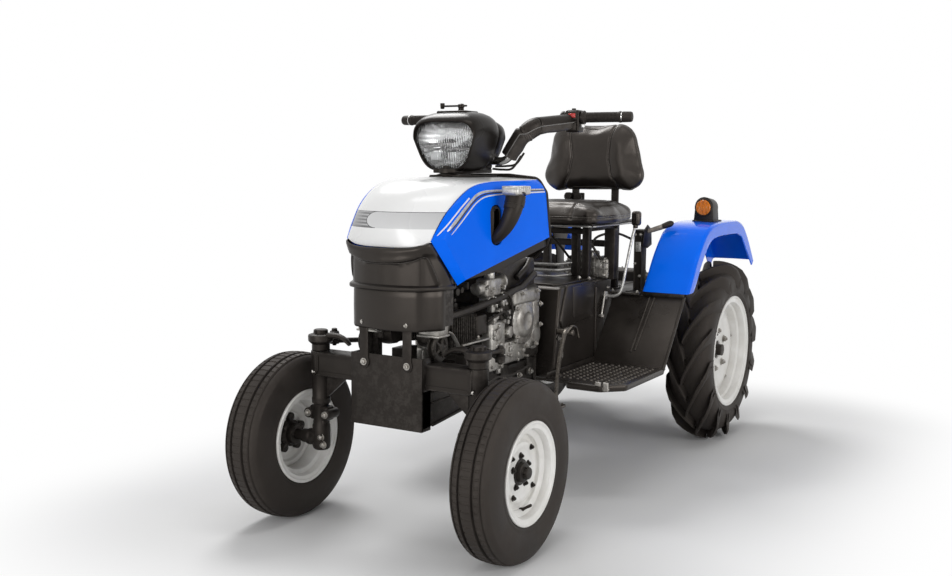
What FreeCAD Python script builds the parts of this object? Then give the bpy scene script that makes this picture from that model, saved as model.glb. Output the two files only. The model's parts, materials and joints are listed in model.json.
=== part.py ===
import FreeCAD, Part
import math
import os
import re

import Sketcher

# A compact ride-on tractor: handlebar steering, a hood over a single-cylinder engine,
# a seat over the gearbox and a rear three-point hitch.
# Millimetres. +Z is up, the nose looks along -Y, the tractor's left side is +X.
# The origin is on the ground under the middle of the whole machine.

Vector = FreeCAD.Vector

# ---------------------------------------------------------------- driving dimensions

SIZES = {
    # whole machine
    "wheelbase": 1463, "front_track": 683, "rear_track": 704, "hitch_reach": 490,
    # fits and clearances
    "running_gap": 0.05, "seat_gap": 0.3, "thrust_gap": 0.5, "open_pivot_gap": 0.6,
    # front wheels
    "front_tyre_radius": 225, "front_tyre_width": 112, "front_bead_radius": 114,
    "front_flange_radius": 128, "front_rim_half": 47, "front_hub_radius": 32,
    "front_disc_out": 22, "front_hub_out": 38, "stub_radius": 15,
    # rear wheels
    "rear_tyre_radius": 315, "rear_tyre_width": 160, "rear_bead_radius": 178,
    "rear_flange_radius": 195, "rear_rim_half": 62, "rear_hub_radius": 52,
    "rear_disc_out": 20, "rear_hub_out": 36, "axle_shaft_radius": 20,
    "flange_thick": 5, "disc_thick": 5,
    # front axle and steering
    "kingpin_half": 243, "kingpin_radius": 13, "sleeve_radius": 24,
    "beam_bottom": 400, "beam_depth": 65, "beam_width": 60, "sleeve_bottom": 322,
    "cap_radius": 27, "cap_depth": 54, "knuckle_bottom": 196,
    "yoke_in": 34, "yoke_out": 30, "yoke_half": 24, "yoke_bottom": 276, "yoke_top": 317,
    "steer_arm_length": 80, "steer_arm_width": 26, "arm_above_beam": 26,
    "steer_arm_thick": 14, "rod_above_beam": 13, "rod_radius": 7, "rod_eye_radius": 13,
    "rod_eye_half": 8, "ball_pin_radius": 6, "pin_offset": 17, "stop_lug_length": 92,
    "head_bottom": 936, "head_thick": 12, "head_half": 34, "clamp_setback": 405,
    "clamp_height": 970, "bracket_above_arm": 69, "pod_top": 1102,
    "column_setback": 240, "column_radius": 15, "column_arm_front": 20,
    "head_front": 18, "clamp_half": 20, "clamp_cover": 18, "bracket_half": 45,
    "bracket_front": 35, "bracket_thick": 15,
    # frame, guard and engine
    "rail_half": 103, "rail_width": 23, "rail_bottom": 320, "rail_top": 395,
    "rail_rear": 580, "guard_half": 107, "guard_bottom": 295, "guard_top": 481,
    "guard_front": 34, "plate_thick": 4, "strap_half": 66, "strap_width": 26,
    "engine_front": 345, "engine_bottom": 400, "engine_top": 690, "engine_half": 118,
    "guard_side_length": 190, "radiator_front": 24, "radiator_depth": 42,
    "radiator_rise": 8, "leg_depth": 20, "strap_lap": 20, "strap_rise": 12,
    "cradle_width": 40, "cradle_drop": 15, "guard_side_rise": 12,
    # gearbox, rear axle and cover
    "gearbox_half": 95, "gearbox_bottom": 330, "gearbox_top": 545, "gearbox_short": 123,
    "diff_bottom": 268, "diff_top": 480, "diff_half": 105, "diff_behind": 100,
    "axle_tube_radius": 46, "axle_tube_half": 272, "cover_half": 160,
    "cover_front": 585, "cover_rear": 1000, "cover_top": 600, "cover_wall": 5,
    "cover_slope": 40, "cover_roof": 43, "notch_gap": 4, "board_bar_behind": 60,
    "board_bar_width": 40, "board_bar_depth": 30, "board_bar_short": 12,
    # hood
    "hood_sheet": 4, "hood_rear": 452, "bezel_bottom": 648, "bezel_top": 769,
    "radiator_half": 130, "screen_bottom": 547, "top_plate_half": 52,
    "top_plate_front": 40, "top_plate_behind": 180, "top_plate_bottom": 926.3,
    "top_plate_thick": 5,
    # platform and fenders
    "board_edge": 402, "board_front": 500, "board_floor": 345,
    "board_bend": 850, "board_rear": 1014, "board_rise": 544.5, "board_under": 8,
    "board_nose": 60, "recess_width": 85, "recess_depth": 30,
    "fender_inner": 262, "fender_outer": 418, "fender_sheet": 3,
    "stay_half": 30, "stay_thick": 8, "stay_rise": 30, "stay_top": 740,
    "lamp_case_in": 313, "lamp_case_width": 64, "lamp_case_front": 150,
    "lamp_case_rear": 68, "lamp_case_bottom": 774.5, "lamp_case_top": 858,
    "lamp_height": 822, "lamp_radius": 26, "lamp_proud": 10,
    # handlebar and lamp
    "bar_radius": 11, "bar_half": 372, "bar_height": 1095, "grip_radius": 16,
    "shroud_radius": 24, "bar_bend": 36, "pod_front": 222, "pod_rear": 444,
    # seat
    "deck_top": 552, "cushion_half": 190, "cushion_front": 800, "cushion_length": 350,
    "cushion_bottom": 782, "cushion_thick": 66, "back_half": 184,
    "back_bottom": 872, "back_height": 230, "back_thick": 62, "back_front": 1150,
    "cushion_corner": 30, "back_corner": 60, "back_shoulder": 30, "pan_half": 168,
    "pan_thick": 12, "pan_setback": 20, "pan_rear": 48, "leg_side": 26, "leg_in": 112,
    "leg_front": 60, "leg_rear": 70, "post_in": 52, "post_front": 8, "post_rear": 30,
    "deck_short": 10, "deck_gap": 5, "quadrant_short": 18, "quadrant_width": 46,
    "quadrant_front": 1085, "quadrant_rear": 1150, "quadrant_top": 748,
    # rear hitch
    "lift_arm_length": 230, "rockshaft_setback": 33, "rockshaft_height": 545,
    "link_pivot_height": 300, "link_pivot_behind": 80, "link_thick": 15,
    "link_width": 40, "hitch_ball_radius": 11.2, "pto_radius": 17.45,
    "pto_length": 62, "pto_height": 400, "pto_depth": 58, "pto_journal": 15,
    "drawbar_half": 28, "drawbar_thick": 16, "drawbar_root": 120, "drawbar_reach": 118,
    "drawbar_pin_at": 92, "drawbar_pin_radius": 11, "link_pin_radius": 9,
    "link_pin_reach": 58, "link_in": 150, "rockshaft_radius": 22, "rockshaft_half": 126,
    "case_half": 90, "case_front": 62, "case_rear": 48, "case_rise": 42,
    "ear_in": 22, "ear_thick": 10, "ear_reach": 122, "ear_top": 52,
    "top_link_at": 100, "top_link_rise": 27, "top_link_radius": 9.6,
    "arm_in": 110.5, "arm_thick": 12, "arm_half": 22, "arm_front": 24, "arm_end": 16,
    "rod_pin_radius": 8, "rod_pin_end": 138, "rod_pin_start": 122, "lift_rod_in": 124,
    "lift_eye_thick": 12, "lift_eye_radius": 16, "lift_rod_radius": 6,
}

# What follows from them: the place of both axles along the machine and of its wheels.
LAYOUT = {
    "front_axle": "(front_tyre_radius - wheelbase - hitch_reach) / 2",
    "rear_axle": "(front_tyre_radius + wheelbase - hitch_reach) / 2",
    "front_wheel_x": "front_track / 2",
    "rear_wheel_x": "rear_track / 2",
    "beam_top": "beam_bottom + beam_depth",
    "steer_arm_bottom": "beam_bottom + beam_depth + arm_above_beam",
    "rod_height": "beam_bottom + beam_depth + rod_above_beam",
    "column_bracket_height": "beam_bottom + beam_depth + arm_above_beam + bracket_above_arm",
    "gearbox_rear": "wheelbase - gearbox_short",
    "quadrant_out": "fender_inner - quadrant_short",
}

doc = FreeCAD.newDocument("compact_tractor")
sheet = doc.addObject("Spreadsheet::Sheet", "sizes")
for line, (word, number) in enumerate(SIZES.items(), start=1):
    sheet.set(f"A{line}", word)
    sheet.set(f"B{line}", str(number))
    sheet.setAlias(f"B{line}", word)
doc.recompute()


def formula(text):
    """Point each named size in an expression at the sheet or the layout."""
    def refer(match):
        word = match.group(0)
        if word in SIZES:
            return "sizes." + word
        if word in LAYOUT:
            return "layout." + word
        return word
    return re.sub(r"[a-z_]+", refer, str(text))


layout = doc.addObject("App::VarSet", "layout")
for word, rule in LAYOUT.items():
    layout.addProperty("App::PropertyFloat", word)
    layout.setExpression(word, formula(rule))
doc.recompute()


def value(text):
    """The present number behind an expression."""
    return float(sheet.evalExpression(formula(text)))


# ---------------------------------------------------------------- building helpers

sub_parts = []


def bind(thing, **rules):
    for prop, rule in rules.items():
        thing.setExpression(prop.replace("__", "."), formula(rule))
    return thing


def place(thing, x="0", y="0", z="0"):
    return bind(thing, Placement__Base__x=x, Placement__Base__y=y, Placement__Base__z=z)


def sub_part(thing, label):
    thing.Label = label
    sub_parts.append(thing)
    return thing


def block(name, low, high):
    """A box from its low corner to its high corner, each a triple of expressions."""
    box = doc.addObject("Part::Box", name)
    spans = [f"({b}) - ({a})" for a, b in zip(low, high)]
    bind(box, Length=spans[0], Width=spans[1], Height=spans[2])
    return place(box, *low)


TURNS = {"x": FreeCAD.Rotation(Vector(0, 1, 0), 90),
         "y": FreeCAD.Rotation(Vector(1, 0, 0), -90),
         "z": FreeCAD.Rotation()}


def rod(name, start, length, radius, along="z"):
    """A round bar from start, running the positive way along one axis."""
    bar = doc.addObject("Part::Cylinder", name)
    bar.Placement = FreeCAD.Placement(Vector(), TURNS[along])
    bind(bar, Radius=radius, Height=length)
    return place(bar, *start)


def fuse(name, pieces):
    joined = doc.addObject("Part::MultiFuse", name)
    joined.Shapes = pieces
    return joined


def cut(name, base, tools):
    carved = doc.addObject("Part::Cut", name)
    carved.Base = base
    carved.Tool = tools[0] if len(tools) == 1 else fuse(name + "_tools", tools)
    return carved


def mirrored(source, label):
    """The right-hand twin of a left-hand piece."""
    twin = doc.addObject("Part::Mirroring", label)
    twin.Source = source
    twin.Normal = Vector(1, 0, 0)
    return sub_part(twin, label)


def outline(body, plane, points):
    """A closed sketch of straight lines whose corners are bound to expressions."""
    sketch = body.newObject("Sketcher::SketchObject", body.Name + "_outline")
    datum = [f for f in body.Origin.OriginFeatures if f.Role == plane][0]
    sketch.AttachmentSupport = [(datum, "")]
    sketch.MapMode = "FlatFace"
    corners = [Vector(value(u), value(v), 0) for u, v in points]
    for here, there in zip(corners, corners[1:] + corners[:1]):
        sketch.addGeometry(Part.LineSegment(here, there))
    for k, (u, v) in enumerate(points):
        sketch.addConstraint(Sketcher.Constraint("Coincident", k, 2, (k + 1) % len(points), 1))
        for kind, rule, now in (("DistanceX", u, corners[k].x), ("DistanceY", v, corners[k].y)):
            at = sketch.addConstraint(Sketcher.Constraint(kind, -1, 1, k, 1, now))
            sketch.renameConstraint(at, f"{kind}{k}")
            sketch.setExpression(f"Constraints.{kind}{k}", formula(rule))
    return sketch


def padded(name, plane, points, length, at=("0", "0", "0")):
    """A PartDesign body: an outline padded evenly to both sides of its plane."""
    body = doc.addObject("PartDesign::Body", name)
    sketch = outline(body, plane, points)
    pad = body.newObject("PartDesign::Pad", name + "_pad")
    pad.Profile = sketch
    pad.SideType = "Symmetric"
    bind(pad, Length=length)
    return place(body, *at)


def turned(name, points, at):
    """A PartDesign body: an outline of (offset, radius) turned about the X axis."""
    body = doc.addObject("PartDesign::Body", name)
    sketch = outline(body, "XZ_Plane", points)
    spin = body.newObject("PartDesign::Revolution", name + "_turn")
    spin.Profile = sketch
    spin.ReferenceAxis = (sketch, ["H_Axis"])
    spin.Angle = 360
    return place(body, *at)


def shaped(name, shape, y="front_axle"):
    """A piece whose curved shape is worked out here, set down at one of the axles."""
    piece = doc.addObject("Part::Feature", name)
    piece.Shape = shape
    return place(piece, "0", y, "0")


def pair_up(name, shape, y="front_axle"):
    """A left-hand shape and its mirror image as the two solids of one sub-part."""
    right = shape.mirror(Vector(), Vector(1, 0, 0))
    return sub_part(shaped(name, Part.makeCompound([shape, right]), y), name)


def skin(rows, inward):
    """A sheet of even thickness behind a grid of points, closed all round."""
    back = [[point + inward(point) for point in row] for row in rows]
    high, wide = len(rows), len(rows[0])
    faces = []

    def panel(a, b, c, d):
        for corners in ((a, b, d), (b, c, d)):
            faces.append(Part.Face(Part.makePolygon(list(corners) + [corners[0]])))

    for i in range(high - 1):
        for j in range(wide - 1):
            panel(rows[i][j], rows[i][j + 1], rows[i + 1][j + 1], rows[i + 1][j])
            panel(back[i][j], back[i + 1][j], back[i + 1][j + 1], back[i][j + 1])
    for j in range(wide - 1):
        panel(rows[0][j], back[0][j], back[0][j + 1], rows[0][j + 1])
        panel(rows[-1][j], rows[-1][j + 1], back[-1][j + 1], back[-1][j])
    for i in range(high - 1):
        panel(rows[i][0], rows[i + 1][0], back[i + 1][0], back[i][0])
        panel(rows[i][-1], back[i][-1], back[i + 1][-1], rows[i + 1][-1])
    shell = Part.Shell(faces)
    if Part.Solid(shell).Volume < 0:
        shell.reverse()
    return Part.Solid(shell)


def tube(points, radius, bend):
    """A round bar along straight runs joined by tangent arcs."""
    edges, start = [], points[0]
    for before, corner, after in zip(points, points[1:], points[2:]):
        back, ahead = (before - corner).normalize(), (after - corner).normalize()
        half = math.acos(max(-1, min(1, back.dot(ahead)))) / 2
        run = bend / math.tan(half)
        first, last = corner + back * run, corner + ahead * run
        middle = (back + ahead).normalize()
        crown = corner + middle * (bend / math.sin(half) - bend)
        edges.append(Part.LineSegment(start, first).toShape())
        edges.append(Part.Arc(first, crown, last).toShape())
        start = last
    edges.append(Part.LineSegment(start, points[-1]).toShape())
    path = Part.Wire(edges)
    ring = Part.Circle(points[0], (points[1] - points[0]).normalize(), radius).toShape()
    return path.makePipeShell([Part.Wire([ring])], True, True)


# ---------------------------------------------------------------- wheels

# a tyre's side, from bead to tread: (share of its half width, share of its wall height)
SIDEWALL = [(0.9, 0.35), (1, 0.6), (0.9, 0.88), (0.66, 1)]


def wheel(end, side_x, axle, bore):
    """Tyre and rim of one left-hand wheel; the rim runs on its shaft with running_gap."""
    p = end + "_"
    at = (side_x, axle, f"{p}tyre_radius")
    edge = f"({p}rim_half - flange_thick - seat_gap)"
    lip, half = f"({p}flange_radius + seat_gap)", f"({p}tyre_width / 2)"
    wall = f"({p}tyre_radius - {p}bead_radius)"
    side = [(edge, f"{p}bead_radius + seat_gap"), (edge, lip)]
    side += [(f"{half} * {wide}", f"{p}bead_radius + {wall} * {high}")
             for wide, high in SIDEWALL]
    ring = side + [(f"-({u})", v) for u, v in reversed(side)]
    tyre = sub_part(turned(f"{end}_tyre_left", ring, at), f"{end}_tyre_left")
    flange, seat = f"{p}rim_half - flange_thick", f"{p}bead_radius - disc_thick"
    inner_disc = f"{p}disc_out - disc_thick"
    profile = [(f"-{p}rim_half", f"{p}flange_radius"), (f"-({flange})", f"{p}flange_radius"),
               (f"-({flange})", f"{p}bead_radius"), (flange, f"{p}bead_radius"),
               (flange, f"{p}flange_radius"), (f"{p}rim_half", f"{p}flange_radius"),
               (f"{p}rim_half", seat), (f"{p}disc_out", seat),
               (f"{p}disc_out", f"{p}hub_radius"), (f"{p}hub_out", f"{p}hub_radius"),
               (f"{p}hub_out", bore), (f"-{p}rim_half", bore),
               (f"-{p}rim_half", f"{p}hub_radius"), (inner_disc, f"{p}hub_radius"),
               (inner_disc, seat), (f"-{p}rim_half", seat)]
    rim = sub_part(turned(f"{end}_rim_left", profile, at), f"{end}_rim_left")
    mirrored(tyre, f"{end}_tyre_right")
    mirrored(rim, f"{end}_rim_right")


wheel("front", "front_wheel_x", "front_axle", "stub_radius + running_gap")
wheel("rear", "rear_wheel_x", "rear_axle", "axle_shaft_radius + running_gap")

# ---------------------------------------------------------------- front axle and steering


def front_axle():
    """Cross beam with a kingpin sleeve at each end."""
    beam = block("beam", ("-kingpin_half", "-beam_width / 2", "beam_bottom"),
                 ("kingpin_half", "beam_width / 2", "beam_top"))
    pieces, bores = [beam], []
    for name, x in (("left", "kingpin_half"), ("right", "-kingpin_half")):
        pieces.append(rod(f"sleeve_{name}", (x, "0", "sleeve_bottom"),
                          "beam_top - sleeve_bottom", "sleeve_radius"))
        bores.append(rod(f"sleeve_bore_{name}", (x, "0", "sleeve_bottom - thrust_gap"),
                         "beam_top - sleeve_bottom + 2 * thrust_gap",
                         "kingpin_radius + running_gap"))
    axle = cut("front_axle_beam", fuse("axle_solid", pieces), bores)
    sub_part(place(axle, "0", "front_axle", "0"), "front_axle_beam")


def knuckle():
    """Kingpin, stub axle, cap with the steering arm to the rear and a stop lug inward."""
    x = "kingpin_half"
    foot_top = "sleeve_bottom - thrust_gap"
    cap_bottom = "beam_top + thrust_gap"
    arm_top = "steer_arm_bottom + steer_arm_thick"
    pieces = [
        rod("kingpin", (x, "0", "knuckle_bottom"), "beam_top + cap_depth - knuckle_bottom",
            "kingpin_radius"),
        rod("knuckle_foot", (x, "0", "knuckle_bottom"), f"{foot_top} - knuckle_bottom",
            "sleeve_radius"),
        block("knuckle_yoke", (f"{x} - yoke_in", "-yoke_half", "yoke_bottom"),
              (f"{x} + yoke_out", "yoke_half", "yoke_top")),
        rod("stub_axle", (x, "0", "front_tyre_radius"),
            "front_wheel_x - kingpin_half + front_hub_out - thrust_gap", "stub_radius",
            "x"),
        rod("knuckle_cap", (x, "0", cap_bottom), "cap_depth - thrust_gap", "cap_radius"),
        block("steer_arm", (f"{x} - steer_arm_width / 2", "0", "steer_arm_bottom"),
              (f"{x} + pin_offset + rod_eye_radius", "steer_arm_length + rod_eye_radius",
               arm_top)),
        block("stop_lug", (f"{x} - stop_lug_length", "-steer_arm_width / 2",
                           "steer_arm_bottom"), (x, "steer_arm_width / 2", arm_top)),
        rod("knuckle_ball_pin", (f"{x} + pin_offset", "steer_arm_length",
                                 "rod_height - rod_eye_half"),
            "steer_arm_bottom - rod_height + rod_eye_half", "ball_pin_radius"),
    ]
    left = fuse("knuckle_left", pieces)
    sub_part(place(left, "0", "front_axle", "0"), "knuckle_left")
    mirrored(left, "knuckle_right")


def tie_rod():
    """A rod from the arm at the foot of the column to the steering arm of one wheel.

    Both arms are equal and parallel, so the rod only ever moves parallel to itself."""
    height, half = value("rod_height"), value("rod_eye_half")
    inner = Vector(value("pin_offset"), value("column_setback + steer_arm_length"), height)
    outer = Vector(value("kingpin_half + pin_offset"), value("steer_arm_length"), height)
    length = (outer - inner).Length
    shape = Part.makeCylinder(value("rod_radius"), length, inner, outer - inner)
    rise = Vector(0, 0, half)
    for eye in (inner, outer):
        shape = shape.fuse(Part.makeCylinder(value("rod_eye_radius"), 2 * half, eye - rise))
    for eye in (inner, outer):
        bore = value("ball_pin_radius + running_gap")
        shape = shape.cut(Part.makeCylinder(bore, 4 * half, eye - rise * 2))
    left = sub_part(shaped("tie_rod_left", shape), "tie_rod_left")
    mirrored(left, "tie_rod_right")


def steering_column():
    """Upright shaft with the arm for both tie rods at its foot and a clamp head on top."""
    y = "column_setback"
    arm_top = "steer_arm_bottom + steer_arm_thick"
    reach = "column_setback + steer_arm_length + rod_eye_radius"
    pieces = [
        rod("column", ("0", y, "steer_arm_bottom"), "head_bottom - steer_arm_bottom",
            "column_radius"),
        block("column_arm", ("-pin_offset - rod_eye_radius", f"{y} - column_arm_front",
                             "steer_arm_bottom"),
              ("pin_offset + rod_eye_radius", reach, arm_top)),
        block("head_plate", ("-head_half", f"{y} - head_front", "head_bottom"),
              ("head_half", "clamp_setback + clamp_half", "head_bottom + head_thick")),
        block("head_clamp", ("-head_half", "clamp_setback - clamp_half", "head_bottom"),
              ("head_half", "clamp_setback + clamp_half", "clamp_height + clamp_cover")),
    ]
    for name, x in (("left", "pin_offset"), ("right", "-pin_offset")):
        pieces.append(rod(f"column_pin_{name}",
                          (x, "column_setback + steer_arm_length",
                           "rod_height - rod_eye_half"),
                          "steer_arm_bottom - rod_height + rod_eye_half",
                          "ball_pin_radius"))
    bore = rod("clamp_bore", ("-head_half - 1", "clamp_setback", "clamp_height"),
               "2 * head_half + 2", "bar_radius + seat_gap", "x")
    column = cut("steering_column", fuse("column_solid", pieces), [bore])
    sub_part(place(column, "0", "front_axle", "0"), "steering_column")


# corners of the handlebar's left half: (outward, behind the clamp, below its highest point)
BAR = [(0, 0, 125), (92, 0, 125), (160, 2, 21), (212, 168, 1)]
GRIP_SWEEP = 188


def bar_points():
    """Corners of the handlebar's left half, from the clamp out to the end of the grip."""
    setback, high = value("clamp_setback"), value("bar_height")
    points = [Vector(x, setback + behind, high - below) for x, behind, below in BAR]
    points[0].z = points[1].z = value("clamp_height")
    return points + [Vector(value("bar_half"), setback + GRIP_SWEEP, high)]


# where the shroud starts and stops as shares of its runs, then what sits on the grip's run
SHROUD_FROM, SHROUD_TO = 0.16, 0.12
BOX_FROM, BOX_LENGTH, BOX_PROUD = 6, 26, 4
GRIP_FROM, GRIP_CAP = 34, 12


def handlebar():
    """One bent tube through the clamp, with its shrouds, grips and switch boxes."""
    bend, bore = value("bar_bend"), value("bar_radius + seat_gap")
    half = bar_points()
    other = [Vector(-p.x, p.y, p.z) for p in reversed(half[1:])]
    bar = tube(other + half[1:], value("bar_radius"), bend)
    sub_part(shaped("handlebar", bar), "handlebar")
    left_run = tube(half, bore, bend)
    rise, grip = half[2], half[3]
    start = half[1] + (rise - half[1]) * SHROUD_FROM
    stop = grip + (rise - grip) * SHROUD_TO
    shroud = tube([start, rise, stop], value("shroud_radius"), bend).cut(left_run)
    along = (half[4] - grip).normalize()
    box_at, grip_at = grip + along * BOX_FROM, grip + along * GRIP_FROM
    grip_end = half[4] + along * GRIP_CAP
    grip_tube = Part.makeCylinder(value("grip_radius"), (grip_end - grip_at).Length,
                                  grip_at, along).cut(left_run)
    switch = Part.makeCylinder(value("grip_radius") + BOX_PROUD, BOX_LENGTH, box_at, along)
    switch = switch.cut(left_run)
    for name, shape in (("bar_shrouds", shroud), ("grips", grip_tube),
                        ("switch_boxes", switch)):
        pair_up(name, shape)


def ring(y, top_half, low_half, low, top, corners=16):
    """A rounded closed section of the lamp pod, wider above than below."""
    full_at = 1.3
    middle, half = (low + top) / 2, (top - low) / 2
    points = []
    for k in range(corners):
        turn = 2 * math.pi * k / corners
        rise, side = math.sin(turn), math.cos(turn)
        square = (abs(rise) ** 4 + abs(side) ** 4) ** -0.25
        level = rise * square
        wide = low_half + (top_half - low_half) * min(1, (level + 1) / full_at)
        points.append(Vector(side * square * wide, y, middle + level * half))
    curve = Part.BSplineCurve()
    curve.interpolate(points, PeriodicFlag=True)
    return Part.Wire([curve.toShape()])


# sections of the lamp pod and of its glass, from the front: (share of the pod's length, or
# millimetres before it, half width above, half width below, rise of the foot, drop of the top)
POD = [(0, 96, 62, 8, 26), (0.2, 100, 67, 4, 7), (0.45, 98, 66, 3, 0), (0.7, 84, 58, 14, 4),
       (1, 48, 34, 46, 26)]
LENS = [(12, 74, 40, 28, 48), (0.3, 91, 55, 13, 32)]


def headlamp():
    """Pod over the column head with the lamp glass in its front and the throttle on top."""
    front, length = value("pod_front"), value("pod_rear - pod_front")
    low, top, gap = value("head_bottom"), value("pod_top"), value("seat_gap")
    pod = Part.makeLoft([ring(front + share * length, wide, narrow, low + rise, top - drop)
                         for share, wide, narrow, rise, drop in POD], True)
    glass = Part.makeLoft([ring(front - ahead, wide, narrow, low + rise, top - drop)
                           for ahead, wide, narrow, rise, drop in LENS], True)
    half = value("head_half") + gap
    clamp_front = value("clamp_setback - clamp_half") - gap
    room = 40
    plate = Part.makeBox(2 * half, length + room, value("head_thick") + room + gap,
                         Vector(-half, front - room / 2, low - room))
    post = Part.makeBox(2 * half, length, value("clamp_height + clamp_cover") + gap - low,
                        Vector(-half, clamp_front, low))
    bar_room, bar_half = value("bar_radius") + 2, 200
    run = Part.makeCylinder(bar_room, 2 * bar_half,
                            Vector(-bar_half, value("clamp_setback"), value("clamp_height")),
                            Vector(1, 0, 0))
    stalk_radius, stalk_length, stalk_at = 6, 42, Vector(6, 300, top - 20)
    stalk = Part.makeCylinder(stalk_radius, stalk_length, stalk_at)
    lever = Part.makeBox(80, 2 * stalk_radius, 6,
                         stalk_at + Vector(-62, -stalk_radius, stalk_length))
    pod = pod.cut([plate, post, run]).fuse([stalk, lever])
    sub_part(shaped("headlamp_pod", pod), "headlamp_pod")
    sub_part(shaped("headlamp_lens", glass), "headlamp_lens")


front_axle()
knuckle()
tie_rod()
steering_column()
handlebar()
headlamp()

# ---------------------------------------------------------------- frame, engine, guard


def front_frame():
    """Two rails under the engine, tied by cross members; the axle beam sits on them."""
    pieces = []
    for name, low, high in (("left", "rail_half - rail_width", "rail_half"),
                            ("right", "-rail_half", "rail_width - rail_half")):
        pieces.append(block(f"rail_{name}", (low, "-guard_front + plate_thick", "rail_bottom"),
                            (high, "rail_rear", "rail_top")))
    under = "rail_top - cradle_drop"
    for k, y in enumerate(("engine_front + cradle_width / 2", "rail_rear - 1.5 * cradle_width")):
        pieces.append(block(f"cradle_{k}", ("-rail_half", y, under),
                            ("rail_half", f"{y} + cradle_width", "engine_bottom")))
    pieces.append(block("axle_seat", ("-rail_half", "-beam_width / 2", under),
                        ("rail_half", "beam_width / 2", "beam_bottom")))
    frame = fuse("front_frame", pieces)
    sub_part(place(frame, "0", "front_axle", "0"), "front_frame")


def front_guard():
    """Folded plate before the axle with its sides run back, and two straps upward."""
    front = "-guard_front"
    behind = "plate_thick - guard_front"
    pieces = [block("guard_plate", ("-guard_half", front, "guard_bottom"),
                    ("guard_half", behind, "guard_top"))]
    for name, low, high in (("left", "rail_half", "guard_half"),
                            ("right", "-guard_half", "-rail_half")):
        pieces.append(block(f"guard_side_{name}", (low, front, "guard_bottom + guard_side_rise"),
                            (high, "guard_side_length", "beam_bottom - seat_gap")))
    for name, x in (("left", "strap_half"), ("right", "-strap_half")):
        pieces.append(block(f"guard_strap_{name}",
                            (f"{x} - strap_width / 2", "-guard_front - plate_thick",
                             "guard_top - strap_lap"),
                            (f"{x} + strap_width / 2", front, "screen_bottom + strap_rise")))
    guard = fuse("front_guard", pieces)
    sub_part(place(guard, "0", "front_axle", "0"), "front_guard")


def engine():
    """The engine as one plain block, with the radiator ahead of it on its legs."""
    body = block("engine_solid", ("-engine_half", "engine_front", "engine_bottom"),
                 ("engine_half", "rail_rear", "engine_top"))
    foot = "screen_bottom + radiator_rise"
    core = block("radiator_core", ("-radiator_half", "radiator_front", foot),
                 ("radiator_half", "radiator_front + radiator_depth",
                  "engine_top + radiator_rise"))
    leg_front = "radiator_front + radiator_rise"
    legs = [block(f"radiator_leg_{name}", (low, leg_front, "rail_top"),
                  (high, f"{leg_front} + leg_depth", foot))
            for name, low, high in (("left", "rail_half - rail_width", "rail_half"),
                                    ("right", "-rail_half", "rail_width - rail_half"))]
    sub_part(place(fuse("radiator", [core] + legs), "0", "front_axle", "0"), "radiator")
    y = "column_setback"
    plate = block("bracket_plate", ("-bracket_half", f"{y} - bracket_front",
                                    "column_bracket_height"),
                  ("bracket_half", "engine_front", "column_bracket_height + bracket_thick"))
    bore = rod("bracket_bore", ("0", y, "column_bracket_height - bracket_thick"),
               "3 * bracket_thick", "column_radius + running_gap")
    bracket = cut("engine_block", fuse("engine_with_bracket", [body, plate]), [bore])
    sub_part(place(bracket, "0", "front_axle", "0"), "engine_block")


front_frame()
front_guard()
engine()

# ---------------------------------------------------------------- hood


def taper(y):
    """Half width of the hood's side face at a distance behind the front axle."""
    return FACE[0] + FACE[1] * (y - CREASE[0][0])


def seam(y):
    """Half width of the seam between the hood top and the side panels."""
    return JOIN[0] + JOIN[1] * (y - SEAM[0][0])


def hood_inward(point):
    """From a point of the hood's skin towards its middle, by the sheet's thickness."""
    heart = Vector(point.x * 0.3, 230, 790)
    return (heart - point).normalize() * value("hood_sheet")


# half width at the nose and how fast it grows to the rear, of the side face and of the seam
FACE = (148, 0.126)
JOIN = (127, 0.1)
# the nose and top of the hood along its middle and along its seam: (behind axle, height)
CREST = [(-62, 770), (-60, 802), (-46, 842), (-14, 882), (45, 912), (130, 923),
         (280, 925.5), (424, 926)]
SEAM = [(-36, 772), (-13, 802), (21, 841), (68, 876), (122, 903), (190, 915),
        (290, 918), (424, 920)]
# the crease where the shoulder turns down into the side face
CREASE = [(-5, 776), (28, 815), (59, 848), (94, 872), (142, 884), (200, 886),
          (300, 886), (430, 884)]
# the chamfer's lower corner, the crease's foot and the rear end of the lower edge
CHAMFER_FOOT = Vector(148, 55, 657)
CREASE_FOOT = Vector(168, 63, 672)
LOWER_REAR = (451, 761)
# the air slot in the left panel: low corner and size
SLOT_AT, SLOT_SIZE = Vector(120, 180, 758), (120, 52, 98)


def hood_top(steps=4):
    """The crowned top and nose, narrowing to the front."""
    rows = []
    for (crest_y, crest_z), (seam_y, seam_z) in zip(CREST, SEAM):
        row = []
        for k in range(-steps, steps + 1):
            share = k / steps
            y = crest_y + (seam_y - crest_y) * share ** 2
            z = crest_z + (seam_z - crest_z) * share ** 2
            row.append(Vector(share * (seam(seam_y) - value("seat_gap")), y, z))
        rows.append(row)
    top = skin(rows, hood_inward)
    room = 6
    hole = Part.makeCylinder(value("column_radius") + room, CREST[-1][1],
                             Vector(0, value("column_setback"), SEAM[0][1]))
    sub_part(shaped("hood_top", top.cut(hole)), "hood_top")


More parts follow.
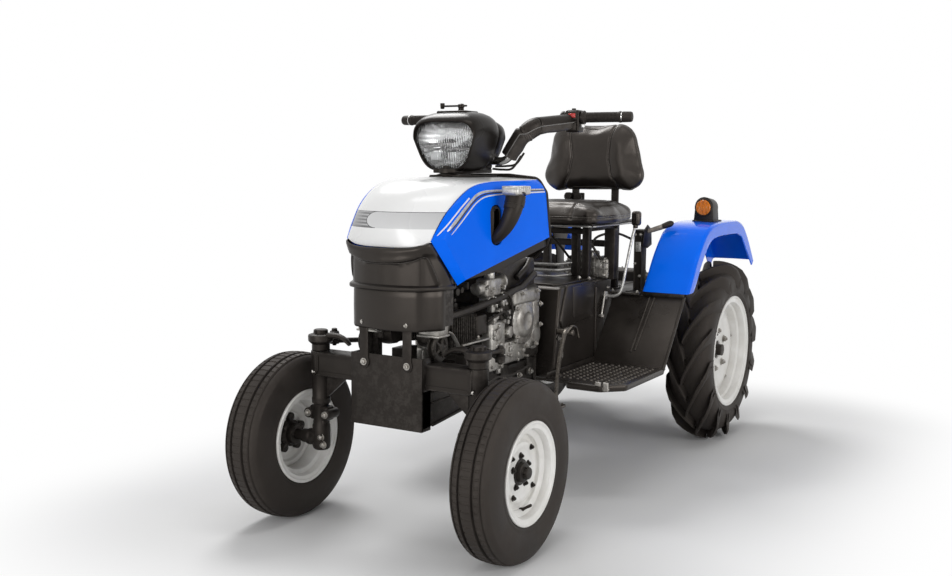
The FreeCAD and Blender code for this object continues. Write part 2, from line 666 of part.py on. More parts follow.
def side_panel():
    """Painted side: a chamfer strip at the front, the shoulder and the flat face."""
    lower = Vector(taper(LOWER_REAR[0]), *LOWER_REAR) - CREASE_FOOT
    first, spread = 0.02, 1.2
    rows = [[CHAMFER_FOOT, (CHAMFER_FOOT + CREASE_FOOT) * 0.5, CREASE_FOOT,
             CREASE_FOOT + lower * first]]
    for k, ((seam_y, seam_z), (y, z)) in enumerate(zip(SEAM, CREASE), start=1):
        edge = Vector(seam(seam_y), seam_y, seam_z)
        crease = Vector(taper(y), y, z)
        foot = CREASE_FOOT + lower * (first + (1 - first) * (k / len(SEAM)) ** spread)
        rows.append([edge, (edge + crease) * 0.5, crease, foot])
    panel = skin(rows, hood_inward)
    slot = Part.makeBox(*SLOT_SIZE, SLOT_AT)
    left = sub_part(shaped("side_panel_left", panel.cut(slot)), "side_panel_left")
    whole = shaped("side_panel_whole", panel)
    mirrored(whole, "side_panel_right")


# the bulkhead's left rim: (half width, height); it leans forward as it rises past its base
RIM = [(150, 700), (192, 738), (203, 765), (201, 884), (178, 922), (90, 930)]
LEAN, LEAN_BASE = -0.165, 755


def bulkhead():
    """Black plate that closes the hood at the rear and stands on the engine."""
    gap, sheet, inset = value("seat_gap"), 6, 20
    base = value("hood_rear") + gap
    both = RIM + [(-x, z) for x, z in reversed(RIM)]
    points = [Vector(x, base + (z - LEAN_BASE) * LEAN, z) for x, z in both]
    face = Part.Face(Part.makePolygon(points + [points[0]]))
    plate = face.extrude(Vector(0, sheet, 0))
    half = value("engine_half") - inset
    foot = Part.makeBox(2 * half, sheet, 3 * inset,
                        Vector(-half, base + 2, value("engine_top")))
    sub_part(shaped("hood_bulkhead", plate.fuse(foot)), "hood_bulkhead")


def bowed(corners, front, height, depth):
    """A prism on a plan with a bowed front; corners are its left side, from the bow back."""
    left = [Vector(x, y, height) for x, y in corners]
    right = [Vector(-p.x, p.y, height) for p in left]
    bow = Part.Arc(right[0], Vector(0, front, height), left[0])
    chain = left + right[::-1]
    lines = [Part.makeLine(a, b) for a, b in zip(chain, chain[1:])]
    return Part.Face(Part.Wire([bow.toShape()] + lines)).extrude(Vector(0, 0, depth))


# the bezel's plan, the room inside it, the niche of its screen, and the line along which the
# side panels' chamfer takes over behind it: (behind the front axle, height)
BEZEL_PLAN, BEZEL_BOW = [(118, -56), (143, -24), (146, 48)], -76
BEZEL_ROOM = (131, -46, 64)
NICHE_HALF, NICHE_DEPTH, NICHE_RISE, NICHE_HEIGHT = 95, 40, 22, 62
BEZEL_REAR = [(-42, 775), (51, 655), (51, 600), (200, 600), (200, 800), (-61.4, 800)]
COVER_SIDE, COVER_BOW, COVER_REAR = -8, 56, 64


def bezel():
    """Black grille surround under the nose with a recessed screen, and the screen below."""
    low, depth = value("bezel_bottom"), value("bezel_top - bezel_bottom")
    solid = bowed(BEZEL_PLAN, BEZEL_BOW, low, depth)
    half, front, rear = BEZEL_ROOM
    inside = Part.makeBox(2 * half, rear - front, depth + 2, Vector(-half, front, low - 1))
    niche = Part.makeBox(2 * NICHE_HALF, NICHE_DEPTH, NICHE_HEIGHT,
                         Vector(-NICHE_HALF, 2 * front + 12, low + NICHE_RISE))
    wide = 200
    slope = [Vector(-wide, y, z) for y, z in BEZEL_REAR]
    behind = Part.Face(Part.makePolygon(slope + [slope[0]])).extrude(Vector(2 * wide, 0, 0))
    sub_part(shaped("grille_bezel", solid.cut([inside, niche, behind])), "grille_bezel")
    bottom = value("screen_bottom")
    half, sheet = value("radiator_half + seat_gap"), value("hood_sheet")
    outer = bowed([(half + sheet, COVER_SIDE), (half + sheet, COVER_REAR)],
                  COVER_SIDE - COVER_BOW, bottom, low - bottom)
    inner = bowed([(half, COVER_SIDE), (half, 2 * COVER_REAR)],
                  COVER_SIDE - COVER_BOW + sheet, bottom - 1, low - bottom + 2)
    sub_part(shaped("radiator_cover", outer.cut(inner)), "radiator_cover")


# the duct's corners above its foot on the engine, and its cap's low corner and size
DUCT_FOOT, DUCT_RISE = (88, 372), 58
DUCT = [Vector(120, 215, 782), Vector(203, 206, 790), Vector(221, 244, 892)]
DUCT_RADIUS, DUCT_BEND = 17, 24
CAP_AT, CAP_SIZE, CAP_ROUND = Vector(201, 212, 890), (42, 74, 24), 8


def hood_fittings():
    """Plate round the column on the hood, and the duct with its cap on the left side."""
    y, low = "column_setback", "top_plate_bottom"
    plate = block("top_plate_solid", ("-top_plate_half", f"{y} - top_plate_front", low),
                  ("top_plate_half", f"{y} + top_plate_behind", f"{low} + top_plate_thick"))
    bore = rod("top_plate_bore", ("0", y, f"{low} - top_plate_thick"),
               "3 * top_plate_thick", "column_radius + running_gap")
    plate = cut("column_plate", plate, [bore])
    sub_part(place(plate, "0", "front_axle", "0"), "column_plate")
    foot = Vector(*DUCT_FOOT, value("engine_top + seat_gap"))
    duct = tube([foot, foot + Vector(0, 0, DUCT_RISE)] + DUCT, DUCT_RADIUS, DUCT_BEND)
    cap = Part.makeBox(*CAP_SIZE, CAP_AT)
    cap = cap.makeFillet(CAP_ROUND, cap.Edges)
    sub_part(shaped("side_duct", duct.fuse(cap)), "side_duct")


hood_top()
side_panel()
bulkhead()
bezel()
hood_fittings()

# ---------------------------------------------------------------- gearbox and rear axle


def drive_line():
    """Gearbox, rear axle with its stub shafts, lift housing, power take-off, drawbar."""
    box = block("gearbox_solid", ("-gearbox_half", "rail_rear", "gearbox_bottom"),
                ("gearbox_half", "gearbox_rear", "gearbox_top"))
    bar_front, bar_half = "cover_front + board_bar_behind", "board_edge - board_bar_short"
    cross = block("board_bar", (f"-({bar_half})", bar_front,
                                "gearbox_bottom - board_bar_depth"),
                  (bar_half, f"{bar_front} + board_bar_width", "gearbox_bottom"))
    gearbox = fuse("gearbox", [box, cross])
    sub_part(place(gearbox, "0", "front_axle", "0"), "gearbox")
    rear, front = "diff_behind", "-gearbox_short"
    pieces = [block("diff_case", ("-diff_half", front, "diff_bottom"),
                    ("diff_half", rear, "diff_top"))]
    pieces.append(rod("axle_tube", ("-axle_tube_half", "0", "rear_tyre_radius"),
                      "2 * axle_tube_half", "axle_tube_radius", "x"))
    shaft_half = "rear_wheel_x + rear_hub_out - thrust_gap"
    pieces.append(rod("axle_shafts", (f"-({shaft_half})", "0", "rear_tyre_radius"),
                      f"2 * ({shaft_half})", "axle_shaft_radius", "x"))
    pieces.append(block("drawbar_plate", ("-drawbar_half", f"{rear} - drawbar_root",
                                          "diff_bottom - drawbar_thick"),
                        ("drawbar_half", f"{rear} + drawbar_reach", "diff_bottom")))
    pin_half = "diff_half + link_pin_reach"
    pieces.append(rod("link_pivot_pin", (f"-({pin_half})", "link_pivot_behind",
                                         "link_pivot_height"), f"2 * ({pin_half})",
                      "link_pin_radius", "x"))
    pto_bore = rod("pto_bore", ("0", f"{rear} - pto_depth - thrust_gap", "pto_height"),
                   "2 * pto_depth", "pto_journal + running_gap", "y")
    hole = rod("drawbar_hole", ("0", f"{rear} + drawbar_pin_at",
                                "diff_bottom - 1.5 * drawbar_thick"), "2 * drawbar_thick",
               "drawbar_pin_radius")
    axle = cut("rear_axle", fuse("axle_solid_rear", pieces), [pto_bore, hole])
    sub_part(place(axle, "0", "rear_axle", "0"), "rear_axle")
    shoulder = f"{rear} + 2 * thrust_gap"
    shaft = fuse("pto_shaft", [
        rod("pto_journal_solid", ("0", f"{rear} - pto_depth", "pto_height"),
            "pto_depth + 2 * thrust_gap", "pto_journal", "y"),
        rod("pto_spline_solid", ("0", shoulder, "pto_height"), "pto_length", "pto_radius", "y")])
    sub_part(place(shaft, "0", "rear_axle", "0"), "pto_shaft")


def lift():
    """Lift housing and arms, with lower links and rods that form a parallelogram."""
    y, z = "-rockshaft_setback", "rockshaft_height"
    behind = f"{y} + case_rear"
    case = block("lift_case", ("-case_half", f"{y} - case_front", "diff_top"),
                 ("case_half", behind, f"{z} + case_rise"))
    ears = [block(f"top_link_ear_{k}", (x, behind, "diff_top + seat_gap"),
                  (f"{x} + ear_thick", f"{y} + ear_reach", "diff_top + ear_top"))
            for k, x in enumerate(("-ear_in - ear_thick", "ear_in"))]
    tools = [rod("shaft_bore", ("-2 * case_half", y, z), "4 * case_half",
                 "rockshaft_radius + running_gap", "x"),
             rod("top_link_hole", ("-2 * ear_in", f"{y} + top_link_at",
                                   "diff_top + top_link_rise"), "4 * ear_in",
                 "top_link_radius", "x")]
    housing = cut("lift_housing", fuse("lift_solid", [case] + ears), tools)
    sub_part(place(housing, "0", "rear_axle", "0"), "lift_housing")

    pivot_y, pivot_z = "link_pivot_behind", "link_pivot_height"
    arms = [rod("rockshaft", ("-rockshaft_half", y, z), "2 * rockshaft_half",
                "rockshaft_radius", "x")]
    links, solids = [], []
    top = Vector(0, value(f"{y} + lift_arm_length"), value(z))
    foot = Vector(0, value(f"{pivot_y} + lift_arm_length"), value(pivot_z))
    across = Vector(1, 0, 0)
    thick, room = value("lift_eye_thick"), 10
    for name, side in (("left", 1), ("right", -1)):

        def span(low, high):
            return (low, high) if side > 0 else (f"-({high})", f"-({low})")

        low, high = span("arm_in", "arm_in + arm_thick")
        arms.append(block(f"lift_arm_{name}", (low, f"{y} - arm_front", f"{z} - arm_half"),
                          (high, f"{y} + lift_arm_length + arm_end", f"{z} + arm_half")))
        low, high = span("arm_in", "rod_pin_end")
        arms.append(rod(f"lift_arm_pin_{name}", (low, f"{y} + lift_arm_length", z),
                        "rod_pin_end - arm_in", "rod_pin_radius", "x"))
        low, high = span("link_in", "link_in + link_thick")
        links.append(block(f"lower_link_bar_{name}",
                           (low, f"{pivot_y} - link_width / 2",
                            f"{pivot_z} - link_width / 2"),
                           (high, "hitch_reach", f"{pivot_z} + link_width / 2")))
        low, high = span("rod_pin_start", "link_in + link_thick / 2")
        links.append(rod(f"lower_link_pin_{name}",
                         (low, f"{pivot_y} + lift_arm_length", pivot_z),
                         "link_in + link_thick / 2 - rod_pin_start", "rod_pin_radius", "x"))
        inner = value("lift_rod_in") if side > 0 else -value("lift_rod_in + lift_eye_thick")
        shift = Vector(inner, 0, 0)
        bar = Part.makeCylinder(value("lift_rod_radius"), (foot - top).Length,
                                top + shift + across * (thick / 2), foot - top)
        for end in (top, foot):
            bar = bar.fuse(Part.makeCylinder(value("lift_eye_radius"), thick, end + shift,
                                             across))
        for end, gap in ((top, "running_gap"), (foot, "open_pivot_gap")):
            bar = bar.cut(Part.makeCylinder(value(f"rod_pin_radius + {gap}"),
                                            thick + 2 * room, end + shift - across * room,
                                            across))
        solids.append(bar)
    sub_part(place(fuse("lift_arms", arms), "0", "rear_axle", "0"), "lift_arms")
    link_holes = [rod("link_pivot_holes", ("-2 * link_in", pivot_y, pivot_z),
                      "4 * link_in", "link_pin_radius + running_gap", "x"),
                  rod("hitch_ball_holes", ("-2 * link_in", "hitch_reach - link_width / 2",
                                           pivot_z), "4 * link_in", "hitch_ball_radius",
                      "x")]
    link_body = cut("lower_links", fuse("lower_link_solid", links), link_holes)
    sub_part(place(link_body, "0", "rear_axle", "0"), "lower_links")
    sub_part(shaped("lift_rods", Part.makeCompound(solids), "rear_axle"), "lift_rods")


drive_line()
lift()

# ---------------------------------------------------------------- cover, platform, fenders


def centre_cover():
    """Moulded cover over the gearbox, open below and notched for the gearbox."""
    body = padded("cover_body", "YZ_Plane",
                  [("cover_front", "gearbox_bottom"), ("cover_rear", "gearbox_bottom"),
                   ("cover_rear", "cover_top"), ("cover_front + cover_slope", "cover_top"),
                   ("cover_front", "cover_top - cover_slope")], "2 * cover_half")
    below = "gearbox_bottom - cover_slope"
    hollow = block("cover_hollow", ("cover_wall - cover_half", "cover_front + cover_wall",
                                    below),
                   ("cover_half - cover_wall", "cover_rear - cover_wall",
                    "cover_top - cover_roof"))
    notch = block("cover_notch", ("-gearbox_half - notch_gap", "cover_front - notch_gap",
                                  below),
                  ("gearbox_half + notch_gap", "cover_rear + notch_gap",
                   "gearbox_top + seat_gap"))
    cover = cut("centre_cover", body, [hollow, notch])
    sub_part(place(cover, "0", "front_axle", "0"), "centre_cover")


def footboards():
    """Flat floor that turns up into a splash panel before each rear wheel."""
    floor, under = "board_floor", "gearbox_bottom"
    profile = [("board_front", under), ("board_bend + board_under", under),
               ("board_rear + board_under", "board_rise - 0.8 * board_under"),
               ("board_rear", "board_rise"), ("board_bend", floor), ("board_front", floor)]
    side = padded("board_body", "YZ_Plane", profile,
                  "board_edge - cover_half - seat_gap",
                  ("(board_edge + cover_half + seat_gap) / 2", "0", "0"))
    front, edge, room = value("board_front"), value("board_edge"), 10
    low, nose_size = value("gearbox_bottom") - room, value("board_nose")
    corners = [Vector(edge - nose_size, front - room, low), Vector(edge + room, front - room, low),
               Vector(edge + room, front - room + nose_size, low),
               Vector(edge - nose_size, front - room, low)]
    nose = doc.addObject("Part::Feature", "board_nose_cut")
    nose.Shape = Part.Face(Part.makePolygon(corners)).extrude(Vector(0, 0, 4 * room))
    recess = block("pedal_recess", ("0", "board_front - recess_depth", "gearbox_bottom / 2"),
                   ("cover_half + recess_width", "board_front + recess_depth",
                    "board_floor * 1.2"))
    board = cut("footboard_left", side, [nose, recess])
    left = sub_part(place(board, "0", "front_axle", "0"), "footboard_left")
    mirrored(left, "footboard_right")


# the arch of the fender above the rear wheel: (from the rear axle, height)
ARCH = [(-461, 560), (-380, 668), (-300, 742), (-235, 768), (-120, 774), (40, 772),
        (110, 752), (180, 690), (242, 622)]


FLANGE, SKIRT, EDGE_ROUND, CROWN_INSET = 44, 70, 4, (6, 4)


def fenders():
    """Sheet arch with an outer flange and an inner skirt that stays on the axle tube."""
    inner, outer = value("fender_inner"), value("fender_outer")
    sheet = value("fender_sheet")
    heart = Vector(0, 0, value("rear_tyre_radius") + 40)
    rows = []
    for y, z in ARCH:
        drop = (heart - Vector(0, y, z)).normalize()
        rows.append([Vector(outer, y, z) + drop * FLANGE, Vector(outer, y, z) + drop * EDGE_ROUND,
                     Vector(outer - CROWN_INSET[0], y, z), Vector(inner + CROWN_INSET[1], y, z),
                     Vector(inner, y, z) + drop * EDGE_ROUND, Vector(inner, y, z) + drop * SKIRT])

    def inward(point):
        shift = (heart - Vector(0, point.y, point.z)).normalize() * sheet
        if point.x > outer - 1:
            shift.x = -sheet
        elif point.x < inner + 1:
            shift.x = sheet
        return shift

    left = sub_part(shaped("fender_left", skin(rows, inward), "rear_axle"), "fender_left")
    mirrored(left, "fender_right")
    stays = []
    for name, low, high in (("left", "fender_inner - stay_thick", "fender_inner - seat_gap"),
                            ("right", "seat_gap - fender_inner",
                             "stay_thick - fender_inner")):
        stays.append(block(f"fender_stay_{name}",
                           (low, "-stay_half", "rear_tyre_radius + stay_rise"),
                           (high, "stay_half", "stay_top")))
    tube_room = rod("stay_notch", ("-axle_tube_half", "0", "rear_tyre_radius"),
                    "2 * axle_tube_half", "axle_tube_radius + seat_gap", "x")
    posts = cut("fender_stays", fuse("stay_solid", stays), [tube_room])
    sub_part(place(posts, "0", "rear_axle", "0"), "fender_stays")
    cases, lenses = [], []
    for name, low in (("left", "lamp_case_in"), ("right", "-lamp_case_in - lamp_case_width")):
        cases.append(block(f"lamp_case_{name}", (low, "-lamp_case_front", "lamp_case_bottom"),
                           (f"{low} + lamp_case_width", "-lamp_case_rear", "lamp_case_top")))
        lenses.append(rod(f"lamp_glass_{name}",
                          (f"{low} + lamp_case_width / 2", "-lamp_case_front - lamp_proud",
                           "lamp_height"), "lamp_proud - seat_gap", "lamp_radius", "y"))
    sub_part(place(fuse("indicator_cases", cases), "0", "rear_axle", "0"),
             "indicator_cases")
    sub_part(place(fuse("indicator_lenses", lenses), "0", "rear_axle", "0"),
             "indicator_lenses")


centre_cover()
footboards()
fenders()

# ---------------------------------------------------------------- seat and controls


# half widths of the backrest at its foot, its shoulder and its top, as shares of its widest
BACK_SHARES = (0.72, 0.8, 0.6)


def seat():
    """Cushion on a pan with four legs, and a backrest on two posts."""
    half = "cushion_half"
    c, rear = "cushion_corner", "cushion_front + cushion_length"
    cushion = padded("cushion_body", "XY_Plane",
                     [(f"-{half} + {c}", "cushion_front"), (f"{half} - {c}", "cushion_front"),
                      (half, f"cushion_front + {c}"), (half, f"{rear} - {c}"),
                      (f"{half} - {c}", rear), (f"-{half} + {c}", rear),
                      (f"-{half}", f"{rear} - {c}"), (f"-{half}", f"cushion_front + {c}")],
                     "cushion_thick", ("0", "front_axle",
                                       "cushion_bottom + cushion_thick / 2"))
    sub_part(cushion, "seat_cushion")
    top = "back_bottom + back_height"
    foot_half, waist_half, crown_half = (f"back_half * {share}" for share in BACK_SHARES)
    left = [(foot_half, "back_bottom"), ("back_half", "back_bottom + back_corner"),
            (waist_half, f"{top} - back_shoulder"), (crown_half, top)]
    back = padded("back_body", "XZ_Plane", left + [(f"-{x}", z) for x, z in reversed(left)],
                   "back_thick", ("0", "front_axle + back_front + back_thick / 2", "0"))
    sub_part(back, "seat_back")
    pan_top = "cushion_bottom - seat_gap"
    pan_bottom = f"{pan_top} - pan_thick"
    pieces = [block("seat_pan", ("-pan_half", "cushion_front + pan_setback", pan_bottom),
                    ("pan_half", "back_front + pan_rear", pan_top))]
    for k, (y, foot) in enumerate((("cushion_front + leg_front", "cover_top"),
                                   ("back_front - leg_rear", "deck_top"))):
        for name, x in (("left", "leg_in"), ("right", "-leg_in - leg_side")):
            pieces.append(block(f"seat_leg_{name}_{k}", (x, y, foot),
                                (f"{x} + leg_side", f"{y} + leg_side", pan_bottom)))
    for name, x in (("left", "post_in"), ("right", "-post_in - leg_side")):
        pieces.append(block(f"back_post_{name}", (x, "back_front + post_front", pan_bottom),
                            (f"{x} + leg_side", "back_front + post_rear",
                             "back_bottom - seat_gap")))
    pieces.append(block("deck_solid", ("deck_short - fender_inner", "cover_rear + deck_gap",
                                       "gearbox_top"),
                        ("fender_inner - deck_short", "gearbox_rear", "deck_top")))
    pieces.append(block("quadrant_case", ("quadrant_out - quadrant_width", "quadrant_front",
                                          "deck_top"),
                        ("quadrant_out", "quadrant_rear", "quadrant_top")))
    sub_part(place(fuse("seat_frame", pieces), "0", "front_axle", "0"), "seat_frame")


# corners of the levers and of the pedal's arm, each outward from what carries it: the cover's
# side for the gear lever and the pedals, the middle of the quadrant for the lift lever
GEAR_LEVER = [(0, 945, 545), (48, 945, 545), (71, 974, 660), (80, 990, 790)]
KNOB_RADIUS, KNOB_LENGTH, KNOB_LAP = 13, 42, 5
LIFT_LEVER = [(0, 1112, 748.3), (0, 1112, 766), (59, 1182, 786)]
PEDAL_ARM = [(0, 604, 470), (38, 604, 470), (47, 492, 352), (54, 488, 292)]
PEDAL_AT, PEDAL_SIZE = (30, 470, 282), (56, 34, 12)


def controls():
    """Gear lever, lift lever on its quadrant, and the pedal arms."""
    gap = value("seat_gap")
    side = Vector(value("cover_half"), 0, 0)
    first = Vector(gap, 0, 0)

    def corners(points, root):
        return [root + Vector(*point) for point in points]

    gear = tube([side + first + Vector(*GEAR_LEVER[0])] + corners(GEAR_LEVER[1:], side), 5, 18)
    knob_at = side + Vector(*GEAR_LEVER[-1]) - Vector(0, 0, KNOB_LAP)
    gear = gear.fuse(Part.makeCylinder(KNOB_RADIUS, KNOB_LENGTH, knob_at))
    middle = Vector(value("quadrant_out - quadrant_width / 2"), 0, 0)
    lever = tube(corners(LIFT_LEVER, middle), 7, 8)
    sub_part(shaped("hand_levers", Part.makeCompound([gear, lever])), "hand_levers")
    arm = tube([side + first + Vector(*PEDAL_ARM[0])] + corners(PEDAL_ARM[1:], side), 7, 18)
    pad = Part.makeBox(*PEDAL_SIZE, side + Vector(*PEDAL_AT))
    pair_up("pedals", arm.fuse(pad))


seat()
controls()

# ---------------------------------------------------------------- check and write

doc.recompute()
for thing in doc.Objects:
    if {"Invalid", "Error"} & set(thing.State):
        raise RuntimeError(f"{thing.Label} failed to compute: {thing.State}")
for thing in sub_parts:
    if thing.Shape.isNull() or not thing.Shape.isValid():
        raise RuntimeError(f"{thing.Label} has no valid shape")

os.makedirs("parts", exist_ok=True)
for thing in sub_parts:
    thing.Shape.exportStep(f"parts/{thing.Label}.step")
print(len(sub_parts), "sub-parts written")
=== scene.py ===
import bpy
import bmesh
import json
import math
import random
from mathutils import Matrix, Vector


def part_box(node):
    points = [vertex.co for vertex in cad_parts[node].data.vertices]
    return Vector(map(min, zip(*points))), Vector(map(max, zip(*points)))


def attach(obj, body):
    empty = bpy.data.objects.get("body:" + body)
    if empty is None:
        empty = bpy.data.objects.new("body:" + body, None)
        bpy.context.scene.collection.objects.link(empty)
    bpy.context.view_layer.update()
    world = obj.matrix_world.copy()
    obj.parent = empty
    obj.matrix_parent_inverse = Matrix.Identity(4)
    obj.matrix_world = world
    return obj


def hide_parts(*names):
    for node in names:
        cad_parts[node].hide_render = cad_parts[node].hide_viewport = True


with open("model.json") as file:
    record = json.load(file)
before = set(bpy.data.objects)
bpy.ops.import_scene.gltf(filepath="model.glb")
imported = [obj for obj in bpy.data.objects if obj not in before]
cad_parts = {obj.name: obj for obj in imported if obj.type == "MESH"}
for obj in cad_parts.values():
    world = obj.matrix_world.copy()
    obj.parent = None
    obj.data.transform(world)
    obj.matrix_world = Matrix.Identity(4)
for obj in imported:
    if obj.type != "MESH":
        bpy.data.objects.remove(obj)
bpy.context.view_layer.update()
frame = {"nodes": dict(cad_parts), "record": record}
print("frame loaded", len(frame["nodes"]), "nodes")

# where both axles are; everything below is measured from them in millimetres
frontLow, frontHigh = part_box("front_tyre_left")
rearLow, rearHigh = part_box("rear_tyre_left")
frontY = (frontLow.y + frontHigh.y) / 2
rearY = (rearLow.y + rearHigh.y) / 2


def front(x, y, z):
    return Vector((x / 1000, frontY + y / 1000, z / 1000))


def rear(x, y, z):
    return Vector((x / 1000, rearY + y / 1000, z / 1000))


# small tools for the work below

def quiet():
    # back to object mode with nothing selected
    if bpy.context.object and bpy.context.object.mode != "OBJECT":
        bpy.ops.object.mode_set(mode="OBJECT")
    bpy.ops.object.select_all(action="DESELECT")


def take(piece):
    quiet()
    piece.select_set(True)
    bpy.context.view_layer.objects.active = piece
    return piece


def called(name):
    piece = bpy.context.object
    piece.name = piece.data.name = name
    return piece


def edit(kind="VERT", whole=True):
    bpy.ops.object.mode_set(mode="EDIT")
    bpy.ops.mesh.select_mode(type=kind)
    bpy.ops.mesh.select_all(action="SELECT" if whole else "DESELECT")


def pick(piece, kind, test):
    # select vertices, edges or faces by a test on their middle and normal
    if bpy.context.object != piece or piece.mode != "EDIT":
        take(piece)
    edit(kind, False)
    cage = bmesh.from_edit_mesh(piece.data)
    group = {"VERT": cage.verts, "EDGE": cage.edges, "FACE": cage.faces}[kind]
    for part in group:
        if kind == "VERT":
            part.select_set(bool(test(part.co, part.normal)))
        elif kind == "EDGE":
            run = part.verts[1].co - part.verts[0].co
            part.select_set(bool(test((part.verts[0].co + part.verts[1].co) / 2, run)))
        else:
            part.select_set(bool(test(part.calc_center_median(), part.normal)))
    bmesh.update_edit_mesh(piece.data)


def modify(piece, kind, **settings):
    take(piece)
    extra = piece.modifiers.new(kind.lower(), kind)
    for word, value in settings.items():
        setattr(extra, word, value)
    bpy.ops.object.modifier_apply(modifier=extra.name)
    return piece


def pressed(piece, test, thick, depth=0.0):
    # the faces that pass the test, inset and pushed out or in, both in metres
    pick(piece, "FACE", test)
    bpy.ops.mesh.inset(thickness=thick, depth=depth)
    quiet()


def soften(piece, width=1.5, segments=2, angle=32):
    # rounded edges, width in millimetres
    return modify(piece, "BEVEL", width=width / 1000, segments=segments, limit_method="ANGLE",
                  angle_limit=math.radians(angle), harden_normals=False)


def outward(piece):
    # doubles merged, then faces turned outwards
    take(piece)
    edit()
    bpy.ops.mesh.remove_doubles(threshold=1e-5)
    bpy.ops.mesh.normals_make_consistent(inside=False)
    quiet()
    return piece


def block(name, low, high, width=1.5, segments=2):
    # a bar or plate with rounded edges between two corners
    quiet()
    bpy.ops.mesh.primitive_cube_add(size=1, location=(low + high) / 2)
    piece = called(name)
    piece.scale = [max(abs(b - a), 1e-5) for a, b in zip(low, high)]
    bpy.ops.object.transform_apply(location=True, rotation=True, scale=True)
    edit()
    bpy.ops.mesh.bevel(offset=width / 1000, segments=segments, affect="EDGES")
    quiet()
    return piece


def rod(name, start, end, radius, width=1.0, sides=24, tip=None):
    # a round bar with rounded rims, radius in millimetres; tip is the radius at its end
    quiet()
    run = end - start
    turn = run.to_track_quat("Z", "Y").to_euler()
    bpy.ops.mesh.primitive_cone_add(vertices=sides, radius1=radius / 1000,
                                    radius2=(radius if tip is None else tip) / 1000,
                                    depth=run.length, location=(start + end) / 2, rotation=turn)
    piece = called(name)
    bpy.ops.object.transform_apply(location=True, rotation=True, scale=True)
    if width:
        soften(piece, width, 2, 50)
    return piece


def turnedPiece(name, centre, axis, profile, steps=48, closed=True):
    # a profile of (along the axis, radius) in millimetres, spun round the axis
    quiet()
    axis = Vector(axis).normalized()
    side = axis.orthogonal().normalized()
    bpy.ops.mesh.primitive_circle_add(vertices=len(profile), radius=0.1, fill_type="NOTHING")
    piece = called(name)
    for corner, (along, radius) in zip(piece.data.vertices, profile):
        corner.co = centre + axis * (along / 1000) + side * (radius / 1000)
    piece.matrix_world = Matrix.Identity(4)
    edit()
    if not closed:
        pick(piece, "EDGE", lambda middle, run: (
            middle - (piece.data.vertices[0].co + piece.data.vertices[-1].co) / 2).length < 1e-7)
        bpy.ops.mesh.delete(type="EDGE_FACE")
        bpy.ops.mesh.select_all(action="SELECT")
    bpy.ops.mesh.spin(steps=steps, angle=math.tau, center=centre, axis=axis)
    quiet()
    return outward(piece)


def gridPiece(name, rows, around=False, capped=False):
    # a grid laid over rows of points; around joins each row's end to its start
    quiet()
    high, wide = len(rows), len(rows[0])
    bpy.ops.mesh.primitive_grid_add(x_subdivisions=wide - 1, y_subdivisions=high - 1, size=1)
    piece = called(name)
    corners = [point for row in rows for point in row]
    for corner, point in zip(piece.data.vertices, corners):
        corner.co = point
    if around or capped:
        edit()
        bpy.ops.mesh.remove_doubles(threshold=1e-5)
        if capped:
            bpy.ops.mesh.select_all(action="SELECT")
            bpy.ops.mesh.fill_holes(sides=0)
        quiet()
    return outward(piece)


def roundedPath(points, bend):
    # straight runs joined by arcs, bend in millimetres
    path = [points[0]]
    for before, corner, after in zip(points, points[1:], points[2:]):
        back, ahead = (before - corner), (after - corner)
        half = back.angle(ahead) / 2
        run = min(bend / 1000 / math.tan(half), back.length * 0.48, ahead.length * 0.48)
        back.normalize()
        ahead.normalize()
        radius = run * math.tan(half)
        heart = corner + (back + ahead).normalized() * (radius / math.sin(half))
        first, last = corner + back * run - heart, corner + ahead * run - heart
        for k in range(9):
            path.append(heart + first.normalized().slerp(last.normalized(), k / 8) * first.length)
    return path + [points[-1]]


def tubePiece(name, points, radius, bend=20, resolution=4, capped=True):
    # a bent bar: a poly curve with a round bevel, made a mesh
    quiet()
    bpy.ops.curve.primitive_nurbs_path_add()
    line = called(name)
    line.location = (0, 0, 0)
    path = roundedPath(points, bend) if len(points) > 2 and bend else points
    line.data.splines.clear()
    spline = line.data.splines.new("POLY")
    spline.points.add(len(path) - 1)
    for spot, point in zip(spline.points, path):
        spot.co = (*point, 1)
    line.data.dimensions = "3D"
    line.data.bevel_depth = radius / 1000
    line.data.bevel_resolution = resolution
    line.data.use_fill_caps = capped
    bpy.ops.object.convert(target="MESH")
    return outward(called(name))


def joined(name, pieces):
    take(pieces[0])
    for piece in pieces:
        piece.select_set(True)
    bpy.ops.object.join()
    return called(name)


def copied(piece, name, move=None):
    take(piece)
    bpy.ops.object.duplicate(linked=False)
    twin = called(name)
    if move is not None:
        twin.data.transform(move)
        twin.data.update()
    return twin


def turn(angle, axis, centre):
    # a turn about an axis through a point, for copies
    return (Matrix.Translation(centre) @ Matrix.Rotation(angle, 4, Vector(axis))
            @ Matrix.Translation(-centre))


def flipped(piece):
    take(piece)
    edit()
    bpy.ops.mesh.flip_normals()
    quiet()
    return piece


def otherSide(piece):
    # the mirror image on the right, with its faces turned outwards again
    return flipped(copied(piece, piece.name.removesuffix("Left") + "Right",
                          Matrix.Scale(-1, 4, (1, 0, 0))))


def painted(piece, material):
    piece.data.materials.clear()
    piece.data.materials.append(material)
    return piece


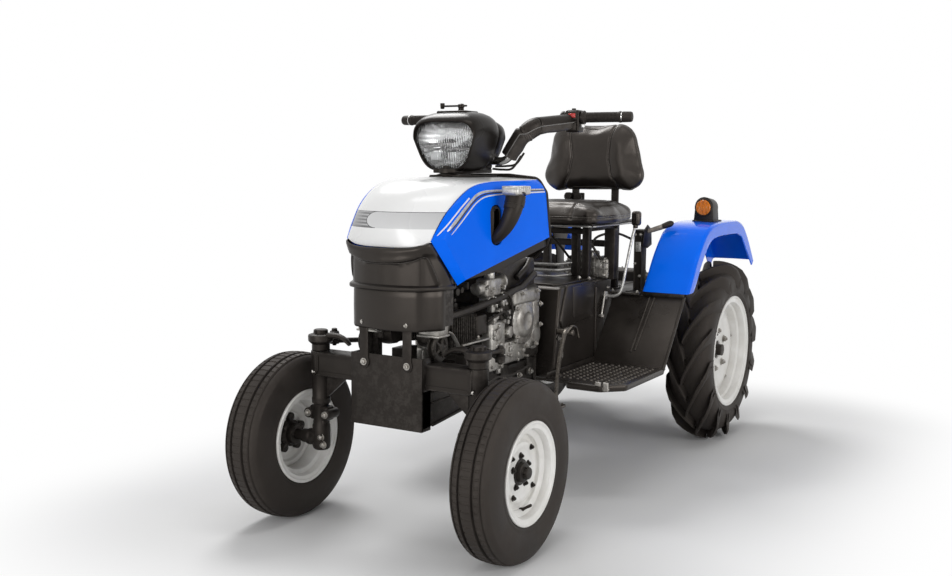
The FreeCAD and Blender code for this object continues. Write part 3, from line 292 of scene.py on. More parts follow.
slotOf = dict(
    chassisBlack="chassis_black", plasticBlack="plastic_black", boltSteel="bar_chrome",
    bodyBlue="body_blue", trimSilver="bar_chrome", barChrome="bar_chrome",
    coverGloss="plastic_black", castIron="cast_iron", screenBlack="plastic_black",
    machinedSteel="pto_steel", pipingGloss="seat_vinyl", fanBelt="plastic_black",
    bronzePedal="chassis_black", trimDark="plastic_black", engineBlack="cast_aluminium",
    podBlack="plastic_black", reflector="lamp_glass", lampShade="lamp_glass",
    trimWhite="lamp_glass", castAluminium="cast_aluminium", knobBlack="chassis_black",
    shroudGrey="plastic_black", shroudPale="plastic_black", gripRubber="grip_rubber",
    studGrey="plastic_black", switchRed="plastic_black", tyreRubber="tyre_rubber",
    rimPaint="rim_paint", hoodWhite="hood_white", seatVinyl="seat_vinyl", lampGlass="lamp_glass",
    amberLens="indicator_amber")


def done(piece, coat, stands=(), angle=35, body="chassis"):
    # smooth by angle, the finish, and what it rides on and stands for
    take(piece)
    bpy.ops.object.shade_smooth_by_angle(angle=math.radians(angle))
    painted(piece, finish[coat])
    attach(piece, body)
    if stands:
        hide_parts(*stands)
    return piece


def pair(piece, coat, stands=(), angle=35, body="chassis"):
    # a left piece and its mirror image; names that end with _ get their side
    for twin, side in ((otherSide(piece), "right"), (piece, "left")):
        names = [word + side if word[-1] == "_" else word for word in (body, *stands)]
        done(twin, coat, names[1:], angle, names[0])


def smoothLine(points, count):
    # count points along a smooth curve through the given ones
    steps = []
    last = len(points) - 1
    for k in range(count):
        t = k / (count - 1) * last
        i = min(int(t), last - 1)
        s = t - i
        a, b = points[max(i - 1, 0)], points[i]
        c, d = points[i + 1], points[min(i + 2, last)]
        steps.append((b * 2 + (c - a) * s + (a * 2 - b * 5 + c * 4 - d) * s ** 2
                      + (b * 3 - a - c * 3 + d) * s ** 3) / 2)
    return steps


# shared effects, each a node group

def node(tree, kind, sockets=None, **settings):
    # a node with its settings; sockets gives values, or outputs to link from
    made = tree.nodes.new("ShaderNode" + kind)
    for word, value in settings.items():
        setattr(made, word, value)
    for word, value in (sockets or {}).items():
        if isinstance(value, bpy.types.NodeSocket):
            tree.links.new(value, made.inputs[word])
        else:
            made.inputs[word].default_value = value
    return made


def calc(tree, operation, a, b=0.0, clamp=False):
    return node(tree, "Math", {0: a, 1: b}, operation=operation, use_clamp=clamp).outputs[0]


def times(tree, a, b, clamp=False):
    return calc(tree, "MULTIPLY", a, b, clamp)


def ranged(tree, value, low, high, toLow=0.0, toHigh=1.0):
    return node(tree, "MapRange", {"Value": value, "From Min": low, "From Max": high,
                                   "To Min": toLow, "To Max": toHigh}).outputs["Result"]


def noise(tree, place, scale, detail=4.0, rough=0.5):
    return node(tree, "TexNoise", {"Vector": place, "Scale": scale, "Detail": detail,
                                   "Roughness": rough}).outputs["Fac"]


def axes(tree, place):
    return node(tree, "SeparateXYZ", {0: place}).outputs


def lengthOf(tree, x, y):
    flat = node(tree, "CombineXYZ", {"X": x, "Y": y}).outputs[0]
    return node(tree, "VectorMath", {0: flat}, operation="LENGTH").outputs["Value"]


def effect(name, inputs, outputs, build):
    # a node group; build gets its tree, its place on the object and its inputs
    group = bpy.data.node_groups.new(name, "ShaderNodeTree")
    for word, value in inputs.items():
        socket = group.interface.new_socket(word, in_out="INPUT", socket_type="NodeSocketFloat")
        socket.default_value = value
    for word in outputs:
        group.interface.new_socket(word, in_out="OUTPUT", socket_type="NodeSocketFloat")
    given, put = group.nodes.new("NodeGroupInput"), group.nodes.new("NodeGroupOutput")
    place = node(group, "TexCoord").outputs["Object"]
    for word, value in zip(outputs, build(group, place, given.outputs)):
        group.links.new(value, put.inputs[word])
    return group


def grain(tree, place, given):
    # fine moulded grain over a slower unevenness
    fine = noise(tree, place, given["Scale"], 2.0)
    slow = noise(tree, place, given["Waves"], 1.0)
    return [calc(tree, "ADD", times(tree, fine, 0.5), slow)]


def wear(tree, place, given):
    # rubbed corners, broken up by noise
    edge = ranged(tree, node(tree, "NewGeometry").outputs["Pointiness"], 0.53, 0.62)
    broken = ranged(tree, noise(tree, place, given["Scale"], 5.0, 0.7), 0.45, 0.62)
    return [times(tree, times(tree, edge, broken), given["Amount"], True)]


def dust(tree, place, given):
    # pale dust that settles on what faces up and in hollows
    facing = node(tree, "NewGeometry").outputs
    lying = ranged(tree, axes(tree, facing["Normal"])["Z"], -0.2, 1.0, 0.25, 1.0)
    hollow = ranged(tree, facing["Pointiness"], 0.5, 0.42)
    patchy = ranged(tree, noise(tree, place, given["Scale"], 6.0, 0.65), 0.38, 0.7)
    mask = calc(tree, "ADD", times(tree, lying, patchy), times(tree, hollow, 0.6))
    return [times(tree, mask, given["Amount"], True)]


def leather(tree, place, given):
    # pebbled cells with fine creases between them
    bent = node(tree, "TexNoise", {"Vector": place, "Scale": 60.0, "Detail": 2.0})
    shifted = node(tree, "VectorMath", {0: bent.outputs["Color"], "Scale": 0.004},
                   operation="SCALE").outputs[0]
    moved = node(tree, "VectorMath", {0: place, 1: shifted}, operation="ADD").outputs[0]
    cells = node(tree, "TexVoronoi", {"Vector": moved, "Scale": given["Scale"]},
                 feature="DISTANCE_TO_EDGE").outputs["Distance"]
    pebble = ranged(tree, cells, 0.0, 0.25)
    fold = ranged(tree, noise(tree, moved, 18.0, 7.0, 0.6), 0.47, 0.53)
    return [calc(tree, "ADD", pebble, times(tree, fold, 0.25)), fold]


def sandCast(tree, place, given):
    # sand-cast skin: lumps and pits, and a few darker stains
    return [noise(tree, place, given["Scale"], 4.0, 0.7),
            ranged(tree, noise(tree, place, 24.0, 5.0, 0.7), 0.42, 0.66)]


fineGrain = effect("fineGrain", {"Scale": 900.0, "Waves": 30.0}, ["Height"], grain)
edgeWear = effect("edgeWear", {"Scale": 40.0, "Amount": 0.5}, ["Mask"], wear)
settledDust = effect("settledDust", {"Scale": 14.0, "Amount": 0.3}, ["Mask"], dust)
vinylGrain = effect("vinylGrain", {"Scale": 420.0}, ["Height", "Crease"], leather)
castSkin = effect("castSkin", {"Scale": 260.0}, ["Height", "Stain"], sandCast)


def placed(tree, group, **values):
    made = tree.nodes.new("ShaderNodeGroup")
    made.node_tree = group
    for word, value in values.items():
        made.inputs[word].default_value = value
    return made.outputs


def blended(tree, mask, a, b):
    # colour a, changing to b where the mask is 1
    made = node(tree, "Mix", {"Factor": mask}, data_type="RGBA")
    for place, value in ((6, a), (7, b)):
        if isinstance(value, bpy.types.NodeSocket):
            tree.links.new(value, made.inputs[place])
        else:
            made.inputs[place].default_value = (*value, 1)
    return made.outputs[2]


def newMaterial(name):
    # its node tree, its shader's inputs and the place on the object
    material = bpy.data.materials.new(name)
    material.use_nodes = True
    tree = material.node_tree
    return tree, tree.nodes["Principled BSDF"].inputs, node(tree, "TexCoord").outputs["Object"]


def wired(tree, shader, colour, gloss, height, bump, fixed, deep=0.002):
    # colour, roughness and relief linked to the shader, the rest set on its own sockets
    relief = node(tree, "Bump", {"Height": height, "Strength": bump, "Distance": deep})
    for word, value in (("Base Color", colour), ("Roughness", gloss),
                        ("Normal", relief.outputs["Normal"])):
        tree.links.new(value, shader[word])
    for word, value in fixed.items():
        shader[word].default_value = value


dustColour = (0.24, 0.215, 0.185)
warmSheen = (1.0, 0.88, 0.78, 1)

# base and second colour, roughness from low to high, then scales and what lies on the finish;
# clouds, grain and waves are repeats a metre
finishes = {
    "tyreRubber": dict(base=(0.0165, 0.0138, 0.0125), second=(0.029, 0.0245, 0.022),
                       rough=(0.5, 0.72), clouds=9, grain=700, waves=60, bump=0.10, wear=0.35,
                       worn=(0.075, 0.068, 0.062), dust=0.08, specular=0.28),
    "rimPaint": dict(base=(0.82, 0.81, 0.785), second=(0.74, 0.725, 0.69), rough=(0.28, 0.42),
                     clouds=16, grain=300, waves=40, bump=0.02, wear=0.35, worn=(0.40, 0.36, 0.32),
                     dust=0.18, coat=0.25),
    "chassisBlack": dict(base=(0.0080, 0.0068, 0.0062), second=(0.0155, 0.0132, 0.0120),
                         rough=(0.34, 0.5), clouds=12, grain=520, waves=50, bump=0.05, wear=0.5,
                         worn=(0.12, 0.11, 0.10), dust=0.04, specular=0.24),
    "plasticBlack": dict(base=(0.0085, 0.0070, 0.0062), second=(0.0140, 0.0118, 0.0105),
                         rough=(0.36, 0.47), clouds=7, grain=1500, waves=14, bump=0.05,
                         worn=(0.06, 0.054, 0.048), dust=0.03, specular=0.24),
    "podBlack": dict(base=(0.0062, 0.0052, 0.0047), second=(0.0095, 0.0080, 0.0072),
                     rough=(0.24, 0.33), clouds=7, grain=1500, waves=14, bump=0.03,
                     worn=(0.05, 0.045, 0.04), dust=0.02, specular=0.16),
    "screenBlack": dict(base=(0.0085, 0.0072, 0.0066), second=(0.0125, 0.0108, 0.0098),
                        rough=(0.27, 0.36), clouds=7, grain=900, waves=12, bump=0.02, wear=0.2,
                        worn=(0.06, 0.055, 0.05), dust=0.03, specular=0.36),
    "gripRubber": dict(base=(0.0095, 0.0082, 0.0075), second=(0.0155, 0.0135, 0.012),
                       rough=(0.5, 0.66), clouds=30, grain=1500, waves=90, bump=0.08, wear=0.4,
                       worn=(0.06, 0.056, 0.05), dust=0.04, specular=0.28),
    "barChrome": dict(base=(0.74, 0.74, 0.73), second=(0.60, 0.59, 0.57), rough=(0.09, 0.22),
                      clouds=26, grain=600, waves=80, bump=0.012, wear=0.15,
                      worn=(0.5, 0.46, 0.42), dust=0.06, metal=1.0),
    "boltSteel": dict(base=(0.46, 0.44, 0.41), second=(0.27, 0.25, 0.225), rough=(0.28, 0.5),
                      clouds=60, grain=800, waves=160, bump=0.05, wear=0.4,
                      worn=(0.62, 0.60, 0.57), dust=0.12, metal=1.0),
    "bronzePedal": dict(base=(0.13, 0.115, 0.10), second=(0.08, 0.070, 0.062), rough=(0.34, 0.52),
                        clouds=40, grain=500, waves=90, bump=0.06, wear=0.5,
                        worn=(0.42, 0.37, 0.31), dust=0.12, metal=1.0),
    "castAluminium": dict(base=(0.43, 0.415, 0.385), second=(0.17, 0.155, 0.14),
                          rough=(0.33, 0.55), clouds=22, grain=260, waves=70, bump=0.22, wear=0.5,
                          worn=(0.66, 0.645, 0.61), dust=0.10, metal=0.9),
    "engineBlack": dict(base=(0.0085, 0.0075, 0.0068), second=(0.021, 0.0185, 0.0165),
                        rough=(0.38, 0.6), clouds=24, grain=260, waves=70, bump=0.2, wear=0.6,
                        worn=(0.12, 0.11, 0.10), dust=0.05, specular=0.3),
    "castIron": dict(base=(0.013, 0.0112, 0.010), second=(0.028, 0.0245, 0.022),
                     rough=(0.42, 0.62), clouds=18, grain=220, waves=60, bump=0.24, wear=0.5,
                     worn=(0.12, 0.108, 0.096), dust=0.08, specular=0.3),
    "machinedSteel": dict(base=(0.52, 0.50, 0.47), second=(0.37, 0.35, 0.325), rough=(0.2, 0.36),
                          clouds=50, grain=900, waves=200, bump=0.03, worn=(0.68, 0.66, 0.63),
                          dust=0.06, metal=1.0),
    "bodyBlue": dict(base=(0.0, 0.150, 0.94), second=(0.0, 0.134, 0.88), rough=(0.2, 0.27),
                     clouds=4, grain=420, waves=22, bump=0.012, wear=0.06, worn=(0.02, 0.05, 0.2),
                     dust=0.012, specular=0.08, grazing=0.9),
    "trimSilver": dict(base=(0.55, 0.54, 0.52), second=(0.36, 0.35, 0.335), rough=(0.26, 0.4),
                       clouds=90, grain=700, waves=200, bump=0.05, worn=(0.75, 0.74, 0.72),
                       dust=0.05, metal=0.6),
    "trimWhite": dict(base=(0.76, 0.76, 0.75), second=(0.70, 0.70, 0.69), rough=(0.28, 0.36),
                      clouds=20, grain=500, waves=60, bump=0.01, wear=0.1, worn=(0.5, 0.5, 0.5),
                      dust=0.03, specular=0.45),
    "trimDark": dict(base=(0.02, 0.0185, 0.018), second=(0.045, 0.043, 0.041), rough=(0.3, 0.42),
                     clouds=300, grain=600, waves=100, bump=0.02, wear=0.1, worn=(0.2, 0.2, 0.2),
                     dust=0.02, specular=0.4),
    "switchRed": dict(base=(0.50, 0.012, 0.008), second=(0.40, 0.010, 0.006), rough=(0.25, 0.4),
                      clouds=60, grain=900, waves=60, bump=0.02, wear=0.2, worn=(0.65, 0.2, 0.15),
                      dust=0.03),
    "pipingGloss": dict(base=(0.020, 0.018, 0.016), second=(0.034, 0.031, 0.028),
                        rough=(0.22, 0.34), clouds=60, grain=700, waves=90, bump=0.05, wear=0.2,
                        worn=(0.10, 0.09, 0.08), dust=0.04, specular=0.6),
    "coverGloss": dict(base=(0.0095, 0.0078, 0.0068), second=(0.0160, 0.0134, 0.0118),
                       rough=(0.24, 0.36), clouds=6, grain=1100, waves=16, bump=0.03, wear=0.35,
                       worn=(0.07, 0.062, 0.055), dust=0.035, specular=0.34),
    "knobBlack": dict(base=(0.0070, 0.0062, 0.0058), second=(0.0110, 0.0098, 0.009),
                      rough=(0.12, 0.22), clouds=30, grain=900, waves=40, bump=0.01, wear=0.2,
                      worn=(0.05, 0.046, 0.042), dust=0.02),
    "studGrey": dict(base=(0.030, 0.026, 0.023), second=(0.060, 0.053, 0.047), rough=(0.28, 0.45),
                     clouds=30, grain=900, waves=60, bump=0.04, wear=0.6, worn=(0.16, 0.145, 0.13),
                     dust=0.08, specular=0.4),
    "shroudGrey": dict(base=(0.052, 0.046, 0.042), second=(0.034, 0.030, 0.027),
                       rough=(0.42, 0.58), clouds=40, grain=900, waves=60, bump=0.06, wear=0.4,
                       worn=(0.12, 0.11, 0.10), dust=0.05, specular=0.3),
    "shroudPale": dict(base=(0.16, 0.15, 0.14), second=(0.10, 0.094, 0.088), rough=(0.4, 0.55),
                       clouds=50, grain=900, waves=60, bump=0.03, worn=(0.2, 0.19, 0.18),
                       dust=0.05, specular=0.4),
    "reflector": dict(base=(0.80, 0.80, 0.79), second=(0.52, 0.51, 0.50), rough=(0.06, 0.2),
                      clouds=44, grain=300, waves=120, bump=0.05, wear=0.0, worn=(0.5, 0.5, 0.5),
                      dust=0.02, metal=1.0),
    "lampShade": dict(base=(0.10, 0.095, 0.09), second=(0.30, 0.29, 0.28), rough=(0.15, 0.35),
                      clouds=50, grain=300, waves=120, bump=0.04, wear=0.2, worn=(0.5, 0.5, 0.5),
                      dust=0.02, metal=0.7),
    "fanBelt": dict(base=(0.012, 0.011, 0.0105), second=(0.02, 0.018, 0.017), rough=(0.5, 0.7),
                    clouds=60, grain=900, waves=200, bump=0.1, wear=0.4, worn=(0.06, 0.055, 0.05),
                    dust=0.08, specular=0.3),
}


def dusted(tree, colour, scale, amount):
    laid = placed(tree, settledDust, Scale=scale, Amount=amount)["Mask"]
    return laid, blended(tree, laid, colour, dustColour)


def makeFinish(name, base, second, rough, clouds, grain, waves, bump, worn, dust, specular=0.5,
               wear=0.3, metal=0.0, coat=0.0, grazing=0.0):
    tree, shader, place = newMaterial(name)
    drift = ranged(tree, noise(tree, place, float(clouds), 4.0, 0.6), 0.36, 0.64)
    colour = blended(tree, drift, base, second)
    colour = blended(tree, placed(tree, edgeWear, Scale=clouds * 5, Amount=wear)["Mask"], colour,
                     worn)
    laid, colour = dusted(tree, colour, clouds * 0.9, dust)
    gloss = ranged(tree, drift, 0.0, 1.0, rough[0], rough[1])
    gloss = calc(tree, "ADD", gloss, times(tree, laid, 0.5), True)
    if metal:
        shade = times(tree, calc(tree, "SUBTRACT", 1.0, laid, True), metal)
        tree.links.new(shade, shader["Metallic"])
    if bump > 0.15:
        skin = placed(tree, castSkin, Scale=grain)
    else:
        skin = placed(tree, fineGrain, Scale=grain, Waves=waves)
    fixed = {"Specular IOR Level": specular, "Coat Weight": coat, "Coat Roughness": 0.12}
    if max(base) < 0.06:
        fixed["Specular Tint"] = warmSheen
    wired(tree, shader, colour, gloss, skin["Height"], bump, fixed)
    if grazing:
        # the clear coat only tells where the surface is seen nearly edge on
        edgeOn = node(tree, "LayerWeight", {"Blend": 0.5}).outputs["Facing"]
        tree.links.new(ranged(tree, edgeOn, 0.55, 0.86, 0.0, grazing), shader["Coat Weight"])
        shader["Coat IOR"].default_value = 1.9
    return bpy.data.materials[name]


finish = {name: makeFinish(name, **values) for name, values in finishes.items()}


# the white hood, with a plain grey badge band across its nose
badge = dict(low=0.8005, high=0.8415, rearEnd=0.045, line=0.0014, roundFrom=-0.023,
             roundEnd=-0.058)


def hoodWhiteFinish(name):
    tree, shader, place = newMaterial(name)
    x, y, z = (axes(tree, place)[k] for k in "XYZ")
    drift = noise(tree, place, 5.0)
    colour = blended(tree, drift, (0.86, 0.86, 0.855), (0.83, 0.83, 0.825))

    def less(value, limit):
        return calc(tree, "LESS_THAN", value, limit)

    def between(value, low, high):
        return times(tree, calc(tree, "GREATER_THAN", value, low), less(value, high))

    # the band: between two heights, on the nose only
    high, low, line = badge["high"], badge["low"], badge["line"]
    nose = less(y, frontY + badge["rearEnd"])
    band = times(tree, between(z, low, high), nose)
    # a plain plate with a round end on the right of the nose, open toward the left
    rise = (high - low) / 2
    across = calc(tree, "MAXIMUM", calc(tree, "SUBTRACT", badge["roundFrom"], x), 0.0)
    across = times(tree, across, rise / (badge["roundFrom"] - badge["roundEnd"]))
    level = calc(tree, "SUBTRACT", z, (high + low) / 2)
    reach = lengthOf(tree, across, level)
    inside = times(tree, less(reach, rise), band)
    outside = calc(tree, "SUBTRACT", band, inside, True)
    # beyond its round end fine level lines on grey
    stripes = calc(tree, "SINE", times(tree, z, 780.0))
    lined = blended(tree, ranged(tree, stripes, -0.2, 0.5), (0.17, 0.17, 0.175),
                    (0.52, 0.52, 0.525))
    lined = blended(tree, ranged(tree, x, -0.05, -0.12), lined, (0.20, 0.20, 0.205))
    colour = blended(tree, outside, colour, lined)
    silver = blended(tree, ranged(tree, x, -0.04, 0.13), (0.66, 0.66, 0.665), (0.47, 0.47, 0.475))
    silver = blended(tree, ranged(tree, z, high, low, 0.0, 0.35), silver, (0.74, 0.74, 0.74))
    colour = blended(tree, inside, colour, silver)
    upper = calc(tree, "MAXIMUM", calc(tree, "GREATER_THAN", level, rise * 0.5),
                 calc(tree, "GREATER_THAN", across, 0.0))
    outline = times(tree, times(tree, between(reach, rise - line, rise), upper), nose)
    colour = blended(tree, outline, colour, (0.05, 0.05, 0.055))
    edges = times(tree, outside, calc(tree, "ADD", between(z, high - line, high),
                                      between(z, low, low + line)))
    colour = blended(tree, edges, colour, (0.07, 0.07, 0.075))
    laid, colour = dusted(tree, colour, 8.0, 0.03)
    wired(tree, shader, colour, ranged(tree, drift, 0.3, 0.7, 0.22, 0.32),
          placed(tree, fineGrain, Scale=350.0)["Height"], 0.015,
          {"Coat Weight": 0.3, "Coat Roughness": 0.1})


def vinylFinish(name):
    tree, shader, place = newMaterial(name)
    drift = noise(tree, place, 9.0, 5.0)
    skin = placed(tree, vinylGrain, Scale=430.0)
    colour = blended(tree, drift, (0.0090, 0.0074, 0.0066), (0.0150, 0.0124, 0.0110))
    colour = blended(tree, times(tree, skin["Crease"], 0.12), colour, (0.036, 0.031, 0.027))
    worn = placed(tree, edgeWear, Scale=50.0, Amount=0.25)["Mask"]
    colour = blended(tree, worn, colour, (0.06, 0.053, 0.047))
    laid, colour = dusted(tree, colour, 10.0, 0.04)
    wired(tree, shader, colour, ranged(tree, drift, 0.3, 0.7, 0.27, 0.37), skin["Height"], 0.12,
          {"Specular Tint": warmSheen, "Specular IOR Level": 0.42, "Coat Weight": 0.08,
           "Coat Roughness": 0.3}, 0.0012)


def lensFinish(name, colour, density, ribs, roughness, clear):
    # moulded glass or plastic lens with upright flutes
    tree, shader, place = newMaterial(name)
    wave = calc(tree, "SINE", times(tree, axes(tree, place)["X"], ribs))
    spots = noise(tree, place, 120.0, 2.0)
    tone = blended(tree, ranged(tree, spots, 0.35, 0.65), colour,
                   tuple(part * density for part in colour))
    wired(tree, shader, tone, ranged(tree, spots, 0.3, 0.7, roughness, roughness + 0.06),
          calc(tree, "ADD", wave, spots), 0.3, {"Transmission Weight": clear, "IOR": 1.45}, 0.0015)


hoodWhiteFinish("hoodWhite")
vinylFinish("seatVinyl")
lensFinish("lampGlass", (0.95, 0.96, 0.97), 0.97, 900.0, 0.02, 1.0)
lensFinish("amberLens", (0.92, 0.24, 0.008), 0.7, 500.0, 0.12, 0.2)
for name in ("hoodWhite", "seatVinyl", "lampGlass", "amberLens"):
    finish[name] = bpy.data.materials[name]
print("materials ready")

# bolts and nuts, modelled once and copied

def hexNut(name):
    # one hexagon nut on a washer with its stud, 10 mm across the flats, standing on Z = 0
    parts = []
    for sides, radius, high, middle, width, segments in (
            (6, 0.0058, 0.005, 0.0037, 0.7, 2), (20, 0.0082, 0.0012, 0.0006, 0.3, 1),
            (14, 0.0031, 0.009, 0.0045, 0.5, 1)):
        quiet()
        bpy.ops.mesh.primitive_cylinder_add(vertices=sides, radius=radius, depth=high,
                                            location=(0, 0, middle))
        parts.append(called(name))
        bpy.ops.object.transform_apply(location=True, rotation=True, scale=True)
        soften(parts[-1], width, segments, 50)
    return joined(name, parts)


nutModel = hexNut("nutModel")


def boltsAt(name, places, size=1.0, turned=0.0):
    # places are (point, direction out of the surface)
    bolts = []
    for number, (point, out) in enumerate(places):
        lean = Vector(out).normalized().to_track_quat("Z", "Y").to_matrix().to_4x4()
        spin = Matrix.Rotation(turned + number * 0.7, 4, "Z")
        bolts.append(copied(nutModel, f"{name}.{number}", Matrix.Translation(point) @ lean @ spin
                            @ Matrix.Scale(size, 4)))
    return joined(name, bolts)


def bolted(name, places, size, coat="boltSteel", body="chassis"):
    return done(boltsAt(name, places, size), coat, angle=40, body=body)


# front wheels

frontTyre = dict(radius=225, half=56, bead=114, steps=216, sipeEvery=3, sipeDeep=1.6,
                 grooveDeep=8.5, centreRib=14, grooveWide=8, outerRib=34)
frontRim = dict(half=47, bead=113.6, flange=128, well=92, disc=62, discOut=22, sheet=3,
                clampBolts=4, clampRadius=84, hubNuts=5, hubRadius=45)


def frontTyreLeft(centre):
    t = frontTyre
    r, h, g = t["radius"], t["half"], t["grooveDeep"]
    a = t["centreRib"]
    b = a + t["grooveWide"]
    c = t["outerRib"]
    outer = [(0, r), (a - 1, r - 0.5), (a, r - 1.5), (a + 1.5, r - g), (b - 1.5, r - g),
             (b, r - 2.2), (b + 1, r - 1.4), (c, r - 3.4), (c + 1, r - 4.6), (c + 2.4, r - 9),
             (c + 5.2, r - 9.6), (c + 6.4, r - 6.6), (c + 12, r - 10.5), (h - 7, r - 16.5),
             (h - 4.6, r - 19.5), (h - 3.6, r - 24), (h - 1.5, r - 34), (h, r - 50),
             (h - 0.4, r - 66), (h - 2.6, r - 80), (h - 3.6, r - 86), (h - 3.0, r - 88.5),
             (h - 3.6, r - 91), (h - 6.2, r - 97), (h - 7.6, t["bead"] + 13.6),
             (h - 9.4, t["bead"] + 8), (h - 9.6, t["bead"])]
    profile = outer + [(-x, rr) for x, rr in reversed(outer[1:])]
    tyre = turnedPiece("tyreFrontLeft", centre, (1, 0, 0), profile, t["steps"])

    # fine slits across the ribs
    def onRib(middle, normal):
        level = middle - centre
        reach = math.hypot(level.y, level.z) * 1000
        turnNumber = int(round((math.atan2(level.z, level.y) / math.tau * t["steps"]) - 0.5))
        across = abs(level.x) * 1000
        flat = across < a - 0.8 or b < across < c
        return flat and reach > r - 4 and turnNumber % t["sipeEvery"] == 0

    pick(tyre, "FACE", onRib)
    bpy.ops.mesh.inset(thickness=0.0011, depth=-t["sipeDeep"] / 1000)
    quiet()
    return tyre


def frontRimLeft(centre):
    m = frontRim
    h, f, b, w = m["half"], m["flange"], m["bead"], m["well"]
    o, s = m["discOut"], m["sheet"]
    profile = [
        # outer flange with its rolled lip, then the barrel from the outside in
        (h - 1, b), (h - 1, f - 6), (h + 0.5, f - 2.2), (h + 3.2, f - 0.4), (h + 6.2, f - 0.6),
        (h + 8, f - 3), (h + 7.6, f - 6), (h + 5, f - 7.4), (h + 3.4, f - 9.6), (h + 2.4, b - 4),
        (h - 2, b - 6.4), (h - 14, b - 8), (h - 18, w + 3), (o + 4, w), (o - 3, w - 0.6),
        # the disc: a raised ring, a soft step, a flat middle
        (o - 5.5, w - 3), (o - 6, w - 8), (o - 3.5, w - 14), (o + 3, w - 19), (o + 4.6, w - 24),
        (o + 4, m["disc"]), (o + 1, m["disc"] - 5), (o - 0.5, m["disc"] - 9), (o - 0.5, 24),
        (o - 0.5 - s, 24), (o - 0.5 - s, m["disc"] - 9), (o - 2 - s, m["disc"] - 5),
        (o + 1 - s, m["disc"]), (o + 1.6 - s, w - 24), (o - 0.5 - s, w - 18),
        (o - 7.5 - s, w - 13), (o - 9.5 - s, w - 7), (o - 9 - s, w - 2), (o - 7 - s, w - 0.2),
        # the inner barrel and flange
        (-22, w), (-h + 18, w + 3), (-h + 14, b - 8), (-h + 2, b - 6.4), (-h - 2.4, b - 4),
        (-h - 3.4, b + 4), (-h - 4.4, f - 9), (-h - 7, f - 8), (-h - 8, f - 4),
        (-h - 6.2, f - 0.6), (-h - 3.2, f - 0.4), (-h - 0.5, f - 2.2), (-h + 1, f - 6),
        (-h + 1, b), (-h + 4, b - 2.6), (-h + 15, b - 4.6), (-h + 20, w + 3.4), (h - 20, w + 3.4),
        (h - 15, b - 4.6), (h - 4, b - 2.6)]
    return turnedPiece("rimFrontLeft", centre, (1, 0, 0), profile, 96)


def frontHubLeft(centre):
    # castle nut, dust cap, hub flange outside the disc and the lobed flange inside it
    m = frontRim
    o = m["discOut"]
    outside = turnedPiece("hubFrontLeft", centre, (1, 0, 0), [
        (o - 0.4, 33), (o + 2.2, 32), (o + 3, 27), (o + 9, 25.5), (o + 12, 24.5), (o + 13.5, 22),
        (o + 14, 17), (o + 14.8, 16), (o + 22, 15.4), (o + 25, 13.5), (o + 26, 9), (o + 26.2, 0.2),
        (o - 0.4, 0.2)], 40)
    pieces = [outside]
    # slots of the castle nut
    def inSlot(middle, normal):
        away = middle - centre
        return abs(away.x * 1000 - o - 18.4) < 2 and math.cos(6 * math.atan2(away.z, away.y)) > 0.6

    pressed(outside, inSlot, 0.0006, -0.004)
    for k in range(5):
        angle = math.radians(18 + 72 * k)
        aside = Vector((0, math.cos(angle), math.sin(angle)))
        lobe = rod(f"lobe.{k}", centre + Vector(((o - 18) / 1000, 0, 0)) + aside * 0.045,
                   centre + Vector(((o - 4) / 1000, 0, 0)) + aside * 0.045, 12, 1.5, 20)
        arm = rod(f"lobeArm.{k}", centre + Vector(((o - 12) / 1000, 0, 0)) + aside * 0.012,
                  centre + Vector(((o - 12) / 1000, 0, 0)) + aside * 0.046, 9, 0.8, 12)
        pieces += [lobe, arm]
    inner = turnedPiece("hubInside", centre, (1, 0, 0), [
        (o - 18, 36), (o - 20, 34), (o - 22, 30), (-12, 29), (-15, 27), (-16, 16), (o - 4, 16),
        (o - 4, 36)], 40)
    return joined("hubFrontLeft", pieces + [inner])


def wheelBolts(name, centre, side, rings):
    # rings: (along the axle, radius, count, first angle, size)
    places = []
    for along, radius, count, first, size in rings:
        for k in range(count):
            angle = math.radians(first + 360 * k / count)
            spot = Vector((side * along / 1000, math.cos(angle) * radius / 1000,
                           math.sin(angle) * radius / 1000))
            places.append((centre + spot, (side, 0, 0), size))
    bolts = [boltsAt(f"{name}.{k}", [place[:2]], place[2], k * 0.9)
             for k, place in enumerate(places)]
    return joined(name, bolts)


def valveStem(name, centre, side, along, radius, angle):
    aside = Vector((0, math.cos(angle), math.sin(angle)))
    foot = centre + Vector((side * along / 1000, 0, 0)) + aside * (radius / 1000)
    out = Vector((side, 0, 0)) * 0.9 - aside * 0.55
    stem = turnedPiece(name, foot, out,
                       [(-3, 0.2), (-3, 6), (2, 6.4), (6, 5), (10, 3.8), (22, 3.4), (22.5, 4),
                        (33, 3.8), (35, 2.6), (35.2, 0.2)], 16)
    return stem


frontCentreLeft = Vector((0.3415, frontY, 0.225))
tyreLeft = frontTyreLeft(frontCentreLeft)
rimLeft = frontRimLeft(frontCentreLeft)
hubLeft = frontHubLeft(frontCentreLeft)
nutsLeft = wheelBolts("nutsFrontLeft", frontCentreLeft, 1, [
    (frontRim["discOut"] - 0.5, frontRim["hubRadius"] - 5, frontRim["hubNuts"], 18, 1.05),
    (frontRim["discOut"] + 4.6, frontRim["clampRadius"] - 15, frontRim["clampBolts"], 50, 0.95)])
stemLeft = valveStem("valveFrontLeft", frontCentreLeft, 1, 22, 96, math.radians(-88))
for piece, coat, stands in ((tyreLeft, "tyreRubber", ["front_tyre_"]),
                            (rimLeft, "rimPaint", ["front_rim_"]), (hubLeft, "chassisBlack", []),
                            (nutsLeft, "chassisBlack", []), (stemLeft, "tyreRubber", [])):
    pair(piece, coat, stands, 30, "front_wheel_")
print("front wheels")


# rear wheels

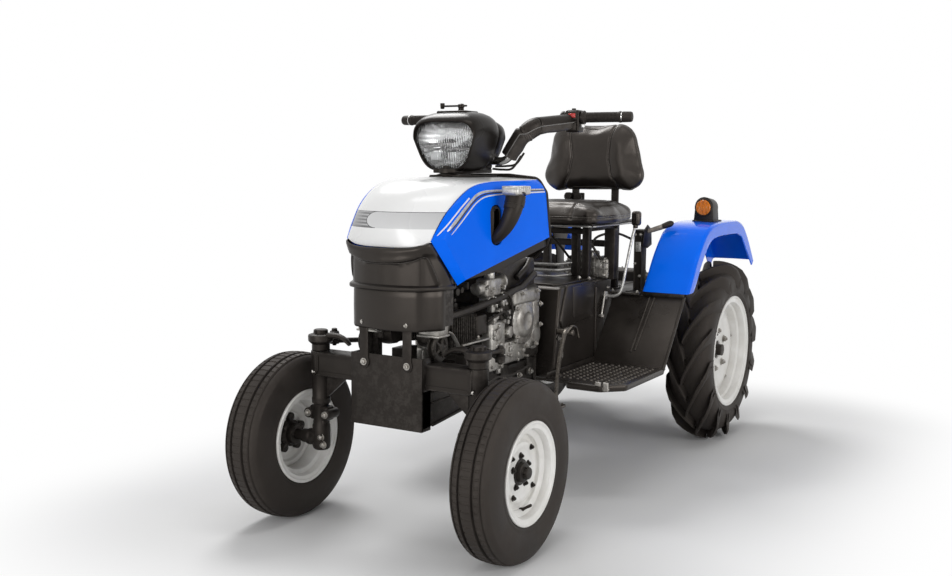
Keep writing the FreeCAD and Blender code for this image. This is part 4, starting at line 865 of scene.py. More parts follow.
rearTyre = dict(radius=315, half=80, bead=178, carcass=286, lugs=14, lugWide=27, lugTop=20,
                sweep=26)
rearRim = dict(half=62, bead=177.6, flange=195, well=158, disc=118, discOut=20, sheet=4,
               boltRadius=70, bolts=5)


def rearCarcassLeft(centre):
    t = rearTyre
    c, h, b = t["carcass"], t["half"], t["bead"]
    outer = [(0, c), (22, c - 1), (40, c - 5), (54, c - 12), (64, c - 22), (70, c - 36),
             (h - 7, c - 52), (h - 7.5, c - 66), (h - 9, c - 74), (h - 8.2, c - 77),
             (h - 9.6, c - 80), (h - 13, c - 90), (h - 15, b + 15), (h - 17.6, b + 9),
             (h - 18, b)]
    profile = outer + [(-x, rr) for x, rr in reversed(outer[1:])]
    return turnedPiece("tyreRearLeft", centre, (1, 0, 0), profile, 112)


def rearLug(centre):
    # one curved lug from the middle out over the shoulder, made at the top of the tyre
    t = rearTyre
    rows = []
    count = 9
    for k in range(count):
        s = k / (count - 1)
        # across the tread and how far round it has swept
        across = -6 + s * 82
        swept = t["sweep"] * s ** 0.8 + 10 * s ** 3
        if s < 0.66:
            top = t["radius"] - 7 * (s / 0.66) ** 2
            low = t["carcass"] - 4 - 14 * s ** 2
        else:
            drop = (s - 0.66) / 0.34
            top = t["radius"] - 7 - 46 * drop ** 1.6
            low = t["carcass"] - 10 - 62 * drop
            across = 48 + 29 * math.sin(drop * math.pi / 2)
        wide = t["lugWide"] * (0.92 + 0.25 * s)
        crown = t["lugTop"] * (0.95 + 0.2 * s)
        row = []
        for share, level in ((-wide / 2, low), (-crown / 2 - 1, top - 4),
                             (-crown / 2 + 1, top - 0.8), (0, top), (crown / 2 - 1, top - 0.8),
                             (crown / 2 + 1, top - 4), (wide / 2, low)):
            lift = level / 1000
            angle = math.radians(swept) - share / t["radius"]
            row.append(centre + Vector((across / 1000, math.sin(angle) * lift,
                                        math.cos(angle) * lift)))
        rows.append(row)
    lug = gridPiece("lugModel", rows)
    # close it underneath and at both ends
    edit("EDGE")
    bpy.ops.mesh.region_to_loop()
    bpy.ops.mesh.fill()
    quiet()
    lug = outward(lug)
    return soften(lug, 1.6, 2, 40)


def rearTreadLeft(centre):
    t = rearTyre
    one = rearLug(centre)
    mirror = Matrix.Translation(centre) @ Matrix.Scale(-1, 4,
        (1, 0, 0)) @ Matrix.Translation(-centre)
    other = flipped(copied(one, "lugModelOther", mirror))
    step = math.tau / t["lugs"]
    lugs = []
    for k in range(t["lugs"]):
        lugs += [
            copied(one, f"lug.{k}", turn(step * k, (1, 0, 0), centre)),
            copied(other, f"lugAcross.{k}", turn(step * (k + 0.5), (1, 0, 0), centre))]
    for model in (one, other):
        bpy.data.objects.remove(model)
    return joined("treadRearLeft", lugs)


def rearRimLeft(centre):
    m = rearRim
    h, f, b, w = m["half"], m["flange"], m["bead"], m["well"]
    o, s = m["discOut"], m["sheet"]
    profile = [
        (h - 2, b), (h - 2, f - 7), (h - 0.5, f - 2.5), (h + 2.4, f - 0.5), (h + 6, f - 0.8),
        (h + 8, f - 3.6), (h + 7.4, f - 7), (h + 4, f - 8.6), (h + 2.4, f - 11), (h + 1.6, b - 5),
        (h - 3, b - 7.6), (h - 20, b - 9.6), (h - 25, w + 4), (o + 3, w), (o - 8, w - 0.6),
        # rim seam bead, then the dished disc
        (o - 10, w - 3), (o - 10.6, w - 6), (o - 8, w - 9), (o - 2, w - 14), (o + 2, w - 24),
        (o + 3.4, m["disc"] + 4), (o + 2.4, m["disc"] - 4), (o - 1.5, m["disc"] - 14),
        (o - 3, m["disc"] - 24), (o - 3, 34), (o - 6, 31), (o - 9, 31), (o - 3 - s, 36),
        (o - 3 - s, m["disc"] - 24),
        (o - 1.5 - s, m["disc"] - 14), (o + 2.4 - s, m["disc"] - 4), (o + 3.4 - s, m["disc"] + 4),
        (o + 2 - s, w - 24), (o - 2 - s, w - 15), (o - 10 - s, w - 9), (o - 14.6, w - 5),
        (o - 13, w - 1),
        (-22, w), (-h + 25, w + 4), (-h + 20, b - 9.6), (-h + 3, b - 7.6), (-h - 1.6, b - 5),
        (-h - 2.4, f - 11), (-h - 4, f - 8.6), (-h - 7.4, f - 7), (-h - 8, f - 3.6),
        (-h - 6, f - 0.8), (-h - 2.4, f - 0.5), (-h + 0.5, f - 2.5), (-h + 2, f - 7), (-h + 2, b),
        (-h + 6, b - 3.4), (-h + 22, b - 6), (-h + 28, w + 5), (h - 28, w + 5), (h - 22, b - 6),
        (h - 6, b - 3.4)]
    return turnedPiece("rimRearLeft", centre, (1, 0, 0), profile, 112)


rearCentreLeft = Vector((0.352, rearY, 0.315))
carcass = rearCarcassLeft(rearCentreLeft)
tread = rearTreadLeft(rearCentreLeft)
rearHub = turnedPiece("hubRearLeft", rearCentreLeft, (1, 0, 0), [
    (-40, 50), (-26, 52), (6, 50), (8, 45), (10, 30), (11, 28), (14, 27), (15.5, 24), (16, 12),
    (16, 0.2), (-40, 0.2)], 40)
rearNuts = wheelBolts("nutsRearLeft", rearCentreLeft, 1, [
    (rearRim["discOut"] - 3, rearRim["boltRadius"], rearRim["bolts"], 26, 1.7),
    (rearRim["discOut"] - 5, 148, 6, 12, 0.8)])
rearStem = valveStem("valveRearLeft", rearCentreLeft, 1, 28, 163, math.radians(150))
for piece, coat, stands in (
        (carcass, "tyreRubber", ["rear_tyre_"]), (tread, "tyreRubber", ["rear_tyre_"]),
        (rearRimLeft(rearCentreLeft), "rimPaint", ["rear_rim_"]), (rearHub, "castIron", [])):
    pair(piece, coat, stands, 30, "rear_wheel_")
pair(rearNuts, "boltSteel", [], 30, "rear_wheel_")
pair(rearStem, "tyreRubber", [], 30, "rear_wheel_")
print("rear wheels")

# hood: crowned white top, blue sides with a chamfer at the nose

hood = dict(sheet=4, rows=34, across=24, joint=1.2, dip=15, faceHalf=148, faceGrow=0.126,
            seamHalf=127, seamGrow=0.1, seamSwell=5, shoulder=5, faceCells=9, chamferRows=9)
crest = [(-62, 770), (-60, 802), (-46, 842), (-14, 882), (45, 912), (130, 923), (280, 925.5),
         (424, 926)]
seamLine = [(-36, 772), (-13, 802), (21, 841), (68, 876), (122, 903), (190, 915), (290, 918),
            (424, 920)]
creaseLine = [(-5, 776), (28, 815), (59, 848), (94, 872), (142, 884), (200, 886), (300, 886),
              (430, 884)]
chamferFoot = Vector((148, 55, 657))
creaseFoot = Vector((168, 63, 672))
lowerRear = (451, 761)


def curveOf(pairs, count):
    flat = smoothLine([Vector((0, y, z)) for y, z in pairs], count)
    return [(point.y, point.z) for point in flat]


def gentle(low, high, value):
    t = min(1, max(0, (value - low) / (high - low)))
    return t * t * (3 - 2 * t)


def faceHalf(y):
    return hood["faceHalf"] + hood["faceGrow"] * (y + 5)


def seamHalf(y):
    return hood["seamHalf"] + hood["seamGrow"] * (y + 36) + hood["seamSwell"] * gentle(-36, 50, y)


def noseDip(x):
    # how far the nose's lower rim hangs below its corners, in millimetres
    return hood["dip"] * (1 - min(1, abs(x) / hood["seamHalf"]) ** 5)


def sheetPiece(name, rows, thick, heart, around=False):
    # a sheet from rows of points, its face turned away from the heart, given its thickness inwards
    piece = gridPiece(name, rows, around)
    face = max(piece.data.polygons, key=lambda part: part.area)
    if face.normal.dot(face.center - heart) < 0:
        flipped(piece)
    return modify(piece, "SOLIDIFY", thickness=thick / 1000, offset=-1)


hoodHeart = front(0, 230, 800)


def hoodTop():
    rows = []
    n, across = hood["rows"], hood["across"]
    for row, ((cy, cz), (sy, sz)) in enumerate(zip(curveOf(crest, n), curveOf(seamLine, n))):
        line = []
        for k in range(-across, across + 1):
            t = k / across
            bow = 0.75 * t ** 2 + 0.25 * t ** 4
            z = cz + (sz - cz) * bow
            z -= noseDip(t * hood["seamHalf"]) * max(0, 1 - (cz - crest[0][1]) / 32)
            line.append(front(t * (seamHalf(sy) - hood["joint"]), cy + (sy - cy) * bow, z))
        rows.append(line)
    # the nose's lower rim turns in under itself
    tucked = [point + Vector((-point.x * 0.03, 0.006, -0.0015)) for point in rows[0]]
    top = sheetPiece("hoodTop", [tucked] + rows, hood["sheet"], hoodHeart)
    top = soften(top, 1.0, 2, 50)
    return done(top, "hoodWhite", ["hood_top"], 50)


def panelPoint(k, s, cells):
    # one column of the side: k along it from the chamfer's foot, s the place down the column
    if k < 1:
        seamNow = chamferFoot.lerp(Vector((seamHalf(-36), *seamLine[0])), k)
        creaseNow = creaseFoot.lerp(Vector((faceHalf(-5), *creaseLine[0])), k)
    else:
        sy, sz = cells["seam"](k - 1)
        cy, cz = cells["crease"](k - 1)
        seamNow, creaseNow = Vector((seamHalf(sy), sy, sz)), Vector((faceHalf(cy), cy, cz))
    share = 0.02 + 0.98 * (k / 8) ** 1.2
    foot = creaseFoot.lerp(Vector((faceHalf(lowerRear[0]), *lowerRear)), share)
    if s <= 1:
        spot = seamNow.lerp(creaseNow, s)
        bulge = 4 * s * (1 - s) * 3.5 * min(1, max(0, k - 1))
        spot += Vector((0.6, 0, 0.8)) * bulge
    else:
        spot = creaseNow.lerp(foot, s - 1)
    return front(*spot)


def along(pairs):
    fine = curveOf(pairs, 141)
    return lambda k: fine[min(int(round(k / 7 * 140)), 140)]


def sidePanel():
    cells = {"seam": along(seamLine), "crease": along(creaseLine)}
    steps = [k / hood["chamferRows"] for k in range(hood["chamferRows"])]
    steps += [1 + 7 * k / 40 for k in range(41)]
    down = [k / hood["shoulder"] for k in range(hood["shoulder"])]
    down += [1 + (k / hood["faceCells"]) for k in range(hood["faceCells"] + 1)]
    down[0] = 0.03
    rows = [[panelPoint(k, s, cells) for s in down] for k in steps]
    panel = sheetPiece("sidePanelLeft", rows, hood["sheet"], hoodHeart)
    return soften(panel, 2.2, 3, 30)


def slotHole(name, grow=0.0, reach=(90, 260)):
    # rounded opening in the side, standing a little forward at its top
    low, high = front(reach[0], 176 - grow, 751 - grow), front(reach[1], 226 + grow, 856 + grow)
    return block(name, low, high, 21 + grow, 6)


panelWhole = sidePanel()
panelRight = otherSide(panelWhole)
done(panelRight, "bodyBlue", ["side_panel_right"], 28)
hole = slotHole("slotHole")
modify(panelWhole, "BOOLEAN", operation="DIFFERENCE", solver="EXACT", object=hole)
panelLeft = done(panelWhole, "bodyBlue", ["side_panel_left"], 28)
bpy.data.objects.remove(hole)

# a dark pocket behind the slot, open to the outside and to the duct
pocket = slotHole("slotPocket", 3.0, (128, 181))
pick(pocket, "FACE", lambda middle, normal: abs(normal.x) > 0.9 and middle.x > 0.17)
bpy.ops.mesh.delete(type="FACE")
quiet()
modify(pocket, "SOLIDIFY", thickness=0.002, offset=-1)
done(pocket, "plasticBlack", angle=40)
hoodTop()
print("hood")

# pinstripes laid on both sides, and a painted highlight along the shoulder crease
stripes = [  # path behind the front axle and above the ground, widths at its ends, finish
    # the first entry, short and white, is a painted highlight along the shoulder crease; the other
    # three are the decal's stripes
    (((-19, 785), (8, 808), (33, 830), (62, 854), (92, 875)), (2.4, 3.6), "trimWhite"),
    (((7, 795), (40, 821), (70, 846), (100, 869), (122, 882), (150, 889.5), (190, 892),
      (240, 892.5), (330, 893), (424, 893.5)), (9.5, 3.0), "trimSilver"),
    (((13, 791), (45, 816), (75, 841), (104, 863), (126, 875.5), (152, 883.5), (190, 887),
      (240, 888.5), (330, 889.5), (424, 890.5)), (4.4, 2.2), "trimDark"),
    (((20, 786), (52, 811), (81, 834.5), (109, 856.5), (130, 868.5), (155, 877), (190, 881),
      (240, 883), (330, 885), (424, 886.5)), (3.4, 3.2), "trimWhite")]


def stripeOn(panel, name, path, widths, side):
    steps = 70
    points = smoothLine([Vector((0, y, z)) for y, z in path], steps)
    rows = []
    for k, point in enumerate(points):
        run = (points[min(k + 1, steps - 1)] - points[max(k - 1, 0)]).normalized()
        across = Vector((0, -run.z, run.y))
        taper = min(1, 0.25 + k / 9)
        half = (widths[0] + (widths[1] - widths[0]) * k / steps) / 2 * taper
        row = []
        for share in (-1, -0.33, 0.33, 1):
            spot = point + across * (half * share)
            start = front(side * 400, spot.y, spot.z)
            hit, place, normal, _ = panel.ray_cast(start, Vector((-side, 0, 0)))
            row.append(place + normal * 0.0005)
        rows.append(row)
    return sheetPiece(name, rows, 0.9, hoodHeart)


# each decal stripe and the painted crease highlight, laid on both side panels
for number, (path, widths, coat) in enumerate(stripes):
    for panel, side, word in ((panelLeft, 1, "Left"), (panelRight, -1, "Right")):
        stripeAndShine = stripeOn(panel, f"stripe{word}.{number}", path, widths, side)
        done(stripeAndShine, coat, angle=40)

# painted shade: a black sheet along the lower edge of each side, and the rolled edge at the rear
shadeSheet = dict(drop=26, inset=7, thick=3)


def sideShadeSheet():
    # a dark sheet hung where only shade falls below the panel's lower edge: painted shade
    rows = []
    for k in range(18):
        t = k / 17
        edge = creaseFoot.lerp(Vector((faceHalf(lowerRear[0]), *lowerRear)), t)
        low = edge + Vector((-shadeSheet["inset"] - 4, 4, -shadeSheet["drop"] * min(1, 0.15 + t * 2.2)))
        high = edge + Vector((-shadeSheet["inset"], -2, 10))
        rows.append([front(*high.lerp(low, s / 4)) for s in range(5)])
    sheet = sheetPiece("hoodLinerLeft", rows, shadeSheet["thick"], hoodHeart)
    return soften(sheet, 0.8, 2, 50)


pair(sideShadeSheet(), "plasticBlack", angle=40)

rim = [(150, 700), (192, 738), (203, 765), (201, 884), (178, 922), (90, 930)]
rimPath = [front(x, 455 + (z - 755) * -0.165, z) for x, z in rim]
rimPath += [Vector((-point.x, point.y, point.z)) for point in reversed(rimPath)]
rearEdge = tubePiece("hoodRearEdge", rimPath, 5.5, 26, 3)
done(rearEdge, "plasticBlack", angle=50)
print("stripes and liners")


# duct from the slot up to its ribbed cap

duct = dict(cells=24, sides=20)


def sweptTube(name, spine, radii, sides, flat=1.0, shutEnds=True):
    # a tube with a changing radius along a smooth line
    points = smoothLine(spine, duct["cells"])
    sizes = smoothLine([Vector((radius, 0, 0)) for radius in radii], duct["cells"])
    rows = []
    up = Vector((0, 0, 1))
    for k, point in enumerate(points):
        run = (points[min(k + 1, len(points) - 1)] - points[max(k - 1, 0)]).normalized()
        side = run.cross(up if abs(run.z) < 0.95 else Vector((0, 1, 0))).normalized()
        over = side.cross(run)
        row = []
        for j in range(sides + 1):
            angle = math.tau * j / sides
            row.append(point + (side * math.cos(angle) + over * math.sin(angle) * flat)
                       * sizes[k].x / 1000)
        rows.append(row)
    return gridPiece(name, rows, around=True, capped=shutEnds)


ductTube = sweptTube("sideDuct", [
    front(96, 262, 745), front(130, 214, 756), front(172, 197, 768), front(203, 199, 798),
    front(219, 206, 836), front(220, 222, 874), front(219, 225, 884)],
    [15, 15, 16, 19, 23, 26.5, 27], duct["sides"])
pressed(ductTube, lambda middle, normal: abs(middle.z - 0.858) < 0.004, 0.0008, 0.0016)
done(ductTube, "plasticBlack", ["side_duct"], 45)
ductFoot = tubePiece("ductFoot", [front(88, 372, 692), front(88, 372, 730), front(96, 262, 745)],
                     14, 24, 4)
done(ductFoot, "plasticBlack", angle=50)

cap = block("ductCap", front(194, 190, 881), front(243, 269, 903), 8, 4)
pressed(cap, lambda middle, normal: normal.z > 0.9, 0.004, 0.0012)
ribs = [cap]
for k in range(7):
    y = 198 + k * 10.4
    ribs.append(block(f"capRib.{k}", front(193.5, y - 2.6, 884), front(243.5, y + 2.6, 905), 2, 3))
capPiece = joined("ductCap", ribs)
done(capPiece, "trimSilver", angle=50)
print("duct")


# bezel under the nose and the screen below it

bezel = dict(sheet=4, ledge=720, ledgeRise=20, recess=7.5, lip=656, cells=64)
# plan of the bezel under the nose, and the rounder one that it runs down to
nosePlan = [(146, 60), (145, 38), (142, 10), (136, -18), (127, -40), (113, -53.5), (93, -62.5),
            (55, -71), (20, -75.6), (0, -76)]
bezelPlan = [(146, 60), (145.5, 40), (143, 18), (136, -4), (126, -24), (114, -42), (100, -54),
             (60, -68.5), (20, -74.5), (0, -76)]


def planPath(plan, count):
    half = [Vector((x, y, 0)) for x, y in plan]
    whole = half + [Vector((-point.x, point.y, 0)) for point in reversed(half[:-1])]
    return smoothLine(whole, count)


def bezelRows():
    b = bezel
    upper, lower = planPath(nosePlan, 241), planPath(bezelPlan, 241)
    levels = [769, 767, 764, 759, 752, 744, 737, 732, 728, 725, 723, 721, 719, 716, 711, 704, 696,
              688, 680, 672, 667, 664, 662, 660, 658, 656, 654, 651, 649, 648]
    rows = []
    for z in levels:
        end = -42 + (775 - z) * 93 / 120
        path = [low.lerp(high, gentle(730, 762, z)) for low, high in zip(lower, upper)]
        kept = [point for point in path if point.y < end + 10]
        fine = smoothLine(kept, b["cells"] * 2 + 1)
        row = []
        for k, point in enumerate(fine):
            ahead, behind = fine[min(k + 1, len(fine) - 1)], fine[max(k - 1, 0)]
            run = (ahead - behind).normalized()
            out = Vector((-run.y, run.x, 0))
            if out.y > 0 or out.dot(Vector((point.x, point.y + 20, 0))) < 0:
                out = -out if out.dot(Vector((point.x, point.y - 60, 0))) < 0 else out
            x = abs(point.x)
            ledge = b["ledge"] + b["ledgeRise"] * min(1, x / 118) ** 2.4 - 4
            crown = 2.5 * math.sin(math.pi * min(1, max(0, (z - ledge) / (769 - ledge))))
            crown *= 1 - gentle(95, 126, x)
            crown += 1.8 * gentle(ledge + 16, ledge + 5, z) * gentle(ledge - 3, ledge + 1, z)
            side = 116 + (ledge - z) * 0.22
            inNiche = gentle(side + 5, side, x) * gentle(ledge, ledge - 5, z) * gentle(
                b["lip"] + 1, b["lip"] + 6, z)
            under = -2.5 * gentle(ledge, ledge - 6, z)
            lip = 3.5 * gentle(662, 656, z) * gentle(647.5, 650, z)
            tuck = 5 * gentle(end - 8, end + 4, point.y)
            shift = crown + under + lip - b["recess"] * inNiche - tuck
            if z > 766:
                shift -= (z - 766) * 1.0
            lifted = z + (1.5 * gentle(ledge + 8, ledge, z) * gentle(ledge - 8, ledge, z))
            lifted -= noseDip(x) * gentle(736, 769, z)
            spot = point + out * shift
            row.append(front(spot.x, spot.y, lifted))
        rows.append(row)
    return rows


bezelPiece = sheetPiece("noseBezel", bezelRows(), bezel["sheet"], front(0, 40, 710))
done(bezelPiece, "screenBlack", ["grille_bezel"], 40)

# thin raised frame round the recess
frameHalf = [(0, 715), (50, 716.5), (85, 723), (104, 730.5), (112, 732), (118, 725), (125, 702),
             (131, 672)]


def onBezel(x, z):
    hit, place, normal, _ = bezelPiece.ray_cast(front(x, -260, z), Vector((0, 1, 0)))
    return place + normal * 0.0006 if hit else front(x, -60, z)


line = smoothLine([Vector((x, 0, z)) for x, z in frameHalf], 40)
whole = [onBezel(point.x, point.z) for point in line]
whole = [Vector((-point.x, point.y, point.z)) for point in reversed(whole[1:])] + whole
bezelFrame = tubePiece("bezelFrame", whole, 1.1, 0, 2)
done(bezelFrame, "trimDark", angle=60)

cover = dict(sheet=3.5)
coverPlan = [(135.5, 20), (135, 10), (131, 0), (122, -13), (112, -28), (101, -41), (88, -49.5),
             (60, -57.5), (30, -62.5), (0, -64)]


def coverRows():
    path = planPath(coverPlan, 97)
    rows = []
    for z, shift in ((651, -3), (645, 0), (630, 0), (600, 0.4), (570, 0), (553, 0), (549, -0.8),
                     (547, -2.5)):
        row = []
        for point in path:
            heart = Vector((point.x, point.y - 60, 0)).normalized()
            spot = point + heart * shift
            row.append(front(spot.x, spot.y, z))
        rows.append(row)
    return rows


screen = sheetPiece("noseScreen", coverRows(), cover["sheet"], front(0, 60, 600))
done(screen, "screenBlack", ["radiator_cover"], 30)
print("bezel and screen")

# plates and boxes in millimetres from the front or the rear axle

def boxAt(name, low, high, width=1.5, segments=2):
    return block(name, front(*low), front(*high), width, segments)


def rearBox(name, low, high, width=1.5, segments=2):
    return block(name, rear(*low), rear(*high), width, segments)


def platePiece(name, points, run, width=1.2, segments=2):
    # a flat outline given its thickness, edges rounded
    quiet()
    bpy.ops.mesh.primitive_circle_add(vertices=len(points), radius=0.1, fill_type="NGON")
    piece = called(name)
    for corner, point in zip(piece.data.vertices, points):
        corner.co = point
    edit("FACE")
    bpy.ops.mesh.extrude_region_move(TRANSFORM_OT_translate={"value": Vector(run) / 1000})
    quiet()
    outward(piece)
    return soften(piece, width, segments, 25) if width else piece


def roundEnd(x, z, radius, start, stop, steps=8, tall=None):
    # pairs of points on an arc, angles in degrees; tall is its radius upwards where it differs
    angles = [math.radians(start + (stop - start) * k / steps) for k in range(steps + 1)]
    return [(x + radius * math.cos(angle), z + (tall or radius) * math.sin(angle))
            for angle in angles]


guard = dict(half=109, face=-45, thick=4, low=295, high=481, strapX=66, strapHalf=13, strapTop=585,
             boltZ=459, sideLength=190)


def frontGuard():
    g = guard
    plate = boxAt("frontGuard", (-g["half"], g["face"], g["low"]),
                  (g["half"], g["face"] + g["thick"], g["high"]), 1.4, 3)
    pieces = [plate]
    for side in (1, -1):
        x = side * g["half"]
        # a short folded edge, then the long side plate with its lower lip
        pieces.append(boxAt("guardFold", (x - side * g["thick"], g["face"], g["low"]),
                            (x, -4, g["high"] - 1), 1.2))
        outline = [(-42, 301), (-42, 398), (150, 398), (g["sideLength"], 392),
                   (g["sideLength"], 330), (168, 318)]
        pieces += [
            platePiece("guardSide", [front(x, y, z) for y, z in outline], (-side * 3.6, 0, 0)),
            boxAt("guardLip", (x - side * 1, 0, 361), (x + side * 5, 188, 366), 1.2),
            boxAt("guardLip", (x - side * 1, 0, 390), (x + side * 7, 188, 396), 1.2),
            platePiece("guardLip",
                       [front(x - side, y, z)
                        for y, z in ((0, 303), (168, 318), (168, 324), (0, 309))],
                       (side * 5, 0, 0), 1.0)]
    # straps: a long neck with a round foot bolted to the plate
    for side in (1, -1):
        cx = side * g["strapX"]
        h = g["strapHalf"]
        outline = [(cx - h, g["strapTop"]), (cx - h, 470)] + roundEnd(cx, g["boltZ"], 16, 150, 390,
            12) + [(cx + h, 470), (cx + h, g["strapTop"])]
        pieces.append(platePiece("guardStrap",
                                 [front(x, g["face"] - g["thick"], z) for x, z in outline],
                                 (0, g["thick"], 0), 1.0))
    return joined("frontGuard", pieces)


done(frontGuard(), "chassisBlack", ["front_guard"], 30)
bolted("guardBolts",
       [(front(side * guard["strapX"], guard["face"] - guard["thick"], z), (0, -1, 0))
        for side in (1, -1) for z in (guard["boltZ"], 562)], 1.15)


# frame rails, posts and cross members

def frontFrame():
    pieces = []
    for side in (1, -1):
        outer, inner = side * 103, side * 80
        rail = boxAt("rail", (inner, -30, 320), (outer, 580, 395), 2.0, 3)
        pressed(rail, lambda middle, normal: normal.x * side > 0.9 and abs(middle.x) > 0.1, 0.009,
                -0.007)
        pieces.append(rail)
        # the upright post behind the guard with its foot, and the seat of the axle beam
        pieces += [
            boxAt("post", (side * 84, 150, 338), (side * 119, 224, 462), 2.2, 3),
            boxAt("postFoot", (side * 100, 142, 338), (side * 121, 232, 362), 2.0, 2),
            boxAt("axlePad", (side * 82, -34, 386), (side * 107, 34, 399.5), 2.0, 2)]
    pieces += [
        boxAt("cradle", (-103, 365, 350), (103, 405, 399), 2.0, 2),
        boxAt("cradle", (-103, 520, 350), (103, 560, 399), 2.0, 2),
        boxAt("axleSeat", (-103, -30, 345), (103, 30, 399.6), 2.0, 2)]
    return joined("frontFrame", pieces)


done(frontFrame(), "chassisBlack", ["front_frame"], 30)
bolted("railBolts", [(front(side * 121, y, z), (side, 0, 0)) for side in (1, -1)
                     for y, z in ((187, 350), (154, 350))]
       + [(front(side * 103, y, 358), (side, 0, 0)) for side in (1, -1) for y in (385, 470, 540)],
       1.25)
print("guard and frame")


# axle beam with its sleeves, knuckles on their kingpins

kingpin = dict(x=243, low=322)


def axleBeam():
    k = kingpin
    beam = boxAt("axleBeam", (-k["x"], -30, 400), (k["x"], 30, 465), 5, 3)
    pressed(beam, lambda middle, normal: abs(normal.y) > 0.9, 0.010, -0.0035)
    pieces = [beam]
    for side in (1, -1):
        centre = front(side * k["x"], 0, 0)
        profile = [(k["low"], 13.2), (k["low"], 23), (k["low"] + 2, 25), (k["low"] + 14, 25.4),
                   (k["low"] + 16, 24), (395, 24), (399, 26.5), (463, 26.5), (465, 25),
                   (465, 13.2)]
        pieces.append(turnedPiece("sleeve", centre, (0, 0, 1), profile, 40))
        # gusset between beam and sleeve
        pieces.append(platePiece("gusset", [front(side * x, -5, z) for x, z in (
            (150, 402), (222, 402), (222, 340), (214, 345))], (0, 10, 0), 1.2))
    return joined("axleBeam", pieces)


done(axleBeam(), "chassisBlack", ["front_axle_beam"])
nipples = []
for side in (1, -1):
    nipples.append(turnedPiece("nipple", front(side * kingpin["x"], -24, 409),
                               (side * 0.5, -1, 0.25),
                               [(-2, 5), (3, 5), (3.4, 3.4), (7, 3), (8, 4), (10.5, 3.6),
                                (11.5, 2), (11.6, 0.2), (-2, 0.2)], 14))
nipplePiece = joined("greaseNipples", nipples)
done(nipplePiece, "machinedSteel", angle=50)


def onCap(low, high, near, far, notches, wide):
    # a test for faces between two heights and two distances from the kingpin, notched round it
    def test(middle, normal):
        x, y = middle.x - kingpin["x"] / 1000, middle.y - frontY
        return (low < middle.z < high and abs(x) < 0.03 and near < math.hypot(x, y) < far
                and math.cos(notches * math.atan2(y, x)) > wide)
    return test


def knuckleLeft():
    k = kingpin
    x = k["x"]
    centre = front(x, 0, 0)
    pieces = [
        turnedPiece("foot", centre, (0, 0, 1), [
            (196, 0.2), (196, 18), (199, 22), (206, 24), (262, 24), (268, 21), (276, 20),
            (317, 20), (321.4, 22), (321.4, 0.2)], 40),
        turnedPiece("cap", centre, (0, 0, 1), [
            (465.6, 0.2), (465.6, 22), (467, 24), (482, 24), (488, 31), (491, 33.5), (503, 34),
            (507, 32.5), (509.5, 24), (511, 19.5), (519, 19), (521, 16.5), (521, 0.2)], 40),
        boxAt("yoke", (x - 34, -17, 277), (x + 30, 17, 316), 8, 4),
        rod("lug", front(x - 30, -24, 296), front(x - 30, 24, 296), 14, 2.5, 24),
        rod("lug", front(x + 27, -24, 296), front(x + 27, 24, 296), 14, 2.5, 24),
        # the stub axle with its collar
        turnedPiece("stub", front(x, 0, 225), (1, 0, 0), [
            (0, 0.2), (0, 23), (20, 23), (30, 20), (34, 22), (40, 22), (42, 19), (60, 18),
            (62, 15), (118, 14.9), (118, 0.2)], 36),
        boxAt("shin", (x - 20, -15, 205), (x + 20, 15, 280), 7, 3)]
    # stop arm, arching inwards and down
    arch = sweptTube("stopArm",
                     [front(x - 8, 0, 497), front(x - 34, -1, 506), front(x - 62, 0, 506),
                      front(x - 84, 0, 497), front(x - 96, 0, 487)], [15, 13.5, 11, 9.5, 7], 16,
                     0.62)
    arm = sweptTube("steerArm", [front(x, 0, 497), front(x + 4, 26, 498), front(x + 10, 54, 498),
                                 front(x + 17, 84, 498)], [16, 13, 11, 12.5], 16, 0.55)
    pin = turnedPiece("ballPin", front(x + 17, 80, 0), (0, 0, 1),
                      [(465, 0.2), (465, 5.5), (492, 5.8), (492, 13), (504, 12.4), (505, 11),
                       (505, 8), (511, 7.6), (512.5, 5), (512.5, 0.2)], 24)
    return joined("knuckleLeft", pieces + [arch, arm, pin])


left = knuckleLeft()
# slots in the kingpin nut, and ribs on the cap's rim
pressed(left, onCap(0.511, 0.516, 0.016, 1.000, 8, 0.45), 0.0005, -0.003)
pressed(left, onCap(0.488, 0.503, 0.031, 0.035, 20, 0.3), 0.0004, -0.0018)
leftNuts = joined("knuckleNutsLeft",
                  [boltsAt("yokeBolt",
                           [(front(213, -24, 296), (0, -1, 0)), (front(270, -24, 296), (0, -1, 0)),
                            (front(213, 24, 296), (0, 1, 0)), (front(270, 24, 296), (0, 1, 0))],
                           1.2),
                   boltsAt("footBolt",
                           [(front(232, -16, 232), (0, -1, 0)),
                            (front(225, -15, 212), (0, -1, 0))], 1.3)])
pair(left, "chassisBlack", ["knuckle_"], body="knuckle_")
pair(leftNuts, "boltSteel", body="knuckle_")

# rubber boots round the rods' ball joints
for side, word in ((1, "left"), (-1, "right")):
    boots = []
    for x, y in ((17, 320), (260, 80)):
        boots.append(turnedPiece("rodBoot", front(side * x, y, 0), (0, 0, 1),
                                 [(486.5, 6.5), (486.5, 11), (487.6, 11.6), (489.4, 9.4),
                                  (490.4, 7.4), (490.4, 6.5)], 24))
    done(joined("rodBoots." + word, boots), "fanBelt", angle=50, body="tie_rod_" + word)
print("axle and knuckles")


# engine: finned cylinder forward, silver crankcase and covers behind it

engine = dict(fins=13, finFirst=84, finLast=202)


def cylinderLeft():
    e = engine
    fins = []
    for k in range(e["fins"]):
        y = e["finFirst"] + (e["finLast"] - e["finFirst"]) * k / (e["fins"] - 1)
        rise = 4 * math.sin(math.pi * k / (e["fins"] - 1))
        fins.append(boxAt("fin", (58, y - 1.1, 491 - rise * 0.2),
                          (118 + rise, y + 1.1, 567 + rise), 1.0, 1))
        if k == 0:
            continue
        fins.append(boxAt("finCore", (66, y - 8, 499), (106, y + 2, 558), 4, 2))
    fins.append(boxAt("barrelTop", (64, 70, 556), (104, 212, 572), 5, 3))
    return joined("engineFinsLeft", fins)


